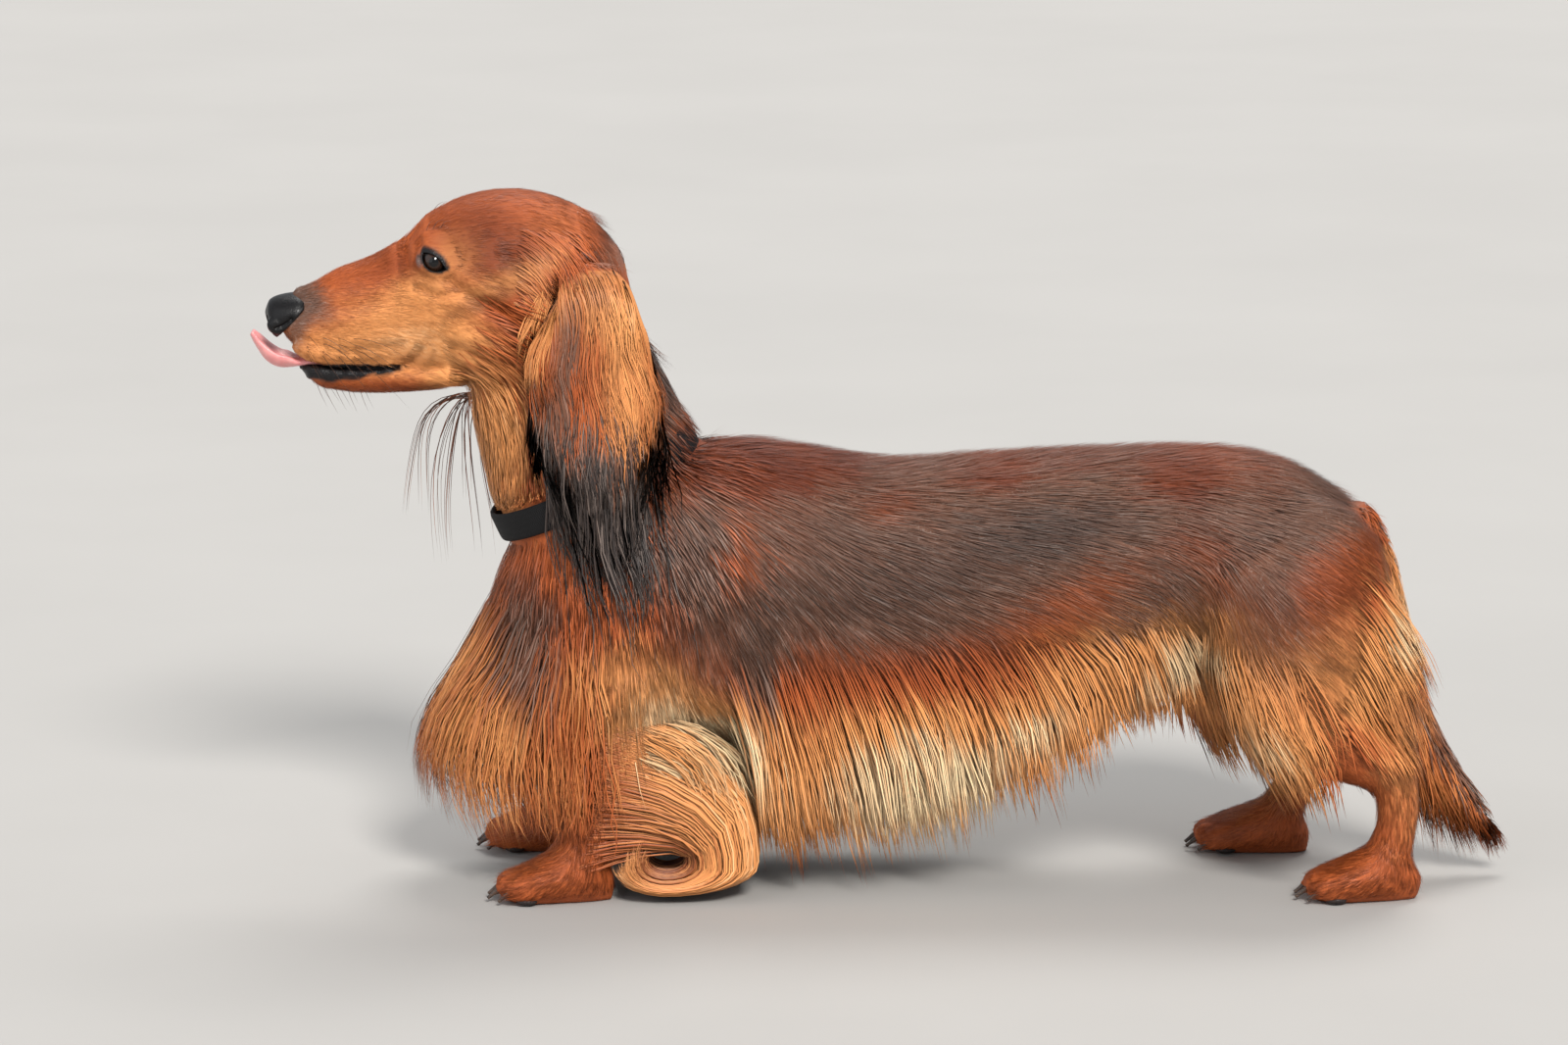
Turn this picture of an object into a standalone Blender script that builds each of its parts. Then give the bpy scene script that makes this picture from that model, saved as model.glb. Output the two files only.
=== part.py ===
"""Long-haired dachshund, standing and facing -X, as a still model of life size.

Metres, +Z up. The dog's left side is -Y and its soles rest on z = 0. The flesh is lofted through
anatomical stations, blended by a voxel remesh and parted into named nodes with thin straight cuts.
Long coat grows from the flesh as flat tapered locks, which a Boolean union fuses to their node.
"""

import math
import random

import bmesh
import bpy
import numpy as np
from mathutils import Euler, Matrix, Quaternion, Vector
from mathutils.bvhtree import BVHTree

# Driving sizes
WITHERS_HEIGHT = 0.2425
GAP = 0.0003
HALF_CUT = 0.00017
CROSS_CLEARANCE = 0.00025
FLOOR = 0.0
LEFT, RIGHT = -1, 1
SIDES = {"left": LEFT, "right": RIGHT}

# Torso: x, top z, bottom z, height of the widest line, half width
TORSO = (
    (-0.2140, 0.1380, 0.1220, 0.130, 0.010),
    (-0.2000, 0.1800, 0.0920, 0.130, 0.040),
    (-0.1800, 0.2130, 0.0780, 0.130, 0.058),
    (-0.1500, 0.2350, 0.0700, 0.135, 0.071),
    (-0.1050, WITHERS_HEIGHT, 0.0670, 0.138, 0.077),
    (-0.0500, 0.2415, 0.0680, 0.140, 0.076),
    (0.0000, 0.2330, 0.0720, 0.142, 0.075),
    (0.0600, 0.2360, 0.0840, 0.150, 0.071),
    (0.1200, 0.2392, 0.1030, 0.160, 0.065),
    (0.1650, 0.2400, 0.1170, 0.170, 0.062),
    (0.2050, 0.2365, 0.1200, 0.170, 0.065),
    (0.2400, 0.2205, 0.1150, 0.165, 0.061),
    (0.2620, 0.1960, 0.1130, 0.155, 0.045),
    (0.2740, 0.1680, 0.1280, 0.147, 0.020),
)
# Neck, from the shoulders up: x, z of the axis, half width, half depth
NECK = (
    (-0.120, 0.160, 0.064, 0.070),
    (-0.148, 0.212, 0.056, 0.061),
    (-0.166, 0.258, 0.047, 0.054),
    (-0.177, 0.298, 0.043, 0.050),
    (-0.180, 0.330, 0.040, 0.044),
)
# Skull and upper muzzle: x, top z, bottom z, height of the widest line, half width
HEAD = (
    (-0.3215, 0.3190, 0.2990, 0.308, 0.0110),
    (-0.3160, 0.3262, 0.2925, 0.305, 0.0150),
    (-0.3060, 0.3292, 0.2862, 0.303, 0.0180),
    (-0.2900, 0.3350, 0.2800, 0.303, 0.0205),
    (-0.2700, 0.3425, 0.2770, 0.304, 0.0235),
    (-0.2560, 0.3515, 0.2740, 0.308, 0.0270),
    (-0.2440, 0.3655, 0.2720, 0.317, 0.0325),
    (-0.2300, 0.3742, 0.2715, 0.324, 0.0390),
    (-0.2100, 0.3793, 0.2715, 0.328, 0.0445),
    (-0.1900, 0.3797, 0.2735, 0.330, 0.0475),
    (-0.1680, 0.3738, 0.2790, 0.328, 0.0465),
    (-0.1500, 0.3640, 0.2900, 0.326, 0.0400),
    (-0.1370, 0.3490, 0.3020, 0.324, 0.0240),
)
# Lower jaw: x, top z, bottom z, height of the widest line, half width
JAW = (
    (-0.3095, 0.2835, 0.2770, 0.2800, 0.0060),
    (-0.3040, 0.2845, 0.2705, 0.2780, 0.0115),
    (-0.2900, 0.2840, 0.2665, 0.2770, 0.0150),
    (-0.2700, 0.2840, 0.2655, 0.2770, 0.0190),
    (-0.2480, 0.2850, 0.2670, 0.2780, 0.0250),
    (-0.2300, 0.2900, 0.2690, 0.2800, 0.0290),
)
MOUTH_CORNER = (-0.2570, 0.2815)
MOUTH_FRONT = (-0.3180, 0.2850)
MOUTH_GAP = 0.0012
EYE_CENTRE = (-0.2375, 0.0258, 0.3415)
EYE_RADIUS = 0.0092
LID_THICKNESS = 0.0016
LID_OPENING = (0.0076, 0.0056)
# Foreleg, from the elbow down: x, y, z, half width, half depth behind, half depth in front
FORELEG = (
    (-0.132, 0.048, 0.125, 0.030, 0.034, 0.034),
    (-0.128, 0.055, 0.098, 0.025, 0.026, 0.028),
    (-0.139, 0.057, 0.075, 0.021, 0.021, 0.024),
    (-0.150, 0.056, 0.052, 0.018, 0.017, 0.019),
    (-0.157, 0.056, 0.032, 0.0165, 0.016, 0.017),
    (-0.162, 0.058, 0.016, 0.0175, 0.017, 0.018),
)
# Hindleg, from the hip down, in the same columns
HINDLEG = (
    (0.216, 0.028, 0.204, 0.018, 0.018, 0.026),
    (0.226, 0.037, 0.186, 0.031, 0.040, 0.048),
    (0.228, 0.048, 0.155, 0.036, 0.047, 0.050),
    (0.226, 0.053, 0.122, 0.031, 0.045, 0.045),
    (0.233, 0.055, 0.098, 0.025, 0.033, 0.036),
    (0.255, 0.055, 0.082, 0.019, 0.020, 0.022),
    (0.275, 0.055, 0.0695, 0.0155, 0.014, 0.017),
    (0.2790, 0.055, 0.052, 0.0135, 0.0125, 0.0135),
    (0.2765, 0.055, 0.030, 0.0135, 0.0125, 0.0135),
    (0.2720, 0.055, 0.014, 0.0155, 0.0145, 0.016),
)
HIP_HEIGHT = 0.19
# Paw, from the heel's rear forwards along the foot: distance ahead of the wrist, z, half width, up, down
PAW = (
    (-0.018, 0.010, 0.0090, 0.006, 0.013),
    (-0.008, 0.013, 0.0165, 0.012, 0.016),
    (0.006, 0.013, 0.0195, 0.014, 0.016),
    (0.020, 0.011, 0.0205, 0.012, 0.014),
    (0.031, 0.009, 0.0165, 0.008, 0.012),
    (0.037, 0.008, 0.0080, 0.004, 0.011),
)
TOE_SPREAD = (-0.0145, -0.0052, 0.0052, 0.0145)
TOE_REACH = (0.028, 0.034, 0.034, 0.028)
# Tail, from the croup down: x, z, half width, half depth above, half depth below
TAIL = (
    (0.2520, 0.200, 0.018, 0.014, 0.018),
    (0.2660, 0.176, 0.015, 0.0115, 0.013),
    (0.2765, 0.140, 0.0115, 0.0095, 0.010),
    (0.2840, 0.108, 0.0100, 0.0085, 0.009),
    (0.2980, 0.075, 0.0080, 0.0070, 0.007),
    (0.3150, 0.049, 0.0060, 0.0055, 0.0055),
    (0.3280, 0.033, 0.0040, 0.0035, 0.0035),
    (0.3340, 0.028, 0.0022, 0.0020, 0.0020),
)
# Ear leather, from its root down: share of length, half width
EAR_LEAF = (
    (0.00, 0.020),
    (0.12, 0.026),
    (0.35, 0.0335),
    (0.60, 0.0345),
    (0.82, 0.0290),
    (0.95, 0.0180),
    (1.00, 0.0080),
)
EAR_THICKNESS = 0.0042
EAR_CUP = 0.007
# Ear axis from the root down: x, distance from the midplane, z
EAR_AXIS = (
    (-0.1620, 0.0440, 0.3410),
    (-0.1590, 0.0515, 0.3330),
    (-0.1560, 0.0565, 0.3050),
    (-0.1515, 0.0590, 0.2650),
    (-0.1480, 0.0650, 0.2250),
)
EAR_SWING = {"left": 0.0, "right": -0.030}
STRIDE = {"left": 0.0, "right": 0.056}
SWIRL_SIZE = {"left": 1.0, "right": 1.18}
FORE_SHIFT = {"left": 0.0, "right": -0.012}

# Locks of the coat
LOCK_SINK = 0.0045
THINNING = 0.58
TRIES = 6
NUDGE = 0.00006
MERGES = (2.0e-5, 1.0e-5, 5.0e-6, 2.5e-6, 1.5e-6, 0.0)
WELD = 1.2e-6
LOCK_CLEARANCE = 0.0038
LOCK_RISE = 0.12
SHINGLE = math.radians(11.0)
DOWN = Vector((0.0, 0.0, -1.0))

TRIM_ORDER = (
    "head",
    "lower",
    "eye",
    "nose",
    "tongue",
    "rump",
    "hindpaw",
    "forepaw",
    "collar",
    "neck",
    "hindleg",
    "foreleg",
    "chest",
    "barrel",
    "tail",
    "ear",
)
FINISHES = {
    "eye": "eye",
    "nose": "nose",
    "tongue": "tongue",
    "collar": "collar",
    "ear": "sable",
    "barrel": "gold",
    "tail": "sable",
}
COLOURS = {
    "red": (0.36, 0.10, 0.03),
    "gold": (0.55, 0.24, 0.08),
    "sable": (0.05, 0.03, 0.025),
    "nose": (0.02, 0.02, 0.022),
    "tongue": (0.75, 0.30, 0.30),
    "eye": (0.03, 0.015, 0.01),
    "collar": (0.012, 0.012, 0.012),
}


def clear_scene():
    """Removes every object of the startup scene."""
    for obj in list(bpy.data.objects):
        bpy.data.objects.remove(obj)


def finish(name, colour, roughness):
    """A material with the given colour."""
    material = bpy.data.materials.new(name)
    material.use_nodes = True
    shader = material.node_tree.nodes["Principled BSDF"]
    shader.inputs["Base Color"].default_value = (*colour, 1.0)
    shader.inputs["Roughness"].default_value = roughness
    return material


def add_object(name, mesh):
    """Links a mesh to the scene as a named object."""
    obj = bpy.data.objects.new(name, mesh)
    bpy.context.scene.collection.objects.link(obj)
    return obj


def drop(obj):
    """Removes an object and its mesh."""
    mesh = obj.data
    bpy.data.objects.remove(obj)
    bpy.data.meshes.remove(mesh)


def resampled(rows, count):
    """Rows of station values at even steps along a smooth curve through the stations."""
    rows = np.array(rows, float)
    steps = np.linalg.norm(np.diff(rows[:, :3], axis=0), axis=1)
    along = np.concatenate([[0.0], np.cumsum(steps)])
    slopes = np.gradient(rows, along, axis=0)
    at = np.linspace(0.0, along[-1], count)
    index = np.clip(np.searchsorted(along, at, side="right") - 1, 0, len(along) - 2)
    width = (along[index + 1] - along[index])[:, None]
    share = (at[:, None] - along[index][:, None]) / width
    start, end = rows[index], rows[index + 1]
    slope_in, slope_out = slopes[index] * width, slopes[index + 1] * width
    return (
        (2 * share**3 - 3 * share**2 + 1) * start
        + (share**3 - 2 * share**2 + share) * slope_in
        + (-2 * share**3 + 3 * share**2) * end
        + (share**3 - share**2) * slope_out
    )


def mesh_from_rings(name, rings, end_points):
    """A closed mesh through rings of points, with a fan to a point at each end."""
    count, sides = len(rings), len(rings[0])
    points = np.concatenate([*rings, np.array(end_points)])
    faces = []
    for ring in range(count - 1):
        for side in range(sides):
            after = (side + 1) % sides
            low, high = ring * sides, (ring + 1) * sides
            faces.append((low + side, low + after, high + after, high + side))
    first, last = count * sides, count * sides + 1
    for side in range(sides):
        after = (side + 1) % sides
        faces.append((after, side, first))
        faces.append(((count - 1) * sides + side, (count - 1) * sides + after, last))
    mesh = bpy.data.meshes.new(name)
    mesh.from_pydata(points.tolist(), [], faces)
    shell = bmesh.new()
    shell.from_mesh(mesh)
    bmesh.ops.recalc_face_normals(shell, faces=shell.faces)
    if shell.calc_volume(signed=True) < 0:
        bmesh.ops.reverse_faces(shell, faces=shell.faces)
    shell.to_mesh(mesh)
    shell.free()
    return mesh


def loft(name, stations, rings=28, sides=28, power=2.2, upright=False):
    """A closed tube through stations of centre x, y, z, half width, half depth above and below.

    Above is the side that a station's cross product of tangent and width points to: +Z for a row
    that runs towards +X, and the rear for a leg or a tail that runs down. An upright tube keeps
    its rings in planes across X.
    """
    rows = resampled(stations, rings)
    centres = rows[:, :3]
    tangents = np.gradient(centres, axis=0)
    if upright:
        tangents[:] = (1.0, 0.0, 0.0)
    tangents /= np.linalg.norm(tangents, axis=1)[:, None]
    across = np.array([0.0, 1.0, 0.0]) - tangents * tangents[:, 1:2]
    across /= np.linalg.norm(across, axis=1)[:, None]
    upward = np.cross(tangents, across)
    angles = np.arange(sides) * 2 * math.pi / sides
    cosine, sine = np.cos(angles), np.sin(angles)
    wide = np.sign(cosine) * np.abs(cosine) ** (2 / power)
    high = np.sign(sine) * np.abs(sine) ** (2 / power)
    loops = []
    for row, centre, side_way, up_way in zip(rows, centres, across, upward):
        reach = np.where(high >= 0, row[4], row[5])
        loops.append(
            centre
            + np.outer(wide * max(row[3], 0.001), side_way)
            + np.outer(high * np.maximum(reach, 0.001), up_way)
        )
    ends = [
        centres[0] - tangents[0] * rows[0, 3] * 0.3,
        centres[-1] + tangents[-1] * rows[-1, 3] * 0.3,
    ]
    return add_object(name, mesh_from_rings(name, loops, ends))


def level_stations(rows):
    """Loft stations from rows of x, top z, bottom z, height of the widest line, half width."""
    return [(x, 0.0, mid, half, top - mid, mid - low) for x, top, low, mid, half in rows]


def neck_stations(extra=0.0):
    """Loft stations of the neck, grown all round by extra."""
    return [(x, 0.0, z, half + extra, deep + extra, deep + extra) for x, z, half, deep in NECK]


def ball(name, centre, radii, turn=(0.0, 0.0, 0.0), segments=20):
    """An ellipsoid."""
    mesh = bpy.data.meshes.new(name)
    shell = bmesh.new()
    bmesh.ops.create_uvsphere(shell, u_segments=segments, v_segments=segments // 2, radius=1.0)
    place = Matrix.LocRotScale(Vector(centre), Euler(turn), Vector(radii))
    bmesh.ops.transform(shell, matrix=place, verts=shell.verts)
    shell.to_mesh(mesh)
    shell.free()
    return add_object(name, mesh)


def block(name, centre, half_sizes, turn=(0.0, 0.0, 0.0)):
    """A box given by its half sizes."""
    mesh = bpy.data.meshes.new(name)
    shell = bmesh.new()
    bmesh.ops.create_cube(shell, size=2.0)
    place = Matrix.LocRotScale(Vector(centre), Euler(turn), Vector(half_sizes))
    bmesh.ops.transform(shell, matrix=place, verts=shell.verts)
    shell.to_mesh(mesh)
    shell.free()
    return add_object(name, mesh)


def bake_modifiers(obj):
    """Applies an object's modifiers to its mesh."""
    graph = bpy.context.evaluated_depsgraph_get()
    mesh = bpy.data.meshes.new_from_object(obj.evaluated_get(graph))
    old = obj.data
    obj.modifiers.clear()
    obj.data = mesh
    bpy.data.meshes.remove(old)
    return obj


def largest_shell(obj):
    """Keeps only the largest closed surface of a mesh."""
    shell = bmesh.new()
    shell.from_mesh(obj.data)
    seen, groups = set(), []
    for start in shell.verts:
        if start in seen:
            continue
        group, queue = [], [start]
        seen.add(start)
        while queue:
            vert = queue.pop()
            group.append(vert)
            for edge in vert.link_edges:
                other = edge.other_vert(vert)
                if other not in seen:
                    seen.add(other)
                    queue.append(other)
        groups.append(group)
    if len(groups) > 1:
        keep = set(max(groups, key=box_volume))
        bmesh.ops.delete(shell, geom=[v for v in shell.verts if v not in keep], context="VERTS")
        shell.to_mesh(obj.data)
    shell.free()
    return obj


def box_volume(verts):
    """The volume of the box round some vertices."""
    points = np.array([v.co for v in verts])
    return float(np.prod(points.max(axis=0) - points.min(axis=0)))


def combine(obj, other, operation, keep_other=False):
    """Applies a Boolean of two closed meshes by the MANIFOLD solver, as EXACT is slow on these."""
    modifier = obj.modifiers.new("combine", "BOOLEAN")
    modifier.operation = operation
    modifier.solver = "MANIFOLD"
    modifier.object = other
    bake_modifiers(obj)
    if not keep_other:
        drop(other)
    return largest_shell(obj)


def unite(obj, pieces):
    """Fuses closed pieces into obj with one Boolean union on a collection."""
    if not pieces:
        return obj
    group = bpy.data.collections.new("pieces")
    for piece in pieces:
        group.objects.link(piece)
    bpy.context.scene.collection.children.link(group)
    modifier = obj.modifiers.new("unite", "BOOLEAN")
    modifier.operation = "UNION"
    modifier.operand_type = "COLLECTION"
    modifier.collection = group
    modifier.solver = "MANIFOLD"
    bake_modifiers(obj)
    for piece in pieces:
        drop(piece)
    bpy.data.collections.remove(group)
    return largest_shell(obj)


def copy_of(obj, name):
    """A separate copy of an object with its own mesh."""
    return add_object(name, obj.data.copy())


def blended(name, pieces, voxel, smoothing, triangles):
    """One smooth closed surface round overlapping closed pieces, thinned to a triangle count."""
    shell = bmesh.new()
    for piece in pieces:
        shell.from_mesh(piece.data)
        drop(piece)
    mesh = bpy.data.meshes.new(name)
    shell.to_mesh(mesh)
    shell.free()
    obj = add_object(name, mesh)
    remesh = obj.modifiers.new("remesh", "REMESH")
    remesh.mode = "VOXEL"
    remesh.voxel_size = voxel
    smooth = obj.modifiers.new("smooth", "SMOOTH")
    smooth.factor = 0.5
    smooth.iterations = smoothing
    bake_modifiers(obj)
    faces = sum(len(p.vertices) - 2 for p in obj.data.polygons)
    thin = obj.modifiers.new("thin", "DECIMATE")
    thin.ratio = min(1.0, triangles / faces)
    bake_modifiers(obj)
    return largest_shell(obj)


def cleaned(obj):
    """Triangulates a mesh, merges points that nearly coincide and takes out slivers.

    The widest merge that leaves a clean closed surface is the one that is kept.
    """
    rough = obj.data.copy()
    for reach in MERGES:
        shell = bmesh.new()
        shell.from_mesh(rough)
        if reach:
            bmesh.ops.remove_doubles(shell, verts=shell.verts, dist=reach)
        bmesh.ops.triangulate(
            shell, faces=shell.faces, quad_method="BEAUTY", ngon_method="BEAUTY"
        )
        drop_paired_faces(shell)
        shell.to_mesh(obj.data)
        shell.free()
        largest_shell(obj)
        if is_closed(obj):
            break
    bpy.data.meshes.remove(rough)
    return obj


def drop_paired_faces(shell):
    """Takes out the pairs of triangles that lie back to back on the same three points."""
    while True:
        shell.verts.index_update()
        seen, gone = {}, []
        for face in shell.faces:
            corners = frozenset(vert.index for vert in face.verts)
            if corners in seen:
                gone += [face, seen[corners]]
            seen[corners] = face
        if not gone:
            return
        bmesh.ops.delete(shell, geom=gone, context="FACES_ONLY")
        bmesh.ops.delete(shell, geom=[e for e in shell.edges if not e.link_faces], context="EDGES")
        bmesh.ops.delete(shell, geom=[v for v in shell.verts if not v.link_edges], context="VERTS")


def thinned(obj, ratio):
    """Thins a mesh by edge collapse, as far as the result stays a clean closed surface."""
    cleaned(obj)
    whole = obj.data.copy()
    while ratio < 1.0:
        thin = obj.modifiers.new("thin", "DECIMATE")
        thin.ratio = ratio
        largest_shell(bake_modifiers(obj))
        if is_closed(obj):
            break
        spoilt = obj.data
        obj.data = whole.copy()
        bpy.data.meshes.remove(spoilt)
        ratio += 0.04
    bpy.data.meshes.remove(whole)
    return obj


def is_closed(obj):
    """Whether every edge has two faces, as it is and once points closer than WELD are merged."""
    shell = bmesh.new()
    shell.from_mesh(obj.data)
    good = all(len(edge.link_faces) == 2 for edge in shell.edges)
    for reach in (WELD * 0.1, WELD):
        bmesh.ops.remove_doubles(shell, verts=shell.verts, dist=reach)
        good = good and all(len(edge.link_faces) == 2 for edge in shell.edges)
    shell.free()
    return good


def part_off(rest, name, centre, half_sizes, turn=(0.0, 0.0, 0.0)):
    """Parts the share of rest inside a box from it with a thin cut, as a new object."""
    inner = [size - HALF_CUT for size in half_sizes]
    outer = [size + HALF_CUT for size in half_sizes]
    piece = copy_of(rest, name)
    combine(piece, block("inside", centre, inner, turn), "INTERSECT")
    combine(rest, block("outside", centre, outer, turn), "DIFFERENCE")
    return piece


def surface_tree(objs):
    """A search tree over the surfaces of some objects."""
    points, faces = [], []
    for obj in objs:
        base = len(points)
        points.extend(v.co.copy() for v in obj.data.vertices)
        faces.extend([base + i for i in p.vertices] for p in obj.data.polygons)
    return BVHTree.FromPolygons(points, faces)


def grown(obj, amount):
    """A copy of an object with its surface moved outwards."""
    copy = copy_of(obj, "grown")
    normals = [v.normal.copy() for v in copy.data.vertices]
    for vert, normal in zip(copy.data.vertices, normals):
        vert.co += normal * amount
    return copy


def keep_clear(obj, *others):
    """Trims obj where it would touch or cross the others."""
    for other in others:
        combine(obj, grown(other, CROSS_CLEARANCE), "DIFFERENCE")
    return obj


def trail(tree, root, normal, start, end, length, steps, turn=1.0, clearance=LOCK_CLEARANCE):
    """Points and outward normals of a lock, from its sunk root to its tip.

    The lock heads along start at its root and along end at its tip, and is lifted off any flesh
    that it would enter.
    """
    points = [root - normal * LOCK_SINK - start * 0.002, root]
    normals = [normal.copy(), normal.copy()]
    step = length / steps
    facing = normal.copy()
    for index in range(steps):
        share = ((index + 0.5) / steps) ** turn
        point = points[-1] + start.lerp(end, share).normalized() * step
        near, face_normal, _, _ = tree.find_nearest(point)
        lift = clearance * min(1.0, 0.6 + index * 0.4) + LOCK_RISE * step * index
        if (point - near).dot(face_normal) < lift:
            point = near + face_normal * lift
            facing = facing.lerp(face_normal, 0.5).normalized()
        point.z = max(point.z, FLOOR + 0.004)
        points.append(point)
        normals.append(facing.copy())
    return points, normals


def lock(path, width, thickness):
    """A flat tapered lock of three-sided section, with a low ridge along its outer face."""
    points, normals = path
    last = len(points) - 1
    rings = []
    for index in range(last):
        share = index / last
        ahead = points[index + 1] - points[max(index - 1, 0)]
        across = normals[index].cross(ahead).normalized()
        across.rotate(Quaternion(ahead.normalized(), SHINGLE * min(1.0, 0.3 + share * 2.0)))
        outward = ahead.cross(across).normalized()
        half = 0.5 * width * min(1.0, 0.66 + 1.3 * share) * (1.0 - share**2.6) ** 0.7
        deep = thickness * (1.0 - 0.75 * share)
        base = points[index] - outward * deep * 0.4
        rings.append(
            np.array([base + across * half, base + outward * deep, base - across * half])
        )
    butt = points[0] - (points[1] - points[0]).normalized() * 0.0005
    return add_object("lock", mesh_from_rings("lock", rings, [butt, points[-1]]))


def curtain(paths, thickness):
    """One smooth plain form through a row of locks, out to their tips."""
    rows = []
    for points, normals in paths:
        last = len(points) - 1
        front, back = [], []
        for index, (point, normal) in enumerate(zip(points, normals)):
            deep = 0.5 * thickness * (1.0 - 0.72 * index / last)
            front.append(point + normal * deep)
            back.append(point - normal * deep)
        rows.append(np.array(front + back[::-1]))
    ends = [rows[0].mean(axis=0), rows[-1].mean(axis=0)]
    return add_object("curtain", mesh_from_rings("curtain", rows, ends))


class Coat:
    """Grows rows of locks from a surface, either as locks or as plain curtains."""

    def __init__(self, node, clear_of, as_locks, seed):
        self.node = node
        self.skin = surface_tree([node])
        self.tree = clear_of
        self.as_locks = as_locks
        self.random = random.Random(seed)
        self.pieces = []

    def vary(self, value, share):
        """The value, changed at random by up to a share of it."""
        return value * (1.0 + share * self.random.uniform(-1.0, 1.0))

    def row(self, rays, headings, length, width, thickness, steps=5, turn=1.0, clearance=LOCK_CLEARANCE):
        """Adds one row of locks where rays leave the surface.

        rays holds an origin and a direction for each lock, headings the way it points at its root
        and at its tip, and length a number, or one for each lock.
        """
        lengths = length if hasattr(length, "__len__") else [length] * len(rays)
        paths = []
        for (origin, direction), (start, end), reach in zip(rays, headings, lengths):
            hit, normal, _, _ = self.skin.ray_cast(Vector(origin), Vector(direction).normalized())
            if hit is None:
                continue
            if normal.dot(Vector(direction)) < 0:
                normal = -normal
            reach = self.vary(reach, 0.10) if self.as_locks else reach
            along = Vector(start).normalized()
            tip_way = Vector(end).normalized()
            paths.append(
                trail(self.tree, hit, normal, along, tip_way, reach, steps, turn, clearance)
            )
        if not paths:
            return
        if not self.as_locks:
            self.pieces.append(curtain(paths, thickness))
            return
        for path in paths:
            self.pieces.append(lock(path, self.vary(width, 0.15), self.vary(thickness, 0.12)))

    def fuse(self):
        """Joins the grown pieces to the node that carries them."""
        pieces, self.pieces = self.pieces, []
        whole = self.node.data.copy()
        for _ in range(TRIES):
            for piece in pieces:
                nudge = Vector([self.random.uniform(-NUDGE, NUDGE) for _ in range(3)])
                piece.data.transform(Matrix.Translation(nudge))
            unite(self.node, [copy_of(piece, "piece") for piece in pieces])
            if is_closed(cleaned(self.node)):
                break
            print(f"{self.node.name}: tried another nudge")
            self.node.data = whole.copy()
        for piece in pieces:
            drop(piece)
        return thinned(self.node, THINNING)


def spread(low, high, count):
    """Evenly spaced numbers from low to high."""
    return [low + (high - low) * index / (count - 1) for index in range(count)]


def mirrored(stations, side):
    """Stations of one leg, moved to a side."""
    return [(x, side * y, *rest) for x, y, *rest in stations]


def strided(stations, stride):
    """Leg stations swung forwards about the hip by stride at the floor."""
    return [
        (x - stride * max(0.0, 1.0 - z / HIP_HEIGHT) ** 0.8, y, z, *rest)
        for x, y, z, *rest in stations
    ]


def paw_pieces(name, wrist_x, centre_y, side):
    """The foot of one leg: a pad-shaped loft, and its toes."""
    outward = side * 0.10
    stations = [
        (wrist_x - ahead, centre_y + outward * ahead, z, half, up, down)
        for ahead, z, half, up, down in reversed(PAW)
    ]
    pieces = [loft(name, stations, rings=14, sides=20, upright=True)]
    for offset, reach in zip(TOE_SPREAD, TOE_REACH):
        centre = (wrist_x - reach, centre_y + outward * reach + offset, 0.0085)
        pieces.append(ball(name, centre, (0.0125, 0.0062, 0.0088), segments=14))
    return pieces


def claws(wrist_x, centre_y, side):
    """Four blunt claws of one paw."""
    made = []
    for offset, reach in zip(TOE_SPREAD, TOE_REACH):
        root = Vector((wrist_x - reach - 0.0075, centre_y + side * 0.10 * reach + offset, 0.0085))
        rings = []
        for share in (0.0, 0.45, 0.8):
            centre = root + Vector((-0.0110 * share, 0.0, -0.0055 * share**1.6))
            size = 0.0021 * (1.0 - 0.6 * share)
            rings.append(
                np.array(
                    [
                        centre + Vector((0.0, size * math.cos(a), size * 1.3 * math.sin(a)))
                        for a in (k * math.pi / 3 for k in range(6))
                    ]
                )
            )
        tip = root + Vector((-0.0115, 0.0, -0.0066))
        made.append(add_object("claw", mesh_from_rings("claw", rings, [root, tip])))
    return made


def foreleg_stations(name):
    """Loft stations of one foreleg."""
    shift = FORE_SHIFT[name]
    return [
        (x + shift * max(0.0, 1.0 - z / 0.125), y, z, *rest)
        for x, y, z, *rest in mirrored(FORELEG, SIDES[name])
    ]


def hindleg_stations(name):
    """Loft stations of one hindleg."""
    return strided(mirrored(HINDLEG, SIDES[name]), STRIDE[name])


def body_pieces():
    """The closed pieces that blend into the body: torso, neck and legs with their feet."""
    pieces = [
        loft("torso", level_stations(TORSO), rings=48, sides=40, upright=True),
        loft("neck", neck_stations(), rings=20, sides=32),
    ]
    for name, side in SIDES.items():
        fore, hind = foreleg_stations(name), hindleg_stations(name)
        pieces.append(loft("foreleg", fore, rings=20, sides=20))
        pieces.append(loft("hindleg", hind, rings=30, sides=24))
        pieces.extend(paw_pieces("forepaw", fore[-1][0], fore[-1][1], side))
        pieces.extend(paw_pieces("hindpaw", hind[-1][0], hind[-1][1], side))
    return pieces


def head_pieces():
    """The closed pieces that blend into the head, with the neck below it."""
    pieces = [
        loft("skull", level_stations(HEAD), rings=48, sides=36, upright=True),
        loft("jaw", level_stations(JAW), rings=24, sides=24, upright=True),
        loft("neck", neck_stations(), rings=20, sides=32),
    ]
    for side in SIDES.values():
        pieces.append(ball("cheek", (-0.198, side * 0.0265, 0.308), (0.040, 0.0195, 0.030)))
        pieces.append(ball("brow", (-0.2330, side * 0.0215, 0.3540), (0.015, 0.0100, 0.0085)))
        pieces.append(ball("flews", (-0.290, side * 0.0120, 0.2925), (0.027, 0.0080, 0.0100)))
        pieces.append(ball("orbit", eye_spot(side), [EYE_RADIUS + LID_THICKNESS] * 3))
    return pieces


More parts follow.
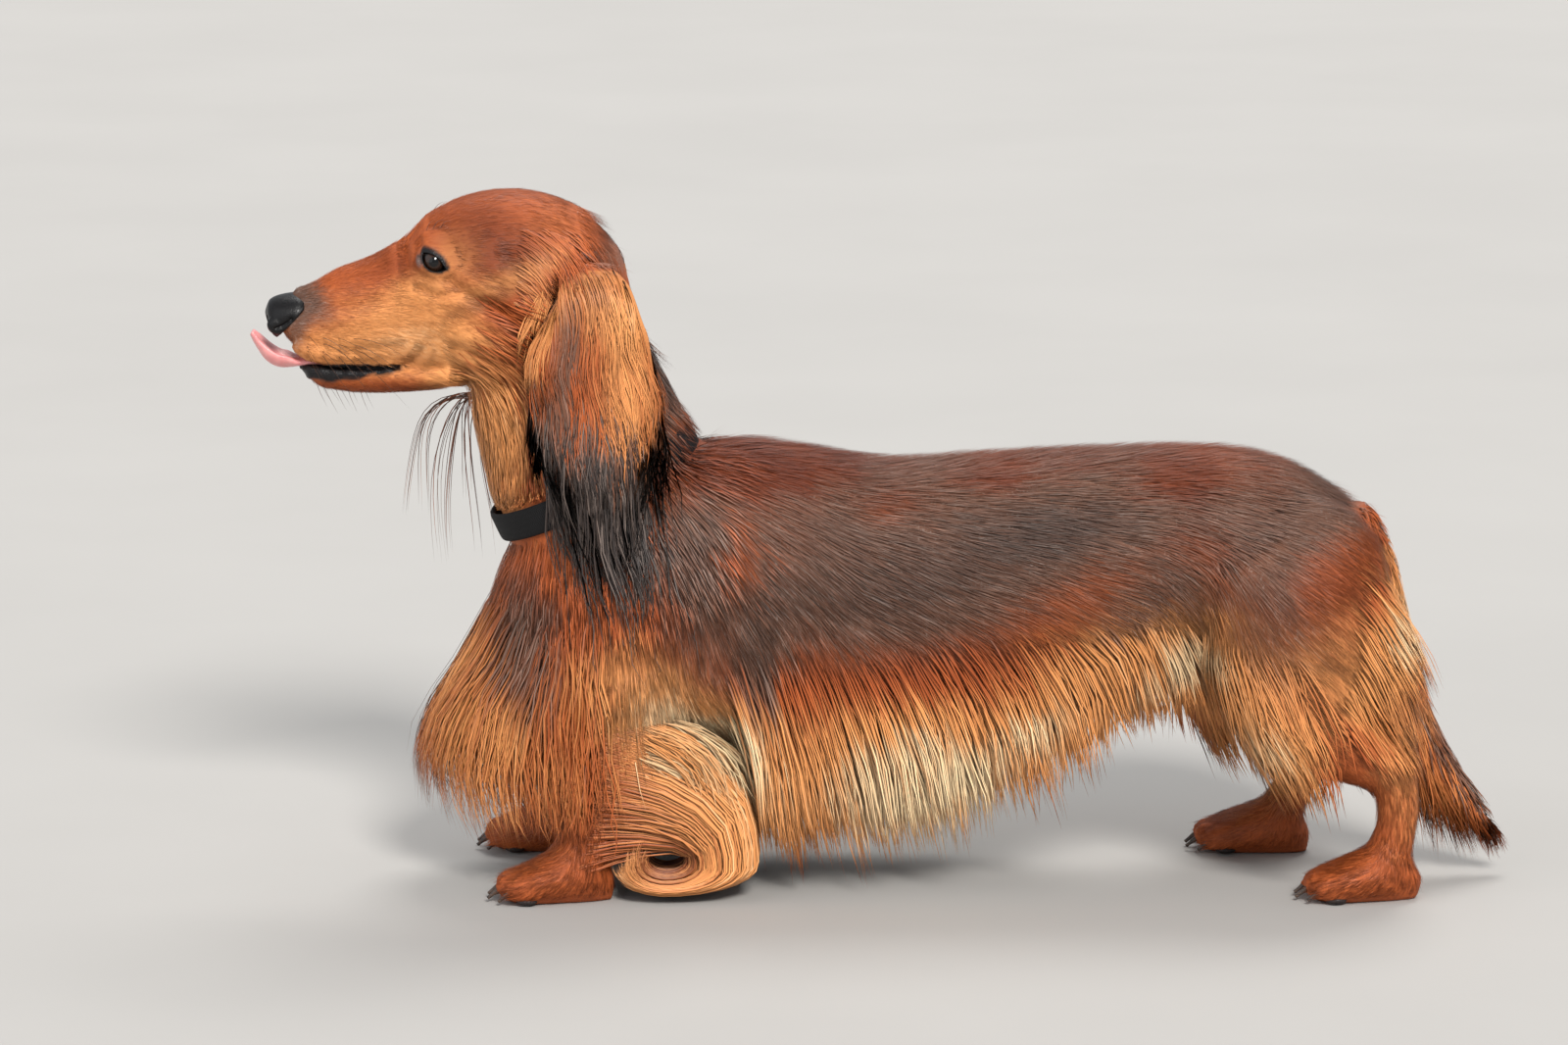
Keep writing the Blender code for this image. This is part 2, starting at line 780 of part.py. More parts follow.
def head_plane(offset=0.0):
    """Centre, half sizes and turn of the box whose base parts the head from the neck."""
    turn = (0.0, -math.radians(38.0), 0.0)
    up = Euler(turn).to_matrix() @ Vector((0.0, 0.0, 1.0))
    base = Vector((-0.180, 0.0, 0.3065)) + up * offset
    return base + up * 0.2, (0.4, 0.2, 0.2), turn


def neck_plane():
    """Centre, half sizes and turn of the box whose base parts the neck from the chest."""
    turn = (0.0, -math.radians(25.0), 0.0)
    up = Euler(turn).to_matrix() @ Vector((0.0, 0.0, 1.0))
    base = Vector((-0.150, 0.0, 0.2075))
    return base + up * 0.2, (0.11, 0.2, 0.2), turn


def part_body(body):
    """Parts the blended body into its named nodes with thin cuts."""
    nodes = {}
    combine(body, block("ground", (0.0, 0.0, FLOOR - 0.05), (1.0, 1.0, 0.05)), "DIFFERENCE")
    combine(body, block("above", *head_plane()), "DIFFERENCE")
    nodes["neck"] = part_off(body, "neck", *neck_plane())
    for name, side in SIDES.items():
        leg = part_off(
            body,
            f"foreleg_{name}",
            (-0.150, side * 0.128, 0.020),
            (0.066, 0.110, 0.070),
            (side * math.radians(28.0), 0.0, 0.0),
        )
        nodes[f"forepaw_{name}"] = part_off(
            leg, f"forepaw_{name}", (-0.16, side * 0.06, 0.0), (0.12, 0.06, 0.022)
        )
        nodes[f"foreleg_{name}"] = leg
    for name, side in SIDES.items():
        leg = part_off(
            body,
            f"hindleg_{name}",
            (0.225, side * 0.1045, -0.060),
            (0.140, 0.100, 0.180),
            (0.0, -math.radians(10.0), 0.0),
        )
        nodes[f"hindpaw_{name}"] = part_off(
            leg, f"hindpaw_{name}", (0.24, side * 0.06, 0.0), (0.12, 0.06, 0.022)
        )
        nodes[f"hindleg_{name}"] = leg
    nodes["chest"] = part_off(body, "chest", (-0.275, 0.0, 0.15), (0.2, 0.2, 0.25))
    nodes["rump"] = part_off(body, "rump", (0.350, 0.0, 0.15), (0.2, 0.2, 0.25))
    body.name = "barrel"
    nodes["barrel"] = body
    for name, side in SIDES.items():
        fore, hind = foreleg_stations(name)[-1], hindleg_stations(name)[-1]
        unite(nodes[f"forepaw_{name}"], claws(fore[0], fore[1], side))
        unite(nodes[f"hindpaw_{name}"], claws(hind[0], hind[1], side))
    return nodes


def eye_spot(side, reach=0.0):
    """The centre of an eyeball, or a point in front of it along its gaze."""
    gaze = Vector((-0.55, side * 0.82, 0.10)).normalized()
    x, y, z = EYE_CENTRE
    return Vector((x, side * y, z)) + gaze * reach


def lid_opening(side):
    """The almond-shaped room between the lids of one eye."""
    gaze = (eye_spot(side, 1.0) - eye_spot(side)).normalized()
    forward = Vector((-0.83, -side * 0.52, -0.19))
    forward = (forward - gaze * forward.dot(gaze)).normalized()
    upward = gaze.cross(forward)
    turn = Matrix((forward, upward, gaze)).transposed().to_euler()
    return ball("opening", eye_spot(side, 0.012), (*LID_OPENING, 0.010), turn, segments=16)


def build_head():
    """The head with its lids, eye sockets and mouth line, its lower jaw, and its eyeballs."""
    nodes = {}
    head = blended("head", head_pieces(), voxel=0.0015, smoothing=5, triangles=1900)
    combine(head, block("above", *head_plane(GAP)), "INTERSECT")
    # The mouth line runs from the lips' front to the corner and turns down behind it.
    front, corner = Vector((*MOUTH_FRONT, 0.0)), Vector((*MOUTH_CORNER, 0.0))
    slope = math.atan2(front.y - corner.y, corner.x - front.x)
    middle = (front + corner) / 2
    half_length = (front - corner).length / 2 + 0.006
    cut = block(
        "mouth", (middle.x - 0.006, 0.0, middle.y), (half_length, 0.06, MOUTH_GAP / 2), (0.0, slope, 0.0)
    )
    jaw_room = block("jaw room", (-0.3070, 0.0, 0.2490), (0.0500, 0.06, 0.0345), (0.0, slope, 0.0))
    jaw = copy_of(head, "lower_jaw")
    combine(jaw, block("jaw inside", (-0.3070, 0.0, 0.2490), (0.0497, 0.06, 0.0342), (0.0, slope, 0.0)), "INTERSECT")
    combine(head, jaw_room, "DIFFERENCE")
    drop(cut)
    nodes["head"], nodes["lower_jaw"] = head, jaw
    for name, side in SIDES.items():
        centre = eye_spot(side)
        combine(head, lid_opening(side), "DIFFERENCE")
        combine(head, ball("socket", centre, [EYE_RADIUS + GAP] * 3, segments=14), "DIFFERENCE")
        nodes[f"eye_{name}"] = ball(f"eye_{name}", centre, [EYE_RADIUS] * 3, segments=14)
    return nodes


def build_nose(head):
    """The nose leather with its nostrils, cut to sit against the muzzle."""
    stations = (
        (-0.3332, 0.0, 0.3045, 0.0045, 0.0045, 0.0040),
        (-0.3312, 0.0, 0.3050, 0.0095, 0.0090, 0.0085),
        (-0.3270, 0.0, 0.3060, 0.0122, 0.0128, 0.0112),
        (-0.3220, 0.0, 0.3060, 0.0128, 0.0155, 0.0120),
        (-0.3160, 0.0, 0.3060, 0.0110, 0.0145, 0.0110),
    )
    nose = loft("nose", stations, rings=8, sides=14, power=2.3, upright=True)
    for side in SIDES.values():
        combine(
            nose,
            ball(
                "nostril",
                (-0.3322, side * 0.0060, 0.3045),
                (0.0075, 0.0026, 0.0036),
                (0.0, 0.0, side * math.radians(-28.0)),
                segments=8,
            ),
            "DIFFERENCE",
        )
    return keep_clear(nose, head)


def build_tongue(head, jaw):
    """The tongue, which leaves the front of the mouth and curls up before the nose."""
    stations = (
        (-0.2980, 0.0, 0.2850, 0.0080, 0.0016, 0.0016),
        (-0.3110, 0.0, 0.2845, 0.0085, 0.0016, 0.0016),
        (-0.3215, 0.0, 0.2838, 0.0095, 0.0017, 0.0017),
        (-0.3300, 0.0, 0.2880, 0.0095, 0.0018, 0.0018),
        (-0.3350, 0.0, 0.2955, 0.0080, 0.0017, 0.0017),
        (-0.3385, 0.0, 0.3015, 0.0045, 0.0012, 0.0012),
    )
    tongue = loft("tongue", stations, rings=10, sides=8, power=2.2)
    room = grown(tongue, GAP)
    combine(head, copy_of(room, "room"), "DIFFERENCE")
    combine(jaw, room, "DIFFERENCE")
    return tongue


def ear_frame(name, share):
    """Centre, down, forward and outward directions of an ear at a share of its length."""
    side, swing = SIDES[name], EAR_SWING[name]
    rows = resampled([(x + swing * (0.345 - z) / 0.12, side * y, z) for x, y, z in EAR_AXIS], 41)
    at = share * 40
    index = min(int(at), 39)
    centre = Vector(rows[index] + (rows[index + 1] - rows[index]) * (at - index))
    down = Vector(rows[index + 1] - rows[index]).normalized()
    forward = (Vector((-1.0, 0.0, 0.0)) - down * -down.x).normalized()
    outward = forward.cross(down) * side
    if outward.y * side < 0:
        outward = -outward
    return centre, down, forward, outward.normalized()


def ear_leather(name):
    """The leaf of one ear, cupped on its inner side."""
    sides = 12
    rings = []
    shares = [0.0, 0.08, 0.18, 0.3, 0.42, 0.54, 0.66, 0.78, 0.88, 0.95, 1.0]
    widths = np.interp(shares, [s for s, _ in EAR_LEAF], [w for _, w in EAR_LEAF])
    for share, half in zip(shares, widths):
        centre, _, forward, outward = ear_frame(name, share)
        ring = []
        for index in range(sides):
            angle = index * 2 * math.pi / sides
            across = math.cos(angle)
            bend = -EAR_CUP * across * across * half / 0.034
            thick = 0.5 * EAR_THICKNESS * math.sin(angle)
            ring.append(centre + forward * across * half + outward * (bend + thick))
        rings.append(np.array(ring))
    ends = [rings[0].mean(axis=0), rings[-1].mean(axis=0)]
    return add_object(f"ear_{name}", mesh_from_rings("ear", rings, ends))


def build_ear(name, head, core_tree, as_locks):
    """One ear: its leather, and its fringe of long locks."""
    side = SIDES[name]
    ear = ear_leather(name)
    root = ball(
        "ear root",
        (-0.1615 + EAR_SWING[name] * 0.04, side * 0.0470, 0.3385),
        (0.0210, 0.0065, 0.0070),
        (0.0, math.radians(-16.0), 0.0),
        segments=14,
    )
    unite(ear, [root])
    keep_clear(ear, head)
    coat = Coat(ear, core_tree, as_locks, seed=31 + side)
    paths = []
    fan = EAR_SWING[name]
    # Locks leave the leather's rim from its front edge round its lower end to its rear edge.
    for layer, (count, lift, low_share) in enumerate(((8, 0.0, 0.62), (7, 0.0035, 0.40))):
        layer_paths = []
        for index in range(count):
            across = -0.92 + 1.84 * index / (count - 1)
            share = low_share + (0.97 - low_share) * (1.0 - across**2) ** 0.6
            centre, down, forward, outward = ear_frame(name, share)
            half = float(np.interp(share, [s for s, _ in EAR_LEAF], [w for _, w in EAR_LEAF]))
            bend = -EAR_CUP * across * across * half / 0.034
            origin = centre + forward * across * half * 0.93 + outward * (bend * 0.86 + lift * 0.4)
            reach = (0.088 + 0.030 * (1.0 - across**2)) if layer == 0 else 0.085
            start = (down + forward * across * 0.35 + outward * 0.08).normalized()
            end = (Vector((0.0, 0.0, -1.0)) + forward * (across * 0.06 - fan * 4.0)).normalized()
            clearance = LOCK_CLEARANCE + lift
            layer_paths.append(
                trail(core_tree, origin, outward, start, end, coat.vary(reach, 0.08), 5, 1.0, clearance)
            )
        paths.append(layer_paths)
    if fan:
        layer_paths = []
        for share in spread(0.44, 0.84, 4):
            centre, down, forward, outward = ear_frame(name, share)
            half = float(np.interp(share, [s for s, _ in EAR_LEAF], [w for _, w in EAR_LEAF]))
            origin = centre + forward * half * 0.80 - outward * 0.004
            start = forward * 1.0 + down * 0.35
            end = DOWN * 1.0 + forward * 0.10
            layer_paths.append(
                trail(core_tree, origin, outward, start, end, coat.vary(0.088, 0.10), 5, 0.8)
            )
        paths.append(layer_paths)
    for layer_paths in paths:
        if as_locks:
            coat.pieces += [
                lock(path, coat.vary(0.0190, 0.12), coat.vary(0.0040, 0.1)) for path in layer_paths
            ]
        else:
            coat.pieces.append(curtain(layer_paths, 0.004))
    return coat.fuse()


def build_collar(neck):
    """A plain rolled collar round the base of the neck."""
    count, around = 28, 6
    turn = Euler((0.0, -math.radians(25.0), 0.0)).to_matrix()
    up = turn @ Vector((0.0, 0.0, 1.0))
    forward = turn @ Vector((-1.0, 0.0, 0.0))
    middle = Vector((-0.1545, 0.0, 0.2180))
    tree = surface_tree([neck])
    rings = []
    for index in range(count):
        angle = index * 2 * math.pi / count
        outward = forward * math.cos(angle) + Vector((0.0, 1.0, 0.0)) * math.sin(angle)
        hit, _, _, _ = tree.ray_cast(middle, outward)
        centre = hit + outward * 0.0042
        rings.append(
            np.array(
                [
                    centre
                    + outward * 0.0034 * math.cos(k * 2 * math.pi / around)
                    + up * 0.0080 * math.sin(k * 2 * math.pi / around)
                    for k in range(around)
                ]
            )
        )
    shell = bmesh.new()
    verts = [[shell.verts.new(p) for p in ring] for ring in rings]
    for index in range(count):
        here, there = verts[index], verts[(index + 1) % count]
        for k in range(around):
            j = (k + 1) % around
            shell.faces.new((here[k], here[j], there[j], there[k]))
    bmesh.ops.recalc_face_normals(shell, faces=shell.faces)
    mesh = bpy.data.meshes.new("collar")
    shell.to_mesh(mesh)
    shell.free()
    collar = add_object("collar", mesh)
    return keep_clear(collar, neck)


def build_tail(rump, legs, core_tree, as_locks):
    """The tail with its plume of locks along both sides of its underside."""
    stations = [(x, 0.0, z, half, above, below) for x, z, half, above, below in TAIL]
    tail = loft("tail", stations, rings=13, sides=9)
    keep_clear(tail, rump, *legs)
    rows = resampled(stations, 60)
    coat = Coat(tail, core_tree, as_locks, seed=5)
    for side in SIDES.values():
        for count, low, high, spread_out, reach in (
            (7, 0.24, 0.93, 0.30, 0.042),
            (5, 0.40, 0.88, 0.75, 0.034),
        ):
            rays, headings, lengths = [], [], []
            for share in spread(low, high, count):
                row = rows[int(share * 59)]
                centre = Vector(row[:3])
                ahead = Vector(rows[min(int(share * 59) + 1, 59)][:3] - rows[int(share * 59) - 1][:3])
                ahead.normalize()
                below = Vector((-ahead.z, 0.0, ahead.x)) * -1.0
                below = below if below.x < 0 or below.z < 0 else -below
                ray = below + Vector((0.0, side * (0.6 + spread_out), 0.0))
                rays.append((centre, ray))
                headings.append((ahead * 0.9 + below * 0.4 + Vector((0, side * spread_out * 0.4, 0)), ahead * 0.55 + DOWN * 0.6))
                lengths.append(min(reach + 0.012 * share, (centre.z + 0.010) * 0.95))
            coat.row(rays, headings, lengths, 0.0150, 0.0034, steps=3)
    return coat.fuse()


def coat_chest(chest, core_tree, as_locks):
    """The apron of long locks that hangs from the fore-chest and between the forelegs."""
    coat = Coat(chest, core_tree, as_locks, seed=11)
    for height, count, fan, reach, lean in (
        (0.176, 6, 52.0, 0.078, 0.40),
        (0.150, 7, 66.0, 0.084, 0.62),
        (0.124, 8, 74.0, 0.074, 0.72),
        (0.100, 7, 66.0, 0.054, 0.60),
    ):
        rays, headings, reaches = [], [], []
        for angle in spread(-fan, fan, count):
            turn = math.radians(angle)
            outward = Vector((-math.cos(turn), math.sin(turn), 0.0))
            forward = 0.35 + 0.65 * math.cos(turn)
            rays.append(((-0.150, 0.0, height), outward))
            headings.append((outward * lean * forward + DOWN * 0.8, DOWN + outward * 0.10))
            reaches.append(reach * (0.80 + 0.20 * forward))
        coat.row(rays, headings, reaches, 0.028, 0.0050, steps=4)
    for side in SIDES.values():
        rays = [((x, 0.0, 0.130), (0.0, side, -0.75)) for x in (-0.104, -0.087)]
        headings = [((0.5, side * 0.1, -0.8), (0.35, 0.0, -1.0))] * 2
        coat.row(rays, headings, 0.076, 0.026, 0.0050, steps=4)
    return coat.fuse()


def coat_barrel(barrel, core_tree, as_locks):
    """The long feathering along the lower ribs and the belly."""
    coat = Coat(barrel, core_tree, as_locks, seed=17)
    places = [row[0] for row in TORSO]
    mids = [row[3] for row in TORSO]
    for side in SIDES.values():
        for below, first, last, count, front, rear in (
            (10.0, -0.062, 0.112, 8, 0.082, 0.040),
            (40.0, -0.052, 0.122, 8, 0.078, 0.024),
            (68.0, -0.060, 0.118, 7, 0.056, 0.018),
        ):
            turn = math.radians(below)
            outward = Vector((0.0, side * math.cos(turn), -math.sin(turn)))
            rays, headings, reaches = [], [], []
            for x in spread(first, last, count):
                share = max(0.0, x) / last
                rays.append(((x, 0.0, float(np.interp(x, places, mids))), outward))
                headings.append((Vector((0.40, side * 0.10, -0.9)), Vector((0.10, -side * 0.05, -1.0))))
                reaches.append(front + (rear - front) * share**0.75)
            coat.row(rays, headings, reaches, 0.031, 0.0055, steps=4)
    return coat.fuse()


def coat_neck(neck, core_tree, as_locks):
    """The ruff down the nape and the throat's short fringe."""
    coat = Coat(neck, core_tree, as_locks, seed=23)
    for level, count, fan, reach in ((0.262, 5, 46.0, 0.038),):
        rays, headings = [], []
        for angle in spread(-fan, fan, count):
            turn = math.radians(angle)
            outward = Vector((math.cos(turn), math.sin(turn), 0.35))
            rays.append(((-0.160, 0.0, level), outward))
            headings.append((Vector((0.45, math.sin(turn) * 0.3, -0.9)), Vector((0.6, math.sin(turn) * 0.4, -0.8))))
        coat.row(rays, headings, reach, 0.024, 0.0045, steps=3)
    return coat.fuse()


def coat_foreleg(leg, name, core_tree, as_locks):
    """The long feathering behind one foreleg, which sweeps back and curls in at the floor."""
    side = SIDES[name]
    shift = FORE_SHIFT[name]
    coat = Coat(leg, core_tree, as_locks, seed=41 + side)
    for out, count, reach, turn in ((0.20, 6, 0.185, -140.0), (0.70, 5, 0.135, -160.0)):
        paths = []
        for index, level in enumerate(spread(0.098, 0.034, count)):
            share = index / (count - 1)
            direction = Vector((1.0, side * out, 0.0)).normalized()
            origin = Vector((-0.140 + shift * 0.5 - 0.012 * share, side * 0.056, level))
            hit, _, _, _ = coat.skin.ray_cast(origin, direction)
            if hit is None:
                continue
            length = coat.vary(reach, 0.05) * (1.0 - 0.68 * share) * SWIRL_SIZE[name]
            bend = (math.radians(-8.0 - 30.0 * share), math.radians(turn + 45.0 * share))
            paths.append(swirl(core_tree, hit, direction, length, bend, side))
        if as_locks:
            coat.pieces += [lock(path, coat.vary(0.0180, 0.12), coat.vary(0.0042, 0.1)) for path in paths]
        else:
            coat.pieces.append(curtain(paths, 0.0045))
    return coat.fuse()


def swirl(tree, root, outward, length, bend, side):
    """A lock that heads rearwards, turns down and curls forwards to the floor."""
    points = [root - outward * LOCK_SINK, root]
    normals = [Vector((0.0, side, 0.0))] * 2
    steps = 6
    step = length / steps
    begin, sweep = bend
    for index in range(steps):
        angle = begin + sweep * ((index + 0.5) / steps) ** 1.4
        drift = outward.y * 0.5 * (1.0 - index / steps)
        way = Vector((math.cos(angle), drift, math.sin(angle)))
        point = points[-1] + way.normalized() * step
        near, face_normal, _, _ = tree.find_nearest(point)
        if (point - near).dot(face_normal) < LOCK_CLEARANCE:
            point = near + face_normal * LOCK_CLEARANCE
        point.z = max(point.z, FLOOR + 0.0065)
        points.append(point)
        normals.append(Vector((0.0, side, 0.12)).normalized())
    return points, normals


def coat_hindleg(leg, name, core_tree, as_locks):
    """The breeches: locks down the back of one thigh and the edge of its lower thigh."""
    side = SIDES[name]
    coat = Coat(leg, core_tree, as_locks, seed=53 + side)
    stride = STRIDE[name]
    for out, count, reach in ((0.15, 4, 0.044), (0.80, 3, 0.040)):
        rays, headings = [], []
        for level in spread(0.112, 0.082, count):
            shift = stride * max(0.0, 1.0 - level / HIP_HEIGHT) ** 0.8
            rays.append(((0.240 - shift, side * 0.054, level), (1.0, side * out, 0.1)))
            headings.append(((0.45, side * 0.12, -0.9), (0.30, 0.0, -1.0)))
        coat.row(rays, headings, reach, 0.0170, 0.0040, steps=3)
    rays, headings = [], []
    for along in spread(0.0, 1.0, 4):
        level = 0.100 - 0.020 * along
        shift = stride * max(0.0, 1.0 - level / HIP_HEIGHT) ** 0.8
        rays.append(((0.225 + 0.030 * along - shift, side * 0.055, level), (-0.75, 0.0, -1.0)))
        headings.append(((0.35, 0.0, -1.0), (0.20, 0.0, -1.0)))
    coat.row(rays, headings, 0.036, 0.0160, 0.0036, steps=3)
    return coat.fuse()


def clear_crossings(nodes):
    """Trims each node where it would cross one that stands before it in the order of trims."""
    order = sorted(nodes, key=lambda name: TRIM_ORDER.index(name.split("_")[0]))
    boxes = {name: bounds(nodes[name]) for name in order}
    for index, name in enumerate(order):
        for other in order[:index]:
            low = np.maximum(boxes[name][0], boxes[other][0])
            high = np.minimum(boxes[name][1], boxes[other][1])
            if not (low < high + CROSS_CLEARANCE).all():
                continue
            if crosses(nodes[name], nodes[other]):
                trim(nodes[name], nodes[other])


def trim(node, other):
    """Cuts a node clear of another, with a clearance that leaves a clean closed surface."""
    whole = node.data.copy()
    for share in (1.0, 0.9, 1.1, 0.8, 1.2, 0.7):
        combine(node, grown(other, CROSS_CLEARANCE * share), "DIFFERENCE")
        # A grown copy of a lock's junction can fold over itself, so what it missed goes too.
        combine(node, copy_of(other, "itself"), "DIFFERENCE")
        if is_closed(cleaned(node)):
            break
        print(f"{node.name}: tried another clearance from {other.name}")
        node.data = whole.copy()
    bpy.data.meshes.remove(whole)


def centre_over_origin(nodes):
    """Moves the whole model so that the middle of its floor box is the origin."""
    boxes = [bounds(node) for node in nodes.values()]
    low = np.min([box[0] for box in boxes], axis=0)
    high = np.max([box[1] for box in boxes], axis=0)
    move = Matrix.Translation((-(low[0] + high[0]) / 2, -(low[1] + high[1]) / 2, 0.0))
    for node in nodes.values():
        node.data.transform(move)


def bounds(obj):
    """The lowest and highest corner of a mesh."""
    points = np.array([v.co for v in obj.data.vertices])
    return points.min(axis=0), points.max(axis=0)


def crosses(obj, other):
    """Whether an object's surface meets another's once that one is grown by the clearance."""
    near = grown(other, CROSS_CLEARANCE)
    met = bool(surface_tree([obj]).overlap(surface_tree([near])))
    drop(near)
    return met


def finish_of(name):
    """The colour a node is shown in."""
    for part, colour in FINISHES.items():
        if name.startswith(part):
            return colour
    return "red"


def main(as_locks=False):
    """Builds every node."""
    clear_scene()
    nodes = build_head()
    body = blended("body", body_pieces(), voxel=0.0028, smoothing=4, triangles=3100)
    nodes.update(part_body(body))
    legs = [nodes[f"hindleg_{name}"] for name in SIDES]
    flesh = [nodes[n] for n in nodes if not n.startswith(("eye", "lower_jaw"))]
    core_tree = surface_tree([nodes[n] for n in nodes if not n.startswith("eye")])
    nodes["nose"] = build_nose(nodes["head"])
    nodes["tongue"] = build_tongue(nodes["head"], nodes["lower_jaw"])
    nodes["collar"] = build_collar(nodes["neck"])
    nodes["tail"] = build_tail(nodes["rump"], legs, core_tree, as_locks)
    for name in SIDES:
        nodes[f"ear_{name}"] = build_ear(name, nodes["head"], core_tree, as_locks)
    coat_chest(nodes["chest"], core_tree, as_locks)
    coat_barrel(nodes["barrel"], core_tree, as_locks)
    coat_neck(nodes["neck"], core_tree, as_locks)
    for name in SIDES:
        coat_foreleg(nodes[f"foreleg_{name}"], name, core_tree, as_locks)
        coat_hindleg(nodes[f"hindleg_{name}"], name, core_tree, as_locks)
    clear_crossings(nodes)
    centre_over_origin(nodes)
    coats = {name: finish(name, colour, 0.5) for name, colour in COLOURS.items()}
    for name, node in nodes.items():
        cleaned(node)
        if not is_closed(node):
            print(f"{name} isn't a clean closed surface")
        if not node.data.materials:
            node.data.materials.append(coats[finish_of(name)])
        count = sum(len(face.vertices) - 2 for face in node.data.polygons)
        print(f"{name}: {count} triangles")


main(as_locks=True)
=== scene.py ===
"""A long-haired dachshund as a still model of life size: its skin, coat, face and studio.

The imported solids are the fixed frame. One skin takes the place of the flesh nodes and lies inside
them by the depth of the coat. The coat is solid mesh: thin tapered strands that follow the lie of
the hair. All sizes are in metres, measured in the frame in which the solids were designed, and
each finished piece is moved by the small shift that centred those solids over the origin.
"""

import logging
import math
from dataclasses import dataclass, field
from enum import Enum
from typing import Callable, Optional, Sequence
import bmesh
import bpy
import numpy as np
from mathutils import Euler, Matrix, Vector
from mathutils.bvhtree import BVHTree
from mathutils.kdtree import KDTree

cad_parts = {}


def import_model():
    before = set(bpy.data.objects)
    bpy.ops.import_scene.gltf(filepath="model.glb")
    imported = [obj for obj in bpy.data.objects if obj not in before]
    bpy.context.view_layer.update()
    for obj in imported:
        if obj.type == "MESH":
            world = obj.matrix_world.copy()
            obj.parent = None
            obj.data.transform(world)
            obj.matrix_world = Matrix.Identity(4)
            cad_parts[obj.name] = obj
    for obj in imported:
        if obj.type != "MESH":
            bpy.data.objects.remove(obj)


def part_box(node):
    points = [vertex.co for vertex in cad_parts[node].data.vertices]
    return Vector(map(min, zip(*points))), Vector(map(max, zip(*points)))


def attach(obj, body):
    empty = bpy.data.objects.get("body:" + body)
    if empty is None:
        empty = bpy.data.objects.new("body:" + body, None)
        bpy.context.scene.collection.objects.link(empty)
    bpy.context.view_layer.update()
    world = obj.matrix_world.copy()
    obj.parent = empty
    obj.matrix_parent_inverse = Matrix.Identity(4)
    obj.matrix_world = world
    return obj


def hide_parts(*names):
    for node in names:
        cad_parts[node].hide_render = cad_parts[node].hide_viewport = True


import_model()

log = logging.getLogger("dachshund")

Array = np.ndarray
SEED = 20
VIEW_WIDTH_METRES = 0.848
VIEW_ELEVATION = 11.0
VIEW_DISTANCE = 4.0
VIEW_AIM = (-0.0512, 0.0, 0.1944)
SENSOR_WIDTH = 36.0
FLOOR_SIZE = 14.0
FLOOR_DROP = 0.0005
LAMPS_AIM = (0.0, 0.0, 0.15)
SKY_COLOUR = (0.9, 0.93, 0.97, 1.0)
SKY_STRENGTH = 0.55
# A density for places with no hair, and a distance that counts as out of reach
NEXT_TO_NONE = 1e-9
FAR = 9.0
# Where the pieces of the short coat meet: the chest's rear in x, the sides' top in z
CHEST_REAR = -0.15
SIDE_TOP = 0.205
# How many roots a batch tries on the left side, and on the right, which the photo doesn't show
ROOTS = {
    "fringe": (4100, 2900), "ear": (3700, 2200), "swirl": (620, 320), "curl": (1050, 640),
    "hindleg": (12000, 9500), "breeches": (5200, 3200),
}
# The parts of the chart that the legs and the feet fill: corner and size
LEG_CHART = (0.0, 0.0, 1.0, 0.6)
FOOT_CHART = (0.0, 0.62, 1.0, 0.36)
# The ear's upper front edge is drawn back between these shares of its length
EAR_FRONT = (0.05, 0.42)


class Side(Enum):
    """The dog's two sides, by the sign of Y."""

    LEFT = -1
    RIGHT = 1

    @property
    def word(self) -> str:
        """The side's name as the nodes use it."""
        return self.name.lower()


# Torso: x, top z, bottom z, height of the widest line, half width
TORSO = (
    (-0.214, 0.138, 0.122, 0.13, 0.01), (-0.2, 0.18, 0.092, 0.13, 0.04),
    (-0.18, 0.213, 0.078, 0.13, 0.058), (-0.15, 0.235, 0.07, 0.135, 0.071),
    (-0.105, 0.2425, 0.067, 0.138, 0.077), (-0.05, 0.2415, 0.068, 0.14, 0.076),
    (0.0, 0.233, 0.072, 0.142, 0.075), (0.06, 0.236, 0.084, 0.15, 0.071),
    (0.12, 0.2392, 0.103, 0.16, 0.065), (0.165, 0.24, 0.117, 0.17, 0.062),
    (0.205, 0.2365, 0.12, 0.17, 0.065), (0.24, 0.2205, 0.115, 0.165, 0.061),
    (0.262, 0.196, 0.113, 0.155, 0.045), (0.274, 0.168, 0.128, 0.147, 0.02),
)
# Neck, from the shoulders up: x, z of the axis, half width, half depth
NECK = (
    (-0.12, 0.16, 0.064, 0.07), (-0.148, 0.212, 0.056, 0.061), (-0.166, 0.258, 0.047, 0.054),
    (-0.177, 0.298, 0.043, 0.05), (-0.18, 0.33, 0.04, 0.044),
)
# Skull and upper muzzle: x, top z, bottom z, height of the widest line, half width
HEAD = (
    (-0.3215, 0.319, 0.299, 0.308, 0.011), (-0.316, 0.3262, 0.2925, 0.305, 0.015),
    (-0.306, 0.3292, 0.2862, 0.303, 0.018), (-0.29, 0.335, 0.28, 0.303, 0.0205),
    (-0.27, 0.3425, 0.277, 0.304, 0.0235), (-0.256, 0.3515, 0.274, 0.308, 0.027),
    (-0.244, 0.3655, 0.272, 0.317, 0.0325), (-0.23, 0.3742, 0.2715, 0.324, 0.039),
    (-0.21, 0.3793, 0.2715, 0.328, 0.0445), (-0.19, 0.3797, 0.2735, 0.33, 0.0475),
    (-0.168, 0.3738, 0.279, 0.328, 0.0465), (-0.15, 0.364, 0.29, 0.326, 0.04),
    (-0.137, 0.349, 0.302, 0.324, 0.024),
)
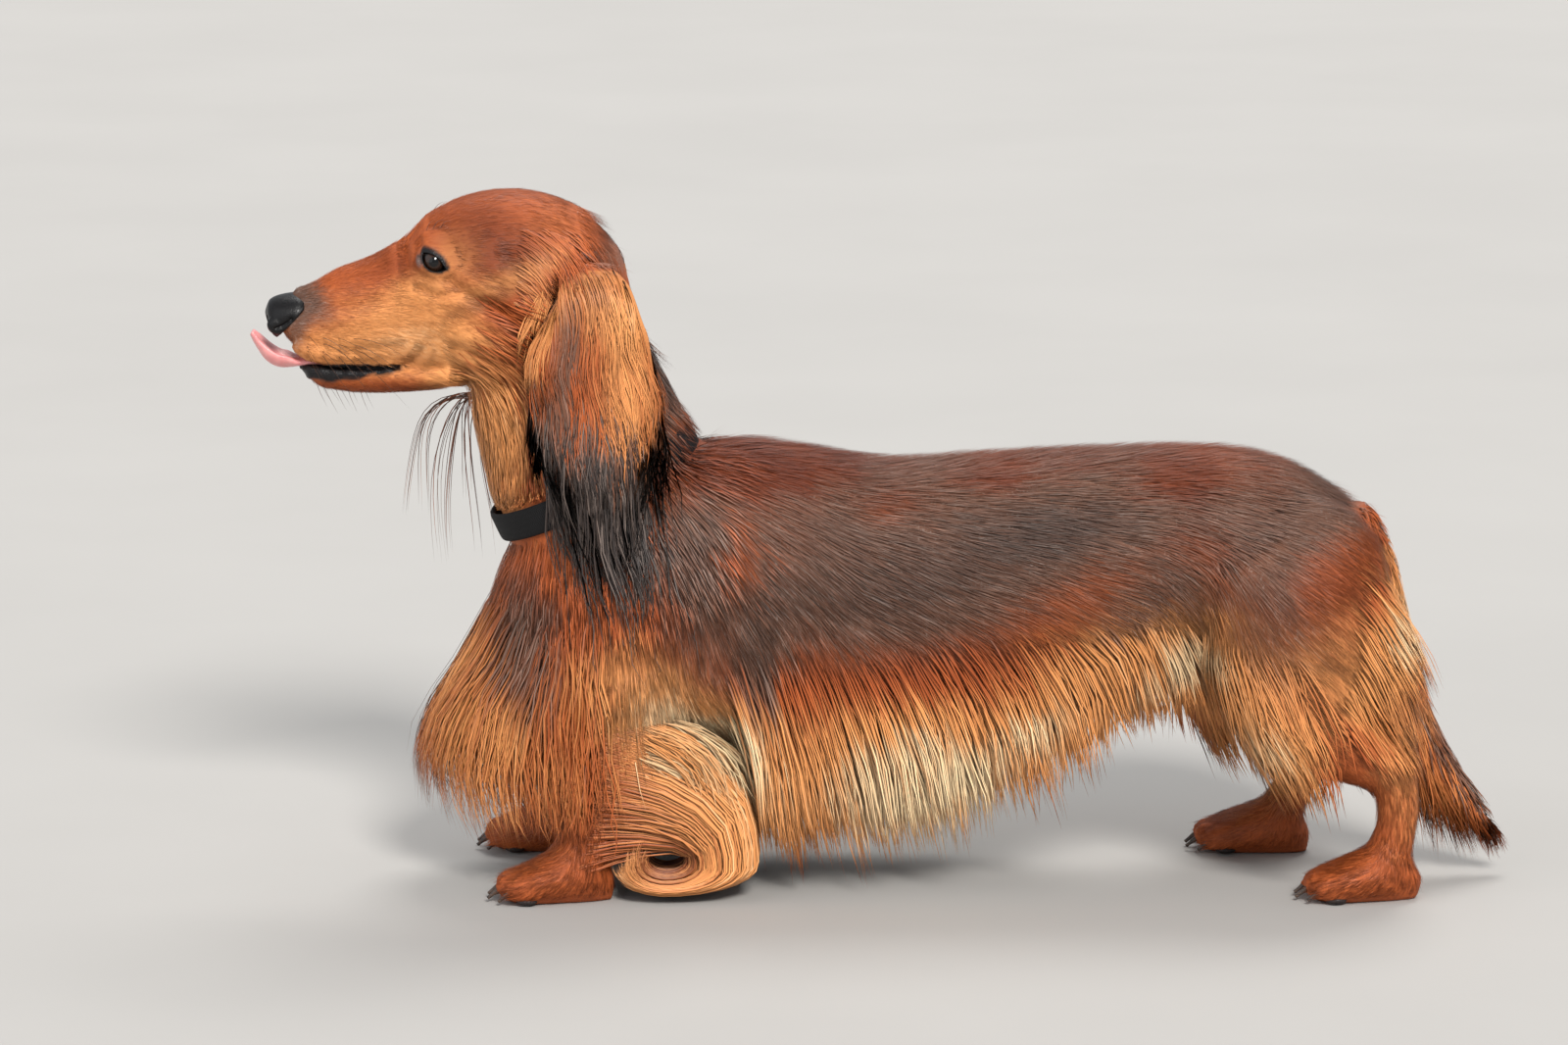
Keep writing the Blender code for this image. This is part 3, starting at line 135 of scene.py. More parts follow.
# Lower jaw, in the same columns
JAW = (
    (-0.3095, 0.2835, 0.277, 0.28, 0.006), (-0.304, 0.2845, 0.2705, 0.278, 0.0115),
    (-0.29, 0.284, 0.2665, 0.277, 0.015), (-0.27, 0.284, 0.2655, 0.277, 0.019),
    (-0.248, 0.285, 0.267, 0.278, 0.025), (-0.23, 0.29, 0.269, 0.28, 0.029),
)
# Foreleg, from the elbow down: x, y, z, half width, half depth behind, half depth in front
FORELEG = (
    (-0.132, 0.048, 0.125, 0.03, 0.034, 0.034), (-0.128, 0.055, 0.098, 0.025, 0.026, 0.028),
    (-0.139, 0.057, 0.075, 0.021, 0.021, 0.024), (-0.15, 0.056, 0.052, 0.018, 0.017, 0.019),
    (-0.157, 0.056, 0.032, 0.0165, 0.016, 0.017), (-0.162, 0.058, 0.016, 0.0175, 0.017, 0.018),
)
# Hindleg, from the hip down, in the same columns
HINDLEG = (
    (0.216, 0.028, 0.204, 0.018, 0.018, 0.026), (0.226, 0.037, 0.186, 0.031, 0.04, 0.048),
    (0.228, 0.048, 0.155, 0.036, 0.047, 0.05), (0.226, 0.053, 0.122, 0.031, 0.045, 0.045),
    (0.233, 0.055, 0.098, 0.025, 0.033, 0.036), (0.255, 0.055, 0.082, 0.019, 0.02, 0.022),
    (0.275, 0.055, 0.0695, 0.0155, 0.014, 0.017), (0.279, 0.055, 0.052, 0.0135, 0.0125, 0.0135),
    (0.2765, 0.055, 0.03, 0.0135, 0.0125, 0.0135), (0.272, 0.055, 0.014, 0.0155, 0.0145, 0.016),
)
# Paw, from the heel's rear forwards: distance ahead of the wrist, z, half width, up, down
PAW = (
    (-0.018, 0.01, 0.009, 0.006, 0.013), (-0.008, 0.013, 0.0165, 0.012, 0.016),
    (0.006, 0.013, 0.0195, 0.014, 0.016), (0.02, 0.011, 0.0205, 0.012, 0.014),
    (0.031, 0.009, 0.0165, 0.008, 0.012), (0.037, 0.008, 0.008, 0.004, 0.011),
)
TOE_SPREAD = (-0.0145, -0.0052, 0.0052, 0.0145)
TOE_REACH = (0.028, 0.034, 0.034, 0.028)
PAW_SPLAY = 0.1
# Tail, from the croup down: x, z, half width, half depth above, half depth below
TAIL = (
    (0.252, 0.2, 0.018, 0.014, 0.018), (0.266, 0.176, 0.015, 0.0115, 0.013),
    (0.2765, 0.14, 0.0115, 0.0095, 0.01), (0.284, 0.108, 0.01, 0.0085, 0.009),
    (0.298, 0.075, 0.008, 0.007, 0.007), (0.315, 0.049, 0.006, 0.0055, 0.0055),
    (0.328, 0.033, 0.004, 0.0035, 0.0035), (0.334, 0.028, 0.0022, 0.002, 0.002),
)
# Ear leather, from its root down: share of its length, half width
EAR_LEAF = (
    (0.0, 0.02), (0.12, 0.026), (0.35, 0.0335), (0.6, 0.0345), (0.82, 0.029), (0.95, 0.018), (1.0, 0.008),
)
EAR_THICKNESS = 0.0034
EAR_CUP = 0.007
EAR_AXIS = (
    (-0.162, 0.044, 0.341), (-0.159, 0.0515, 0.333), (-0.156, 0.0565, 0.305), (-0.1515, 0.059, 0.265),
    (-0.148, 0.065, 0.225),
)
EAR_SWING = {Side.LEFT: 0.0, Side.RIGHT: -0.03}
STRIDE = {Side.LEFT: 0.0, Side.RIGHT: 0.056}
FORE_SHIFT = {Side.LEFT: 0.0, Side.RIGHT: -0.012}
HIP_HEIGHT = 0.19
EYE_CENTRE = (-0.2375, 0.0258, 0.3415)
EYE_RADIUS = 0.0092
LID_THICKNESS = 0.0016
LID_HALF_LENGTH = 0.0082
LID_RISE = 0.0022
LID_DROP = 0.0062
LID_SHIFT = (0.0004, 0.0014, 0.0)
LID_CUT_DEPTH = 0.012
GAZE = (-0.02, 0.99, 0.1)
EYE_SLANT = (-0.76, -0.25, 0.6)
MOUTH_FRONT = (-0.3125, 0.2838)
MOUTH_CORNER = (-0.2585, 0.283)
COLLAR_MIDDLE = (-0.1545, 0.0, 0.218)
COLLAR_TILT = 25.0


def unit(ways: Array) -> Array:
    """Rows of vectors at length one."""
    return ways / np.maximum(np.linalg.norm(ways, axis=-1, keepdims=True), 1e-12)


def columns(*parts: object) -> Array:
    """Rows whose numbers are the parts' numbers, where a single number fills its column."""
    return np.stack(np.broadcast_arrays(*parts), axis=1)


def bell(away: Array, width: float) -> Array:
    """1 where the distance is 0, falling off smoothly over a width."""
    return np.exp(-((away / width) ** 2))


def eased(value: Array, low: float, high: float) -> Array:
    """A smooth step from 0 at low to 1 at high."""
    share = np.clip((value - low) / (high - low), 0.0, 1.0)
    return share * share * (3.0 - 2.0 * share)


def resampled(rows: Sequence[Sequence[float]], count: int) -> Array:
    """Station values at even steps along a smooth curve through the stations.

    Args:
        rows: Stations, whose first three values are a place.
        count: How many rows to return.

    Returns:
        The new rows.
    """
    rows = np.array(rows, float)
    steps = np.linalg.norm(np.diff(rows[:, :3], axis=0), axis=1)
    along = np.concatenate([[0.0], np.cumsum(steps)])
    slopes = np.gradient(rows, along, axis=0)
    at = np.linspace(0.0, along[-1], count)
    index = np.clip(np.searchsorted(along, at, side="right") - 1, 0, len(along) - 2)
    width = (along[index + 1] - along[index])[:, None]
    share = (at[:, None] - along[index][:, None]) / width
    start, end = rows[index], rows[index + 1]
    slope_in, slope_out = slopes[index] * width, slopes[index + 1] * width
    return (
        (2 * share**3 - 3 * share**2 + 1) * start
        + (share**3 - 2 * share**2 + share) * slope_in
        + (-2 * share**3 + 3 * share**2) * end
        + (share**3 - share**2) * slope_out
    )


def add_object(name: str, mesh: bpy.types.Mesh) -> bpy.types.Object:
    """Links a mesh to the scene as a named object at the origin."""
    obj = bpy.data.objects.new(name, mesh)
    bpy.context.scene.collection.objects.link(obj)
    return obj


def drop(obj: bpy.types.Object) -> None:
    """Removes an object and its mesh."""
    mesh = obj.data
    bpy.data.objects.remove(obj)
    bpy.data.meshes.remove(mesh)


def only(obj: bpy.types.Object) -> None:
    """Makes an object the only selected one, and the active one."""
    bpy.ops.object.select_all(action="DESELECT")
    obj.select_set(True)
    bpy.context.view_layer.objects.active = obj


def apply_modifiers(obj: bpy.types.Object) -> bpy.types.Object:
    """Applies every modifier of an object, in order."""
    only(obj)
    for modifier in list(obj.modifiers):
        bpy.ops.object.modifier_apply(modifier=modifier.name)
    return obj


def modify(obj: bpy.types.Object, kind: str, **settings: object) -> bpy.types.Object:
    """Adds a modifier of a kind with its settings."""
    modifier = obj.modifiers.new(kind.lower(), kind)
    for name, value in settings.items():
        setattr(modifier, name, value)
    return obj


def evened(obj: bpy.types.Object, voxel: float, rounds: int) -> bpy.types.Object:
    """Remeshes an object in voxels and smooths it a number of rounds."""
    modify(obj, "REMESH", mode="VOXEL", voxel_size=voxel)
    modify(obj, "SMOOTH", factor=0.5, iterations=rounds)
    return apply_modifiers(obj)


def joined(name: str, pieces: Sequence[bpy.types.Object]) -> bpy.types.Object:
    """Joins objects into the first of them, under a name."""
    only(pieces[0])
    for piece in pieces[1:]:
        piece.select_set(True)
    bpy.ops.object.join()
    pieces[0].name = name
    return pieces[0]


def smooth(obj: bpy.types.Object) -> bpy.types.Object:
    """Shades an object smooth."""
    only(obj)
    bpy.ops.object.shade_smooth()
    return obj


def settle(
    obj: bpy.types.Object, name: str, sizes: Sequence[float] = (1.0, 1.0, 1.0)
) -> bpy.types.Object:
    """Names a new object and applies its place, turn and sizes, with its faces outwards.

    Args:
        obj: The object, which is changed.
        name: The object's name.
        sizes: By how much it is made larger along X, Y and Z.

    Returns:
        The object.
    """
    obj.name, obj.scale = name, sizes
    only(obj)
    bpy.ops.object.transform_apply(location=True, rotation=True, scale=True)
    bpy.ops.object.mode_set(mode="EDIT")
    bpy.ops.mesh.select_all(action="SELECT")
    bpy.ops.mesh.normals_make_consistent(inside=False)
    bpy.ops.object.mode_set(mode="OBJECT")
    return obj


def ball(
    name: str,
    centre: Sequence[float],
    radii: Sequence[float],
    turn: Sequence[float] = (0.0, 0.0, 0.0),
    segments: int = 32,
) -> bpy.types.Object:
    """An ellipsoid, as a start for a piece or as a cutter.

    Args:
        name: The object's name.
        centre: Its middle.
        radii: Its half sizes.
        turn: Its turn in radians about X, Y and Z.
        segments: How many segments go round it.

    Returns:
        The object, with its place in its mesh.
    """
    bpy.ops.object.select_all(action="DESELECT")
    bpy.ops.mesh.primitive_uv_sphere_add(
        segments=segments, ring_count=segments // 2, radius=1.0, location=centre, rotation=turn
    )
    return settle(bpy.context.active_object, name, radii)


def block(
    name: str,
    centre: Sequence[float],
    half_sizes: Sequence[float],
    turn: Sequence[float] = (0.0, 0.0, 0.0),
) -> bpy.types.Object:
    """A box given by its half sizes, used as a cutter.

    Args:
        name: The object's name.
        centre: Its middle.
        half_sizes: Half its length, width and height.
        turn: Its turn in radians about X, Y and Z.

    Returns:
        The object, with its place in its mesh.
    """
    bpy.ops.object.select_all(action="DESELECT")
    bpy.ops.mesh.primitive_cube_add(size=2.0, location=centre, rotation=turn)
    return settle(bpy.context.active_object, name, half_sizes)


def combine(obj: bpy.types.Object, other: bpy.types.Object, operation: str) -> bpy.types.Object:
    """Applies a Boolean of two closed meshes and removes the second one.

    Args:
        obj: The object that is changed.
        other: The object that is joined, cut away or kept inside.
        operation: UNION, DIFFERENCE or INTERSECT.

    Returns:
        The changed object.
    """
    modify(obj, "BOOLEAN", operation=operation, solver="MANIFOLD", object=other)
    apply_modifiers(obj)
    drop(other)
    return obj


def outward(obj: bpy.types.Object) -> bpy.types.Object:
    """Turns the faces of a closed object outwards.

    Args:
        obj: The object, which is changed.

    Returns:
        The object.
    """
    shell = bmesh.new()
    shell.from_mesh(obj.data)
    bmesh.ops.recalc_face_normals(shell, faces=shell.faces)
    if shell.calc_volume(signed=True) < 0:
        bmesh.ops.reverse_faces(shell, faces=shell.faces)
    shell.to_mesh(obj.data)
    shell.free()
    return obj


def ring_mesh(name: str, rings: Array, ends: Sequence[Sequence[float]]) -> bpy.types.Object:
    """A closed surface through rings of points, with a fan to a point at each end.

    Args:
        name: The object's name.
        rings: Points of each ring, in rows.
        ends: The point at the first end and at the last.

    Returns:
        The object, with its faces outwards.
    """
    count, sides = rings.shape[:2]
    points = np.concatenate([rings.reshape(-1, 3), np.array(ends)])
    low = np.arange(count - 1)[:, None] * sides
    side = np.arange(sides)[None, :]
    after = (side + 1) % sides
    walls = np.stack([low + side, low + after, low + sides + after, low + sides + side], -1)
    faces = walls.reshape(-1, 4).tolist()
    first, last, top = count * sides, count * sides + 1, (count - 1) * sides
    for index in range(sides):
        following = (index + 1) % sides
        faces.append((following, index, first))
        faces.append((top + index, top + following, last))
    mesh = bpy.data.meshes.new(name)
    mesh.from_pydata(points.tolist(), [], faces)
    return outward(add_object(name, mesh))


def vectors(source: bpy.types.bpy_prop_collection, name: str) -> Array:
    """The named vectors of a collection, one a row."""
    flat = np.empty(len(source) * 3, np.float32)
    source.foreach_get(name, flat)
    return flat.reshape(-1, 3).astype(float)


def vertex_places(obj: bpy.types.Object) -> Array:
    """The places of an object's vertices, one a row."""
    return vectors(obj.data.vertices, "co")


def vertex_normals(obj: bpy.types.Object) -> Array:
    """The normals at an object's vertices, one a row."""
    return vectors(obj.data.vertex_normals, "vector")


def move_vertices(obj: bpy.types.Object, places: Array) -> None:
    """Puts an object's vertices at new places."""
    obj.data.vertices.foreach_set("co", places.astype(np.float32).ravel())
    obj.data.update()


def store(mesh: bpy.types.Mesh, name: str, values: Array) -> None:
    """Stores a number or a vector for each vertex as a named attribute."""
    if values.ndim == 1:
        layer = mesh.attributes.new(name, "FLOAT", "POINT")
        layer.data.foreach_set("value", values.astype(np.float32))
    else:
        layer = mesh.attributes.new(name, "FLOAT_VECTOR", "POINT")
        layer.data.foreach_set("vector", values.astype(np.float32).ravel())


def bulged(wave: Array, power: float) -> Array:
    """A sine or cosine whose size is raised to a power, with its sign kept."""
    return np.sign(wave) * np.abs(wave) ** power


@dataclass
class Tube:
    """A tube through stations of centre x, y, z, half width, half depth above and below."""

    stations: Sequence[Sequence[float]]
    upright: bool = False
    power: float = 2.2
    rings: int = 120
    sides: int = 64
    least: float = 0.001

    def grid(self, inset: float = 0.0) -> tuple[Array, Array, Array]:
        """The tube's surface points with its centre line.

        Args:
            inset: How far the surface is drawn in.

        Returns:
            Points by ring and side, the centres, and the directions along the tube.
        """
        rows = resampled(self.stations, self.rings)
        centres = rows[:, :3]
        tangents = np.gradient(centres, axis=0)
        if self.upright:
            tangents[:] = (1.0, 0.0, 0.0)
        tangents = unit(tangents)
        across = unit(np.array([0.0, 1.0, 0.0]) - tangents * tangents[:, 1:2])
        upward = np.cross(tangents, across)
        angles = np.arange(self.sides) * 2 * math.pi / self.sides
        wide = bulged(np.cos(angles), 2 / self.power)
        high = bulged(np.sin(angles), 2 / self.power)
        half, above, below = np.maximum(rows[:, 3:6] - inset, self.least).T[:, :, None]
        reach = np.where(high >= 0, above, below)
        points = (
            centres[:, None, :]
            + (wide * half)[:, :, None] * across[:, None, :]
            + (high * reach)[:, :, None] * upward[:, None, :]
        )
        return points, centres, tangents

    def solid(self, name: str, inset: float = 0.0) -> bpy.types.Object:
        """The tube as a closed mesh, drawn in by inset."""
        points, centres, tangents = self.grid(inset)
        caps = [max(self.stations[end][3] - inset, self.least) * 0.3 for end in (0, -1)]
        ends = [centres[0] - tangents[0] * caps[0], centres[-1] + tangents[-1] * caps[1]]
        return ring_mesh(name, points, ends)


def level_stations(rows: Sequence[Sequence[float]]) -> list[tuple[float, ...]]:
    """Tube stations from rows of x, top z, bottom z, height of the widest line, half width."""
    return [(x, 0.0, mid, half, top - mid, mid - low) for x, top, low, mid, half in rows]


def foreleg_stations(side: Side) -> list[tuple[float, ...]]:
    """Tube stations of one foreleg."""
    shift = FORE_SHIFT[side]
    return [
        (x + shift * max(0.0, 1.0 - z / 0.125), side.value * y, z, *rest)
        for x, y, z, *rest in FORELEG
    ]


def hindleg_stations(side: Side) -> list[tuple[float, ...]]:
    """Tube stations of one hindleg, swung forwards about the hip by its stride."""
    stride = STRIDE[side]
    return [
        (x - stride * max(0.0, 1.0 - z / HIP_HEIGHT) ** 0.8, side.value * y, z, *rest)
        for x, y, z, *rest in HINDLEG
    ]


def paw_stations(leg: Sequence[Sequence[float]], side: Side) -> list[tuple[float, ...]]:
    """Tube stations of the paw under a leg."""
    wrist, middle = leg[-1][0], leg[-1][1]
    splay = side.value * PAW_SPLAY
    return [
        (wrist - ahead, middle + splay * ahead, z, half, up, down)
        for ahead, z, half, up, down in reversed(PAW)
    ]


def toe_spots(leg: Sequence[Sequence[float]], side: Side) -> list[tuple[float, float]]:
    """Where the four toes of the paw under a leg are, as x and y."""
    wrist, middle = leg[-1][0], leg[-1][1]
    return [
        (wrist - reach, middle + side.value * PAW_SPLAY * reach + offset)
        for offset, reach in zip(TOE_SPREAD, TOE_REACH)
    ]


def legs_of(side: Side) -> tuple[list[tuple[float, ...]], list[tuple[float, ...]]]:
    """The stations of the foreleg and of the hindleg on one side."""
    return foreleg_stations(side), hindleg_stations(side)


TUBES = {
    "torso": Tube(level_stations(TORSO), upright=True, rings=200, sides=96),
    "neck": Tube([(x, 0.0, z, half, deep, deep) for x, z, half, deep in NECK]),
    "skull": Tube(level_stations(HEAD), upright=True, rings=160, sides=80),
    "jaw": Tube(level_stations(JAW), upright=True, rings=60, sides=48),
    "tail": Tube([(x, 0.0, z, half, above, below) for x, z, half, above, below in TAIL], sides=32),
}


def on_side(side: Side, spot: Sequence[float]) -> Vector:
    """A place or direction of the right side, mirrored where the side is the left one."""
    return Vector((spot[0], side.value * spot[1], spot[2]))


def eye_spot(side: Side, reach: float = 0.0) -> Vector:
    """The centre of an eyeball, or a point in front of it along its gaze."""
    return on_side(side, EYE_CENTRE) + eye_gaze(side) * reach


def eye_gaze(side: Side) -> Vector:
    """The direction in which an eye looks."""
    return on_side(side, GAZE).normalized()


def eye_axes(side: Side) -> Matrix:
    """The eye's forward, upward and gaze directions as the columns of a matrix.

    Args:
        side: Which side of the dog.

    Returns:
        The matrix.
    """
    gaze = eye_gaze(side)
    forward = on_side(side, EYE_SLANT)
    forward = (forward - gaze * forward.dot(gaze)).normalized()
    upward = gaze.cross(forward)
    if upward.z < 0:
        upward = -upward
    return Matrix((forward, upward, gaze)).transposed()


def collar_ways() -> tuple[Array, Array]:
    """The directions up the neck and forwards, square to it, at the collar."""
    tilt = math.radians(COLLAR_TILT)
    across, along = math.sin(tilt), math.cos(tilt)
    return np.array((-across, 0.0, along)), np.array((-along, 0.0, -across))


def above_collar(places: Array) -> Array:
    """How far places lie above the plane through the middle of the collar."""
    return (places - np.array(COLLAR_MIDDLE)) @ collar_ways()[0]


def lid_arcs(side: Side) -> tuple[tuple[Vector, float], tuple[Vector, float]]:
    """The circles of the upper and the lower lid's edge: centre and radius.

    Args:
        side: Which side of the dog.

    Returns:
        The upper lid's circle and the lower one's.
    """
    upward = eye_axes(side) @ Vector((0.0, 1.0, 0.0))
    middle = eye_spot(side, 0.01) + eye_axes(side) @ Vector(LID_SHIFT)
    arcs = []
    for rise, sign in ((LID_RISE, -1.0), (LID_DROP, 1.0)):
        radius = (LID_HALF_LENGTH**2 + rise**2) / (2.0 * rise)
        arcs.append((middle + upward * sign * (radius - rise), radius))
    return tuple(arcs)


def ear_frame(side: Side, share: float) -> tuple[Array, Array, Array, Array]:
    """Where an ear's axis is at a share of its length.

    Args:
        side: Which ear.
        share: The share of the length, from 0 at the root to 1 at the tip.

    Returns:
        The centre, and the directions down, forwards and outwards.
    """
    swing, sign = EAR_SWING[side], side.value
    rows = resampled([(x + swing * (0.345 - z) / 0.12, sign * y, z) for x, y, z in EAR_AXIS], 41)
    index = min(int(share * 40), 39)
    centre = rows[index] + (rows[index + 1] - rows[index]) * (share * 40 - index)
    down = unit(rows[index + 1] - rows[index])
    forward = unit(np.array([-1.0, 0.0, 0.0]) + down * down[0])
    outward = np.cross(forward, down) * sign
    if outward[1] * sign < 0:
        outward = -outward
    return centre, down, forward, unit(outward)


def ear_half_width(share: Array) -> Array:
    """Half the width of the ear leather at a share of its length."""
    return np.interp(share, [row[0] for row in EAR_LEAF], [row[1] for row in EAR_LEAF])


@dataclass
class Skin:
    """The one closed skin of the body, head and ears, with its folds, lids and lips."""

    head_voxel: float = 0.0016
    body_voxel: float = 0.0036
    head_depth: float = 0.0012
    neck_depth: float = 0.004
    torso_depth: float = 0.005
    leg_depth: float = 0.0018
    paw_depth: float = 0.0008
    # Folds of the face: points of x and z on the side of the head, depth, width
    folds: tuple = (
        ((MOUTH_FRONT, (-0.29, 0.2815), (-0.272, 0.2815), MOUTH_CORNER), 0.0026, 0.0013),
        ((MOUTH_CORNER, (-0.2515, 0.2865), (-0.246, 0.2945)), 0.0014, 0.0024),
        (((-0.2292, 0.3315), (-0.216, 0.3235), (-0.2017, 0.317), (-0.193, 0.309)), 0.0026, 0.0034),
        (((-0.2505, 0.36), (-0.2555, 0.35), (-0.2535, 0.338)), 0.0018, 0.003),
        (((-0.247, 0.3275), (-0.237, 0.3245), (-0.227, 0.3262)), 0.0013, 0.002),
        (((-0.302, 0.316), (-0.283, 0.315), (-0.268, 0.319)), 0.0009, 0.0036),
        (((-0.306, 0.295), (-0.29, 0.291), (-0.27, 0.293), (-0.256, 0.296)), 0.0008, 0.0026),
        (((-0.227, 0.296), (-0.215, 0.292), (-0.205, 0.286)), 0.0016, 0.004),
        (((-0.2, 0.348), (-0.188, 0.339), (-0.185, 0.32)), 0.0016, 0.0045),
    )

    def build(self) -> bpy.types.Object:
        """Builds the skin.

        Returns:
            The skin as one closed mesh.
        """
        head = self.head_part()
        body = self.body_part()
        combine(body, head, "UNION")
        body.name = "skin"
        for side in Side:
            combine(body, self.ear_leather(side), "UNION")
        for side in Side:
            self.open_lids(body, side)
        return smooth(body)

    def head_part(self) -> bpy.types.Object:
        """The head with the upper neck, down to the collar.

        Returns:
            The head as one closed mesh.
        """
        inset = self.head_depth
        pieces = [
            TUBES["skull"].solid("skull", inset),
            TUBES["jaw"].solid("jaw", inset),
            TUBES["neck"].solid("neck", self.neck_depth),
        ]
        for side in Side:
            sign = side.value
            for name, (x, y, z), radii in (
                ("cheek", (-0.198, 0.0265, 0.308), (0.04, 0.0195, 0.03)),
                ("brow", (-0.233, 0.0215, 0.354), (0.015, 0.01, 0.0085)),
                ("flews", (-0.29, 0.012, 0.2925), (0.027, 0.008, 0.01)),
            ):
                pieces.append(ball(name, (x, sign * y, z), [r - inset for r in radii]))
            orbit = EYE_RADIUS + LID_THICKNESS
            pieces.append(ball("orbit", eye_spot(side), [orbit] * 3))
        head = evened(joined("head_part", pieces), self.head_voxel, 4)
        self.fold(head)
        combine(head, self.collar_box("above", -0.0006), "INTERSECT")
        return head

    def collar_box(self, name: str, offset: float) -> bpy.types.Object:
        """A box whose base is the plane through the collar, moved up by offset."""
        turn = (0.0, -math.radians(COLLAR_TILT), 0.0)
        up = Euler(turn).to_matrix() @ Vector((0.0, 0.0, 1.0))
        base = Vector(COLLAR_MIDDLE) + up * offset
        return block(name, base + up * 0.15, (0.25, 0.15, 0.15), turn)

    def body_part(self) -> bpy.types.Object:
        """The torso, lower neck, legs, paws and tail.

        Returns:
            The body as one closed mesh.
        """
        pieces = [
            TUBES["torso"].solid("torso", self.torso_depth),
            TUBES["neck"].solid("neck", self.neck_depth + 0.0001),
            TUBES["tail"].solid("tail", 0.0016),
        ]
        for side in Side:
            for stations in legs_of(side):
                pieces.append(Tube(stations, rings=60, sides=32).solid("leg", self.leg_depth))
                paw = Tube(paw_stations(stations, side), upright=True, rings=30, sides=32)
                pieces.append(paw.solid("paw", self.paw_depth))
                pieces.extend(self.toes(stations, side))
        body = evened(joined("body_part", pieces), self.body_voxel, 3)
        combine(body, block("ground", (0.0, 0.0, -0.05), (1.0, 1.0, 0.05)), "DIFFERENCE")
        combine(body, self.collar_box("above", 0.0), "DIFFERENCE")
        return body

    def toes(self, leg: Sequence[Sequence[float]], side: Side) -> list[bpy.types.Object]:
        """The four toes of the paw under a leg."""
        radii = [size - self.paw_depth for size in (0.0125, 0.0062, 0.0088)]
        return [ball("toe", (*spot, 0.0085), radii, segments=20) for spot in toe_spots(leg, side)]

    def fold(self, head: bpy.types.Object) -> None:
        """Presses the folds of the face into the head, on both sides.

        Args:
            head: The head, which is changed.
        """
        places, normals = vertex_places(head), vertex_normals(head)
        depth = np.zeros(len(places))
        sideways = np.abs(normals[:, 1]) > 0.12
        for points, deep, wide in self.folds:
            away = line_distance(places[:, [0, 2]], np.array(points))
            depth += deep * bell(away, wide) * sideways
            depth -= 0.35 * deep * bell(away - 2.1 * wide, wide) * sideways
        depth -= 0.0013 * lip_band(places) * (1.0 + 0.3 * np.sin(places[:, 0] * 900.0))
        # The groove from the nose to the upper lip, and the furrow along the top of the skull
        lip = bell(places[:, 1], 0.001) * (places[:, 0] < -0.3135)
        depth += 0.001 * lip * (places[:, 2] < 0.304)
        crown = bell(places[:, 1], 0.006) * (places[:, 2] > 0.35)
        depth += 0.0008 * crown * eased(-places[:, 0], 0.205, 0.225)
        # The lids: a raised rim round each opening and a crease above it
        for side in Side:
            reach = eye_reach(places, side)
            above = eased(places[:, 2] - EYE_CENTRE[2], -0.004, 0.003)
            depth -= 0.0007 * bell(reach - 1.12, 0.16) * above
            depth += 0.0012 * bell(reach - 1.62, 0.16) * above
            depth += 0.0006 * bell(reach - 1.55, 0.18) * (1.0 - above)
        # The muzzle is lowest where it meets the nose
        front = eased(-places[:, 0], 0.288, 0.312) * eased(places[:, 2], 0.304, 0.318)
        depth += 0.0036 * front
        # The photographed skull is flatter on top, so more coat lies between it and the solids
        dome = eased(places[:, 2], 0.335, 0.368) * eased(places[:, 0], -0.266, -0.232)
        depth += 0.003 * dome + 0.0035 * eased(places[:, 0], -0.165, -0.14) * (places[:, 2] > 0.3)
        move_vertices(head, places - normals * depth[:, None])

    def ear_leather(self, side: Side) -> bpy.types.Object:
        """The leaf of one ear, cupped on its inner side.

        Args:
            side: Which side of the dog.

        Returns:
            The leaf as a closed mesh.
        """
        rings = []
        shares = np.concatenate([np.linspace(0.0, 0.86, 34), np.linspace(0.88, 1.0, 8)])
        angles = np.arange(40) * 2 * math.pi / 40
        for share in shares:
            centre, _, forward, outward = ear_frame(side, share)
            half = float(ear_half_width(share)) - 0.001
            across = np.cos(angles)
            # Its upper front edge is drawn back, as the hair in front of it is only a light tuft
            across = np.where(across > 0, across * (0.4 + 0.6 * float(eased(share, *EAR_FRONT))), across)
            ripple = 0.0009 * math.sin(share * 17.0) * across
            bend = -EAR_CUP * across**2 * half / 0.034 + ripple
            thick = 0.5 * EAR_THICKNESS * np.sin(angles)
            rings.append(centre + np.outer(across * half, forward) + np.outer(bend + thick, outward))
        rings = np.array(rings)
        return ring_mesh("ear", rings, [rings[0].mean(axis=0), rings[-1].mean(axis=0)])

    def open_lids(self, skin: bpy.types.Object, side: Side) -> None:
        """Cuts the almond between the lids of one eye, and the room for the eyeball.

        Args:
            skin: The skin, which is changed.
            side: Which side of the dog.
        """
        turn = eye_axes(side).to_euler()
        upper, lower = lid_arcs(side)
        opening = ball("upper", upper[0], (upper[1], upper[1], LID_CUT_DEPTH), turn, 64)
        below = ball("lower", lower[0], (lower[1], lower[1], LID_CUT_DEPTH), turn, 64)
        combine(opening, below, "INTERSECT")
        combine(skin, opening, "DIFFERENCE")
        socket = ball("socket", eye_spot(side), [EYE_RADIUS + 0.00015] * 3, segments=64)
        combine(skin, socket, "DIFFERENCE")


def line_distance(places: Array, points: Array) -> Array:
    """The distance of flat places from a line through points.

    Args:
        places: Places as rows of two numbers.
        points: The corners of the line.

    Returns:
        One distance for each place.
    """
    nearest = np.full(len(places), np.inf)
    for start, end in zip(points[:-1], points[1:]):
        way = end - start
        share = np.clip((places - start) @ way / (way @ way), 0.0, 1.0)
        nearest = np.minimum(nearest, np.linalg.norm(places - start - share[:, None] * way, axis=1))
    return nearest


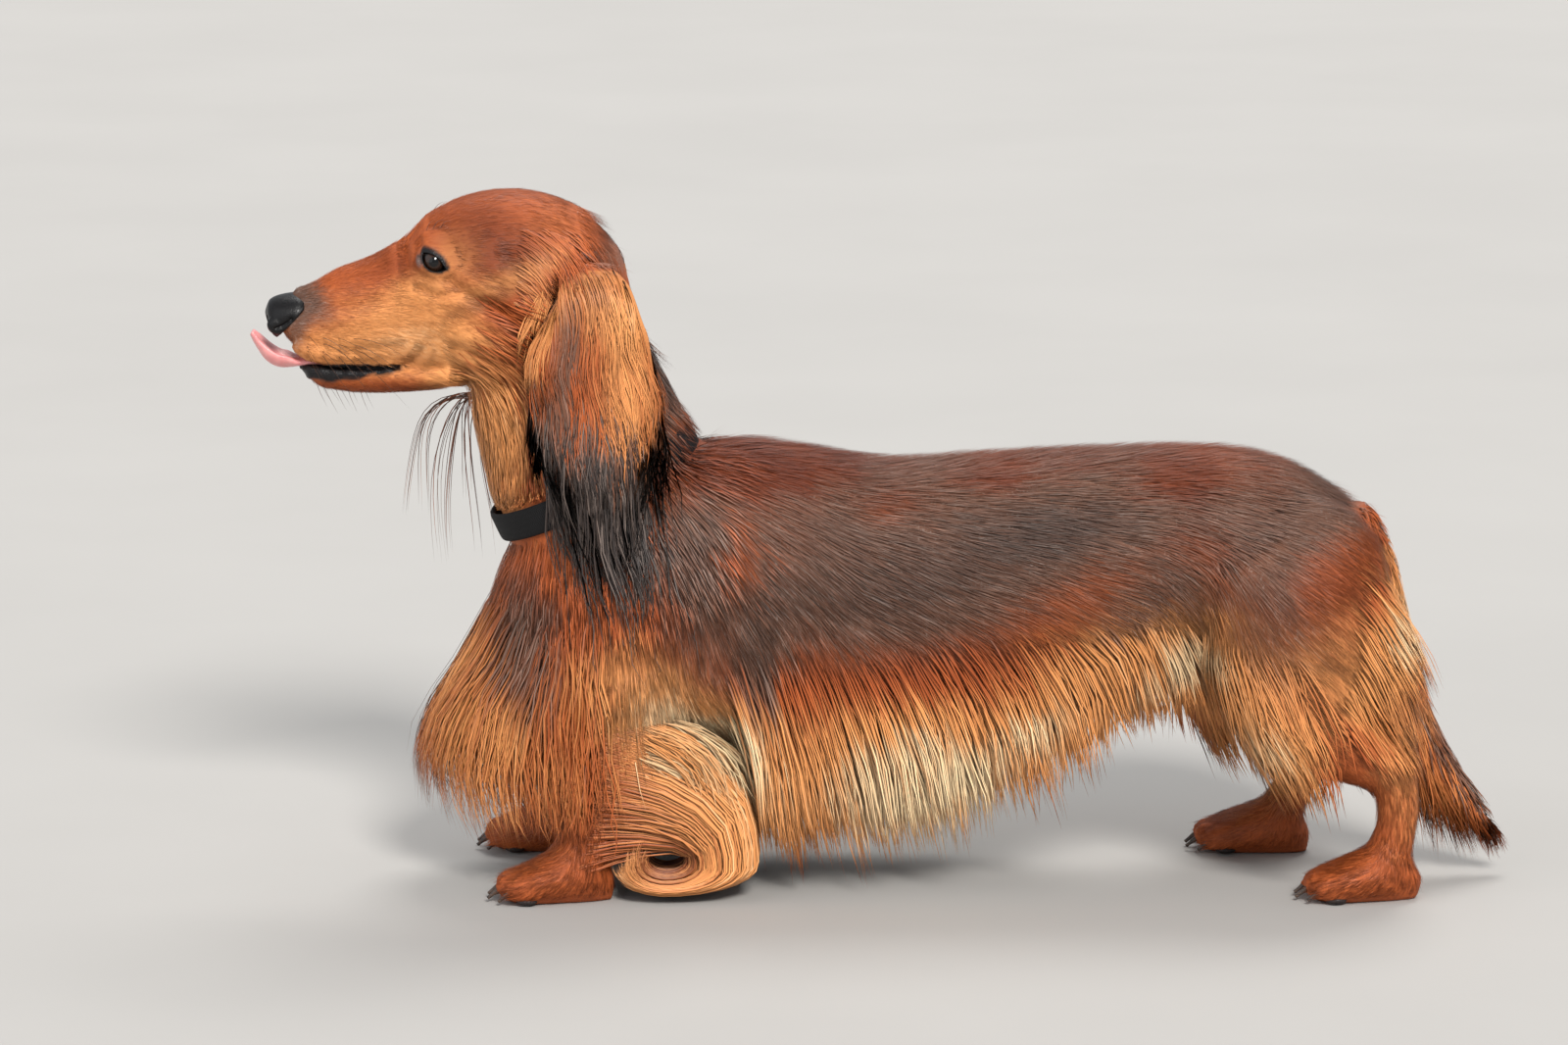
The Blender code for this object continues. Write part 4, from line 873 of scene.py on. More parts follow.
def drift(places: Array, size: float, seed: float = 0.0) -> Array:
    """A smooth wandering number from -1 to 1 that changes over about the given size."""
    x, y, z = places.T / size
    first = np.sin(x + 2.1 * np.sin(0.7 * z + seed) + 1.3 * seed)
    second = np.sin(1.3 * z + 1.7 * np.sin(0.9 * y + 0.6 * x + 2.0 * seed))
    return (first + second + np.sin(0.8 * (x + y - z) + 3.0 * seed)) / 3.0


@dataclass(frozen=True)
class Patch:
    """A soft-edged oval patch on the side of the dog."""

    x: float
    z: float
    half_length: float
    half_height: float
    tilt: float = 0.0
    strength: float = 1.0
    edge: float = 0.45

    def at(self, places: Array) -> Array:
        """How strongly the patch shows at each place."""
        turn = math.radians(-self.tilt)
        across, up = places[:, 0] - self.x, places[:, 2] - self.z
        along = across * math.cos(turn) + up * math.sin(turn)
        rise = -across * math.sin(turn) + up * math.cos(turn)
        reach = np.sqrt((along / self.half_length) ** 2 + (rise / self.half_height) ** 2)
        return self.strength * (1.0 - eased(reach, 1.0 - self.edge, 1.0 + self.edge))


def patches(*rows: Sequence[float]) -> tuple[Patch, ...]:
    """Patches from rows of x, z, half length, half height, tilt, strength and edge."""
    return tuple(Patch(*row) for row in rows)


@dataclass(frozen=True)
class Markings:
    """The pattern of the coat, which the skin carries too: dark, light and deep shares."""

    dark: tuple[Patch, ...] = patches(
        (0.109, 0.219, 0.125, 0.026, 0, 0.46, 0.7), (-0.015, 0.208, 0.056, 0.018, -6, 0.4, 0.9),
        (0.008, 0.17, 0.08, 0.029, -5, 0.7, 0.8), (0.095, 0.197, 0.052, 0.018, -8, 0.62, 0.8),
        (0.152, 0.169, 0.042, 0.014, -39, 0.62, 0.8), (-0.0625, 0.15, 0.008, 0.054, 0, 0.66, 0.8),
        (-0.085, 0.134, 0.03, 0.026, 0, 0.34, 0.9), (-0.096, 0.208, 0.02, 0.026, 10, 0.46, 0.9),
        (-0.102, 0.18, 0.02, 0.02, 0, 0.55, 0.9), (0.245, 0.214, 0.05, 0.016, -45, 0.5, 0.8),
        (0.207, 0.172, 0.032, 0.038, 0, 0.36, 0.9), (0.22, 0.115, 0.036, 0.03, -20, 0.08, 0.9),
        (-0.19, 0.138, 0.017, 0.036, 0, 0.42, 0.9), (-0.124, 0.29, 0.014, 0.048, -12, 0.8, 0.7),
    )
    red: tuple[Patch, ...] = patches(
        (0.063, 0.2262, 0.024, 0.007, -4, 0.75, 0.6), (0.006, 0.2115, 0.017, 0.01, -12, 0.62, 0.6),
        (0.109, 0.233, 0.011, 0.006, 0, 0.6, 0.6), (0.1625, 0.226, 0.026, 0.012, -8, 0.75, 0.6),
        (0.172, 0.191, 0.012, 0.015, -20, 0.65, 0.6), (0.248, 0.178, 0.026, 0.016, -8, 0.92, 0.4),
        (-0.0725, 0.184, 0.009, 0.02, 0, 0.85, 0.5), (-0.0555, 0.233, 0.054, 0.014, -4, 0.88, 0.5),
    )
    light: tuple[Patch, ...] = patches(
        (0.129, 0.142, 0.058, 0.02, -8, 0.2, 0.8), (0.132, 0.108, 0.056, 0.024, 0, 0.5, 0.8),
        (0.013, 0.086, 0.085, 0.02, 6, 0.26, 0.9), (0.029, 0.05, 0.048, 0.042, 8, 0.86, 0.9),
        (-0.04, 0.046, 0.035, 0.036, 0, 0.34, 0.8), (0.096, 0.082, 0.034, 0.024, 14, 0.3, 0.6),
        (-0.215, 0.085, 0.04, 0.062, 0, 0.36, 0.8), (-0.208, 0.245, 0.022, 0.052, 0, 0.5, 0.6),
        (0.28, 0.115, 0.022, 0.042, 0, 0.3, 0.8), (0.286, 0.16, 0.015, 0.032, 0, 0.52, 0.8),
        (0.305, 0.055, 0.038, 0.042, 0, 0.22, 0.7), (-0.092, 0.058, 0.038, 0.048, 0, 0.46, 0.6),
        (0.209, 0.062, 0.03, 0.034, 0, 0.45, 0.7), (0.248, 0.136, 0.028, 0.026, 0, 0.32, 0.9),
        (-0.096, 0.08, 0.03, 0.022, 0, 0.6, 0.9), (-0.13, 0.115, 0.028, 0.024, 0, 0.56, 0.9),
        (-0.156, 0.06, 0.02, 0.024, 0, 0.12, 0.9), (0.17, 0.138, 0.034, 0.028, 0, 0.44, 0.9),
        (0.215, 0.1, 0.034, 0.026, -20, 0.3, 0.9),
    )
    deep: tuple[Patch, ...] = patches(
        (-0.0555, 0.233, 0.062, 0.02, 0, 0.75, 0.6), (0.109, 0.218, 0.13, 0.03, 0, 0.72, 0.6),
        (0.21, 0.175, 0.06, 0.056, 0, 0.34, 0.6), (0.013, 0.14, 0.085, 0.026, 0, 0.42, 0.7),
        (0.21, 0.11, 0.04, 0.03, 0, 0.16, 0.7), (-0.105, 0.19, 0.03, 0.05, 0, 0.45, 0.7),
        (-0.145, 0.1, 0.026, 0.03, 0, 0.16, 0.7), (-0.19, 0.135, 0.018, 0.038, 0, 0.92, 0.8),
    )
    face_light: tuple[Patch, ...] = patches(
        (-0.227, 0.342, 0.015, 0.018, 20, 0.3, 0.8), (-0.248, 0.327, 0.015, 0.009, -20, 0.28, 0.8),
        (-0.29, 0.29, 0.042, 0.012, 0, 0.4, 0.9), (-0.235, 0.294, 0.038, 0.016, 0, 0.42, 0.9),
        (-0.226, 0.274, 0.016, 0.013, 0, 0.4, 0.9), (-0.245, 0.312, 0.028, 0.016, 0, 0.34, 0.9),
        (-0.278, 0.306, 0.042, 0.013, 8, 0.2, 0.9), (-0.198, 0.333, 0.028, 0.007, -26, 0.42, 0.9),
        (-0.175, 0.36, 0.03, 0.016, -20, 0.12, 0.9), (-0.285, 0.325, 0.035, 0.008, 20, 0.06, 0.9),
    )
    # The first of these patches is painted shade along the crease below and behind the eye
    face_deep: tuple[Patch, ...] = patches(
        (-0.215, 0.32, 0.023, 0.0042, -26, 0.55, 0.9), (-0.216, 0.358, 0.026, 0.018, -10, 0.6, 0.9),
        (-0.195, 0.345, 0.024, 0.014, -20, 0.5, 0.9), (-0.262, 0.34, 0.04, 0.008, 18, 0.45, 0.9),
        (-0.19, 0.306, 0.018, 0.022, 0, 0.42, 0.7), (-0.25, 0.288, 0.012, 0.007, 0, 0.4, 0.7),
    )
    face_dark: tuple[Patch, ...] = patches(
        (-0.312, 0.319, 0.018, 0.009, 24, 0.62, 0.95), (-0.313, 0.306, 0.006, 0.015, 0, 0.5, 0.9),
        (-0.142, 0.342, 0.01, 0.024, 20, 0.35, 0.7),
    )

    def joined(self, several: Sequence[Patch], places: Array) -> Array:
        """The combined show of several patches."""
        rest = np.ones(len(places))
        for patch in several:
            rest *= 1.0 - patch.at(places)
        return 1.0 - rest

    def body(self, places: Array) -> Array:
        """The dark, light and deep shares on the body, neck, legs and tail.

        Args:
            places: Places in rows.

        Returns:
            Rows of the three shares.
        """
        dark = self.joined(self.dark, places) * (1.0 - self.joined(self.red, places))
        light = np.zeros(len(places))
        for patch in self.light:
            light += patch.at(places)
        # The feet, and the hair that reaches the floor, stay redder
        feet = eased(0.02 - places[:, 2], 0.0, 0.012)
        light = np.clip(light * (1.0 - 0.7 * feet) * (1.0 + 0.3 * drift(places, 0.009, 7.0)), 0.0, 1.0)
        deep = self.joined(self.deep, places) * (1.0 + 0.25 * drift(places, 0.007, 8.0))
        return columns(dark, light, deep)

    def head(self, places: Array) -> Array:
        """The dark, light and deep shares on the head."""
        dark = self.joined(self.face_dark, places)
        light = np.clip(self.joined(self.face_light, places), 0.0, 1.0)
        deep = self.joined(self.face_deep, places)
        return columns(dark, light, deep)

    def ear(self, places: Array, jitter: Array) -> Array:
        """The shares on an ear: golden brown above and black below, with a dark front streak and a painted
        highlight.

        Args:
            places: Places in rows.
            jitter: A random number for each place, from about -1 to 1.

        Returns:
            Rows of the three shares.
        """
        x, z = places[:, 0], places[:, 2]
        # The black starts higher on the ear's front edge than on its rear one
        border = np.interp(x, [-0.187, -0.115], [0.256, 0.236]) + jitter * 0.024
        dark = 0.98 * (1.0 - eased(z - border, -0.016, 0.018))
        trail = -0.165 - 0.1 * (0.31 - z) + jitter * 0.006
        streak = bell(x - trail, 0.0075) * (1.0 - eased(z, 0.305, 0.338))
        dark = np.maximum(dark, (0.44 + 0.22 * jitter) * streak)
        # A painted highlight: a lighter, less deep band down the rear middle of the ear's upper part
        ear_highlight = bell(x + 0.133, 0.015) * (1.0 - eased(z, 0.31, 0.34))
        light = 0.12 + 0.3 * ear_highlight + 0.22 * eased(z, 0.29, 0.325) + 0.12 * jitter
        deep = 0.38 + 0.3 * jitter - 0.2 * ear_highlight
        return columns(dark, np.clip(light, 0, 1), np.clip(deep, 0, 1))


@dataclass(frozen=True)
class Lie:
    """The way the coat lies, from guides of place and direction on the dog's side.

    Each guide has x, distance from the midplane, z, and the direction's x, outward and z parts.
    """

    guides: tuple = (
        (-0.32, 0, 0.322, 1, 0, 0.25), (-0.28, 0, 0.34, 1, 0, 0.38), (-0.245, 0, 0.366, 1, 0, 0.7),
        (-0.225, 0.012, 0.375, 1, 0.05, 0.25), (-0.2, 0, 0.38, 1, 0, 0),
        (-0.165, 0, 0.372, 0.9, 0, -0.45), (-0.14, 0, 0.345, 0.4, 0, -1), (-0.125, 0, 0.3, 0.3, 0, -1),
        (-0.31, 0.017, 0.305, 1, 0.1, 0.02), (-0.285, 0.021, 0.305, 1, 0.12, 0),
        (-0.26, 0.024, 0.318, 1, 0.2, 0.15), (-0.3, 0.016, 0.289, 0.9, 0.1, -0.4),
        (-0.275, 0.02, 0.288, 1, 0.1, -0.25), (-0.25, 0.026, 0.3, 1, 0.15, -0.15),
        (-0.3, 0.01, 0.272, 1, 0, -0.05), (-0.26, 0.02, 0.27, 1, 0.1, -0.05), (-0.29, 0, 0.266, 1, 0, 0),
        (-0.25, 0.033, 0.33, 1, 0.2, -0.25), (-0.243, 0.023, 0.358, 0.9, 0.2, 0.5),
        (-0.228, 0.032, 0.362, 1, 0.2, 0.2), (-0.222, 0.041, 0.345, 1, 0.1, -0.12),
        (-0.222, 0.043, 0.322, 1, 0.1, -0.35), (-0.21, 0.045, 0.305, 0.9, 0, -0.45),
        (-0.225, 0.035, 0.285, 0.9, 0.05, -0.3), (-0.2, 0.04, 0.285, 0.6, 0, -0.8),
        (-0.2, 0.042, 0.362, 1, 0.15, -0.18), (-0.178, 0.045, 0.355, 0.8, 0.2, -0.6),
        (-0.165, 0.046, 0.345, 0.4, 0.2, -1), (-0.235, 0, 0.268, 0.8, 0, -0.4),
        (-0.218, 0, 0.255, 0.1, 0, -1), (-0.215, 0.018, 0.24, 0, 0, -1),
        (-0.205, 0.03, 0.21, -0.05, 0.05, -1), (-0.185, 0.045, 0.26, 0.08, 0, -1),
        (-0.15, 0.045, 0.27, 0.25, 0, -1), (-0.128, 0, 0.265, 0.55, 0, -0.9),
        (-0.11, 0, 0.245, 1, 0, -0.3), (-0.125, 0.05, 0.225, 0.55, 0.15, -1),
        (-0.16, 0.06, 0.19, 0.1, 0.1, -1), (-0.205, 0, 0.18, -0.25, 0, -1),
        (-0.215, 0, 0.13, -0.22, 0, -1), (-0.2, 0.04, 0.13, -0.1, 0.15, -1),
        (-0.17, 0.062, 0.15, 0.02, 0.05, -1), (-0.15, 0, 0.072, 0.2, 0, -1),
        (-0.08, 0, 0.245, 1, 0, -0.05), (-0.08, 0.04, 0.232, 0.9, 0.2, -0.5),
        (-0.095, 0.07, 0.19, 0.5, 0.1, -1), (-0.115, 0.075, 0.15, 0.2, 0, -1),
        (-0.13, 0.07, 0.12, 0.1, 0, -1), (-0.095, 0.075, 0.11, 0.6, 0, -0.8),
        (-0.05, 0.055, 0.215, 0.9, 0.1, -0.55), (-0.05, 0.074, 0.18, 0.75, 0.03, -0.75),
        (-0.05, 0.077, 0.14, 0.5, 0, -1), (-0.05, 0.072, 0.1, 0.3, -0.08, -1), (0, 0, 0.236, 1, 0, -0.02),
        (0.08, 0, 0.238, 1, 0, 0.02), (0.16, 0, 0.24, 1, 0, -0.03), (0.22, 0, 0.232, 1, 0, -0.45),
        (0, 0.055, 0.212, 1, 0.08, -0.28), (0.07, 0.055, 0.212, 1, 0.04, -0.15),
        (0.13, 0.05, 0.215, 1, 0.02, -0.12), (0, 0.075, 0.165, 0.9, 0, -0.42),
        (0.06, 0.071, 0.17, 1, 0, -0.28), (0.12, 0.065, 0.18, 1, 0, -0.22),
        (0, 0.074, 0.13, 0.65, -0.03, -0.8), (0.06, 0.068, 0.135, 0.75, -0.03, -0.65),
        (0.11, 0.062, 0.148, 0.85, -0.02, -0.5), (0.15, 0.056, 0.15, 0.7, 0, -0.75),
        (0, 0.06, 0.095, 0.25, -0.1, -1), (0.07, 0.055, 0.105, 0.3, -0.1, -1),
        (0.13, 0.045, 0.12, 0.35, -0.1, -1), (0, 0, 0.07, 0.35, 0, -1), (0.08, 0, 0.09, 0.35, 0, -1),
        (0.15, 0, 0.112, 0.4, 0, -1), (0.18, 0.052, 0.215, 1, 0.1, -0.35),
        (0.22, 0.052, 0.205, 0.9, 0.1, -0.6), (0.19, 0.066, 0.175, 0.75, 0.05, -0.75),
        (0.23, 0.066, 0.175, 0.85, 0, -0.6), (0.255, 0.04, 0.175, 0.7, -0.05, -0.8),
        (0.272, 0, 0.165, 0.35, 0, -1), (0.19, 0.08, 0.14, 0.6, 0.03, -0.85),
        (0.225, 0.083, 0.14, 0.8, 0, -0.7), (0.26, 0.07, 0.13, 0.6, 0, -0.9),
        (0.2, 0.075, 0.108, 0.6, 0, -0.85), (0.23, 0.076, 0.1, 0.75, 0, -0.75),
        (0.262, 0.06, 0.1, 0.6, 0, -0.9), (0.255, 0.072, 0.082, 0.8, 0, -0.6),
        (0.28, 0.055, 0.066, 0.3, 0, -1), (0.279, 0.066, 0.05, 0, 0, -1),
        (0.275, 0.066, 0.028, -0.15, 0, -1), (0.265, 0.065, 0.016, -0.8, 0.05, -0.4),
        (0.245, 0.058, 0.014, -1, 0.05, -0.2), (-0.16, 0.055, 0.11, 0.05, 0, -1),
        (-0.125, 0.078, 0.095, 0.3, 0, -1), (-0.15, 0.074, 0.07, 0.05, 0, -1),
        (-0.165, 0.056, 0.05, -0.05, 0, -1), (-0.16, 0.07, 0.032, -0.15, 0, -1),
        (-0.172, 0.066, 0.02, -0.8, 0.05, -0.45), (-0.195, 0.062, 0.014, -1, 0.05, -0.2),
    )

    def at(self, places: Array) -> Array:
        """The coat's direction at each place.

        Args:
            places: Places near the skin.

        Returns:
            Unit directions, not yet laid along the skin.
        """
        table = np.array(self.guides)
        sign = np.where(places[:, 1:2] < 0, -1.0, 1.0)
        folded = places.copy()
        folded[:, 1] = np.abs(places[:, 1])
        # The right hindleg stands at another stride, so it reads the guides of the left one
        right = places[:, 1] > 0
        low = np.clip(1.0 - places[:, 2] / HIP_HEIGHT, 0.0, 1.0) ** 0.8
        folded[:, 0] += right * (places[:, 0] > 0.1) * STRIDE[Side.RIGHT] * low
        away = np.linalg.norm(folded[:, None, :] - table[None, :, :3], axis=2)
        weight = 1.0 / (away**2 + 0.006**2) ** 1.8
        ways = weight @ unit(table[:, 3:6])
        ways[:, 1:2] *= sign
        return unit(ways)


@dataclass(frozen=True)
class Growth:
    """How the strands of one batch grow.

    Lengths, widths, heights and waves are in metres, angles in degrees. Heights are how far the
    strands ride above the skin. Hang is how far the tip turns to the hang direction. Length is
    drawn from its range only where grow is given no lengths.
    """

    width: tuple[float, float]
    height: tuple[float, float]
    length: tuple[float, float] = (0.0, 0.0)
    steps: int = 4
    thick: float = 0.16
    cling: float = 1.0
    hang: float = 0.0
    hang_way: tuple[float, float, float] = (0.0, 0.0, -1.0)
    stray: float = 5.0
    clump: float = 0.25
    clump_size: int = 10
    wave: float = 0.0
    wave_length: float = 0.03
    sink: float = 0.0015
    inertia: float = 0.35
    tip: float = 2.2
    scatter: float = 0.35
    limit: float = 0.0


@dataclass
class Roots:
    """Where strands leave the skin: places, normals, and their place on the skin's chart."""

    places: Array
    normals: Array
    chart: Array

    def __len__(self) -> int:
        """How many roots there are."""
        return len(self.places)

    def kept(self, mask: Array) -> "Roots":
        """The roots where the mask holds."""
        return Roots(self.places[mask], self.normals[mask], self.chart[mask])


@dataclass
class Strands:
    """A batch of grown strands, all with the same number of points."""

    paths: Array
    facing: Array
    widths: Array
    thick: float
    tip: float
    chart: Array
    marks: Array
    tone: Array


@dataclass
class Groomer:
    """Finds roots on the skin and grows strands over it."""

    skin: bpy.types.Object
    lie: Lie = field(default_factory=Lie)
    markings: Markings = field(default_factory=Markings)
    random: np.random.Generator = field(default_factory=lambda: np.random.default_rng(SEED))
    tree: Optional[BVHTree] = None

    def __post_init__(self) -> None:
        """Builds the search tree of the skin."""
        self.feel(self.skin)

    def feel(self, *pieces: bpy.types.Object) -> None:
        """Makes the hair lie over these pieces."""
        shell = bmesh.new()
        for piece in pieces:
            shell.from_mesh(piece.data)
        bmesh.ops.triangulate(shell, faces=shell.faces)
        self.tree = BVHTree.FromBMesh(shell)
        shell.free()

    def nearest(self, places: Array) -> tuple[Array, Array]:
        """The nearest skin point to each place, and the skin's normal there.

        Args:
            places: Places in rows.

        Returns:
            The skin points and the normals, in rows.
        """
        near, normals = np.empty_like(places), np.empty_like(places)
        find = self.tree.find_nearest
        for index, place in enumerate(places.tolist()):
            hit, normal, _, _ = find(place)
            near[index] = hit
            normals[index] = normal
        return near, normals

    def roots_on(
        self,
        tube: Tube,
        count: int,
        density: Callable[[Array], Array],
        reach: float = 0.009,
        chart: tuple[float, float, float, float] = (0.0, 0.0, 1.0, 1.0),
    ) -> Roots:
        """Roots spread over the skin of one tube of flesh.

        Args:
            tube: The tube, whose surface is the skin's own unwrap.
            count: How many roots to try.
            density: The relative density at each place.
            reach: How far the skin may lie from the tube's surface.
            chart: The corner and size of the chart that the tube fills.

        Returns:
            The roots whose rays from the tube's centre line met the skin near the tube.
        """
        points, centres, _ = tube.grid()
        corner = np.concatenate([points, points[:, :1]], axis=1)
        across = np.linalg.norm(np.diff(corner, axis=1)[:-1], axis=2)
        along = np.linalg.norm(np.diff(points, axis=0), axis=2)
        middle = points[:-1]
        weight = (across * along).ravel() * density(middle.reshape(-1, 3))
        picks = self.random.choice(weight.size, count, p=weight / weight.sum())
        ring, side = np.divmod(picks, points.shape[1])
        down, over = self.random.random(count), self.random.random(count)
        here = corner[ring, side] * (1 - over)[:, None] + corner[ring, side + 1] * over[:, None]
        there = corner[ring + 1, side] * (1 - over)[:, None]
        there = there + corner[ring + 1, side + 1] * over[:, None]
        target = here * (1 - down)[:, None] + there * down[:, None]
        middle = centres[ring] * (1 - down)[:, None] + centres[ring + 1] * down[:, None]
        places, normals = np.empty_like(target), np.empty_like(target)
        good = np.zeros(count, bool)
        for index, (start, goal) in enumerate(zip(middle.tolist(), target.tolist())):
            origin = Vector(start)
            hit, normal, _, _ = self.tree.ray_cast(origin, (Vector(goal) - origin).normalized())
            if hit is not None and (hit - Vector(goal)).length < reach:
                places[index], normals[index], good[index] = hit, normal, True
        left, low, wide, high = chart
        share = (ring + down) / (points.shape[0] - 1)
        turn = (side + over) / points.shape[1]
        places_on_chart = columns(left + wide * share, low + high * turn)
        return Roots(places, normals, places_on_chart).kept(good)

    def grow(
        self,
        roots: Roots,
        growth: Growth,
        ways: Optional[Callable[[Array, float], Array]] = None,
        lengths: Optional[Array] = None,
        marks: Optional[Callable[[Array, Array], Array]] = None,
        fall: Optional[Array] = None,
    ) -> Strands:
        """Grows one strand from each root.

        Args:
            roots: Where the strands leave the skin.
            growth: How they grow.
            ways: The direction at each place and share of the length, else the lie of the coat.
            lengths: A length for each strand, else drawn from growth.
            marks: The markings at each place with the strand's jitter, else those of the body.
            fall: How far each strand turns to the hang direction, else growth.hang.

        Returns:
            The grown strands.
        """
        count, steps, draw = len(roots), growth.steps, self.random
        if lengths is None:
            lengths = draw.uniform(*growth.length, count)
        heights = draw.uniform(*growth.height, count)
        jitter = 0.45 * draw.uniform(-1.0, 1.0, count) + 0.75 * drift(roots.places, 0.0034, 1.0)
        yaw = np.tan(np.radians(draw.normal(0.0, growth.stray, count)))
        fall = np.full(count, growth.hang) if fall is None else fall
        place = roots.places.copy()
        paths, facing = [roots.places - roots.normals * growth.sink], [roots.normals.copy()]
        normal = roots.normals.copy()
        step = (lengths / steps)[:, None]
        way = None
        hang_way = np.array(growth.hang_way) / np.linalg.norm(growth.hang_way)
        for index in range(steps):
            share = (index + 0.5) / steps
            aim = self.lie.at(place) if ways is None else ways(place, share)
            turn = (fall * min(1.0, 0.25 + share))[:, None]
            aim = aim * (1.0 - turn) + hang_way * turn
            aim = aim - normal * (np.einsum("ij,ij->i", aim, normal) * growth.cling)[:, None]
            aim = unit(aim)
            aim = unit(aim + np.cross(normal, aim) * yaw[:, None])
            way = aim if way is None else unit(way * growth.inertia + aim * (1 - growth.inertia))
            place = paths[-1] + way * step
            near, face = self.nearest(place)
            gap = np.einsum("ij,ij->i", place - near, face)
            want = heights * min(1.0, 0.35 + 0.9 * (index + 1) / steps)
            inside = gap < want
            close = (gap >= want) & (gap < want + 0.004)
            shift = np.where(inside, want - gap, np.where(close, (want - gap) * growth.cling, 0.0))
            place = place + face * shift[:, None]
            near_skin = (gap < want + 0.006)[:, None]
            normal = unit(np.where(near_skin, normal * 0.4 + face * 0.6, normal))
            place[:, 2] = np.maximum(place[:, 2], 0.0016 + 0.001 * (jitter + 1.0))
            paths.append(place)
            facing.append(normal)
        # A short strand that leaves the skin, as at the neck's folds, is left out
        kept = np.ones(count, bool) if growth.cling < 0.9 else gap < heights + 0.006
        path = np.stack(paths, axis=1)
        face = np.stack(facing, axis=1)
        path = self.gathered(roots, path, face, growth)
        flat = path.reshape(-1, 3)
        each = np.repeat(jitter, steps + 1)
        slide = flat.copy()
        slide[:, 0] += each * 0.012
        rise = draw.uniform(-0.5, 0.5, count) + 0.7 * drift(roots.places, 0.0045, 4.0)
        slide[:, 2] += np.repeat(rise, steps + 1) * 0.007
        shown = self.markings.body(slide) if marks is None else marks(flat, each)
        widths = draw.uniform(*growth.width, count)
        shown, tone = shown.reshape(count, steps + 1, 3), draw.random(count)
        return Strands(
            path[kept], face[kept], widths[kept], growth.thick, growth.tip,
            roots.chart[kept], shown[kept], tone[kept],
        )

    def gathered(self, roots: Roots, path: Array, face: Array, growth: Growth) -> Array:
        """Draws strands together into locks towards their tips, and waves them.

        Args:
            roots: Where the strands leave the skin.
            path: The strands' points.
            face: The directions away from the skin at those points.
            growth: How the strands grow.

        Returns:
            The strands' new points.
        """
        count, points = path.shape[:2]
        share = np.linspace(0.0, 1.0, points)[None, :, None]
        leaders = max(1, count // growth.clump_size)
        chosen = self.random.choice(count, leaders, replace=False)
        tree = KDTree(leaders)
        for index, leader in enumerate(chosen):
            tree.insert(roots.places[leader], index)
        tree.balance()
        owner = np.array([tree.find(place)[1] for place in roots.places.tolist()])
        lead = path[chosen][owner]
        pull = growth.clump * share**1.4 * self.random.uniform(0.5, 1.0, (count, 1, 1))
        path = path + (lead - path) * pull
        if growth.wave:
            along = unit(np.gradient(path, axis=1))
            across = np.cross(face, along)
            length = np.linalg.norm(np.diff(path, axis=1), axis=2).sum(axis=1)[:, None, None]
            phase = self.random.uniform(-math.pi, math.pi, leaders) * growth.scatter
            phase = phase + 4.0 * drift(roots.places[chosen], 0.014, 2.0)
            phase = phase[owner][:, None, None]
            own = self.random.normal(0.0, 0.25, (count, 1, 1))
            swing = np.sin(2 * math.pi * share * length / growth.wave_length + phase + own)
            path = path + across * swing * growth.wave * share**0.8
        if growth.limit:
            reach = np.abs(path[:, :, 1])
            room = 0.01
            over = np.maximum(reach - growth.limit + room, 0.0)
            held = np.where(over > 0, growth.limit - room * np.exp(-over / room), reach)
            path[:, :, 1] *= held / np.maximum(reach, 1e-9)
        return path


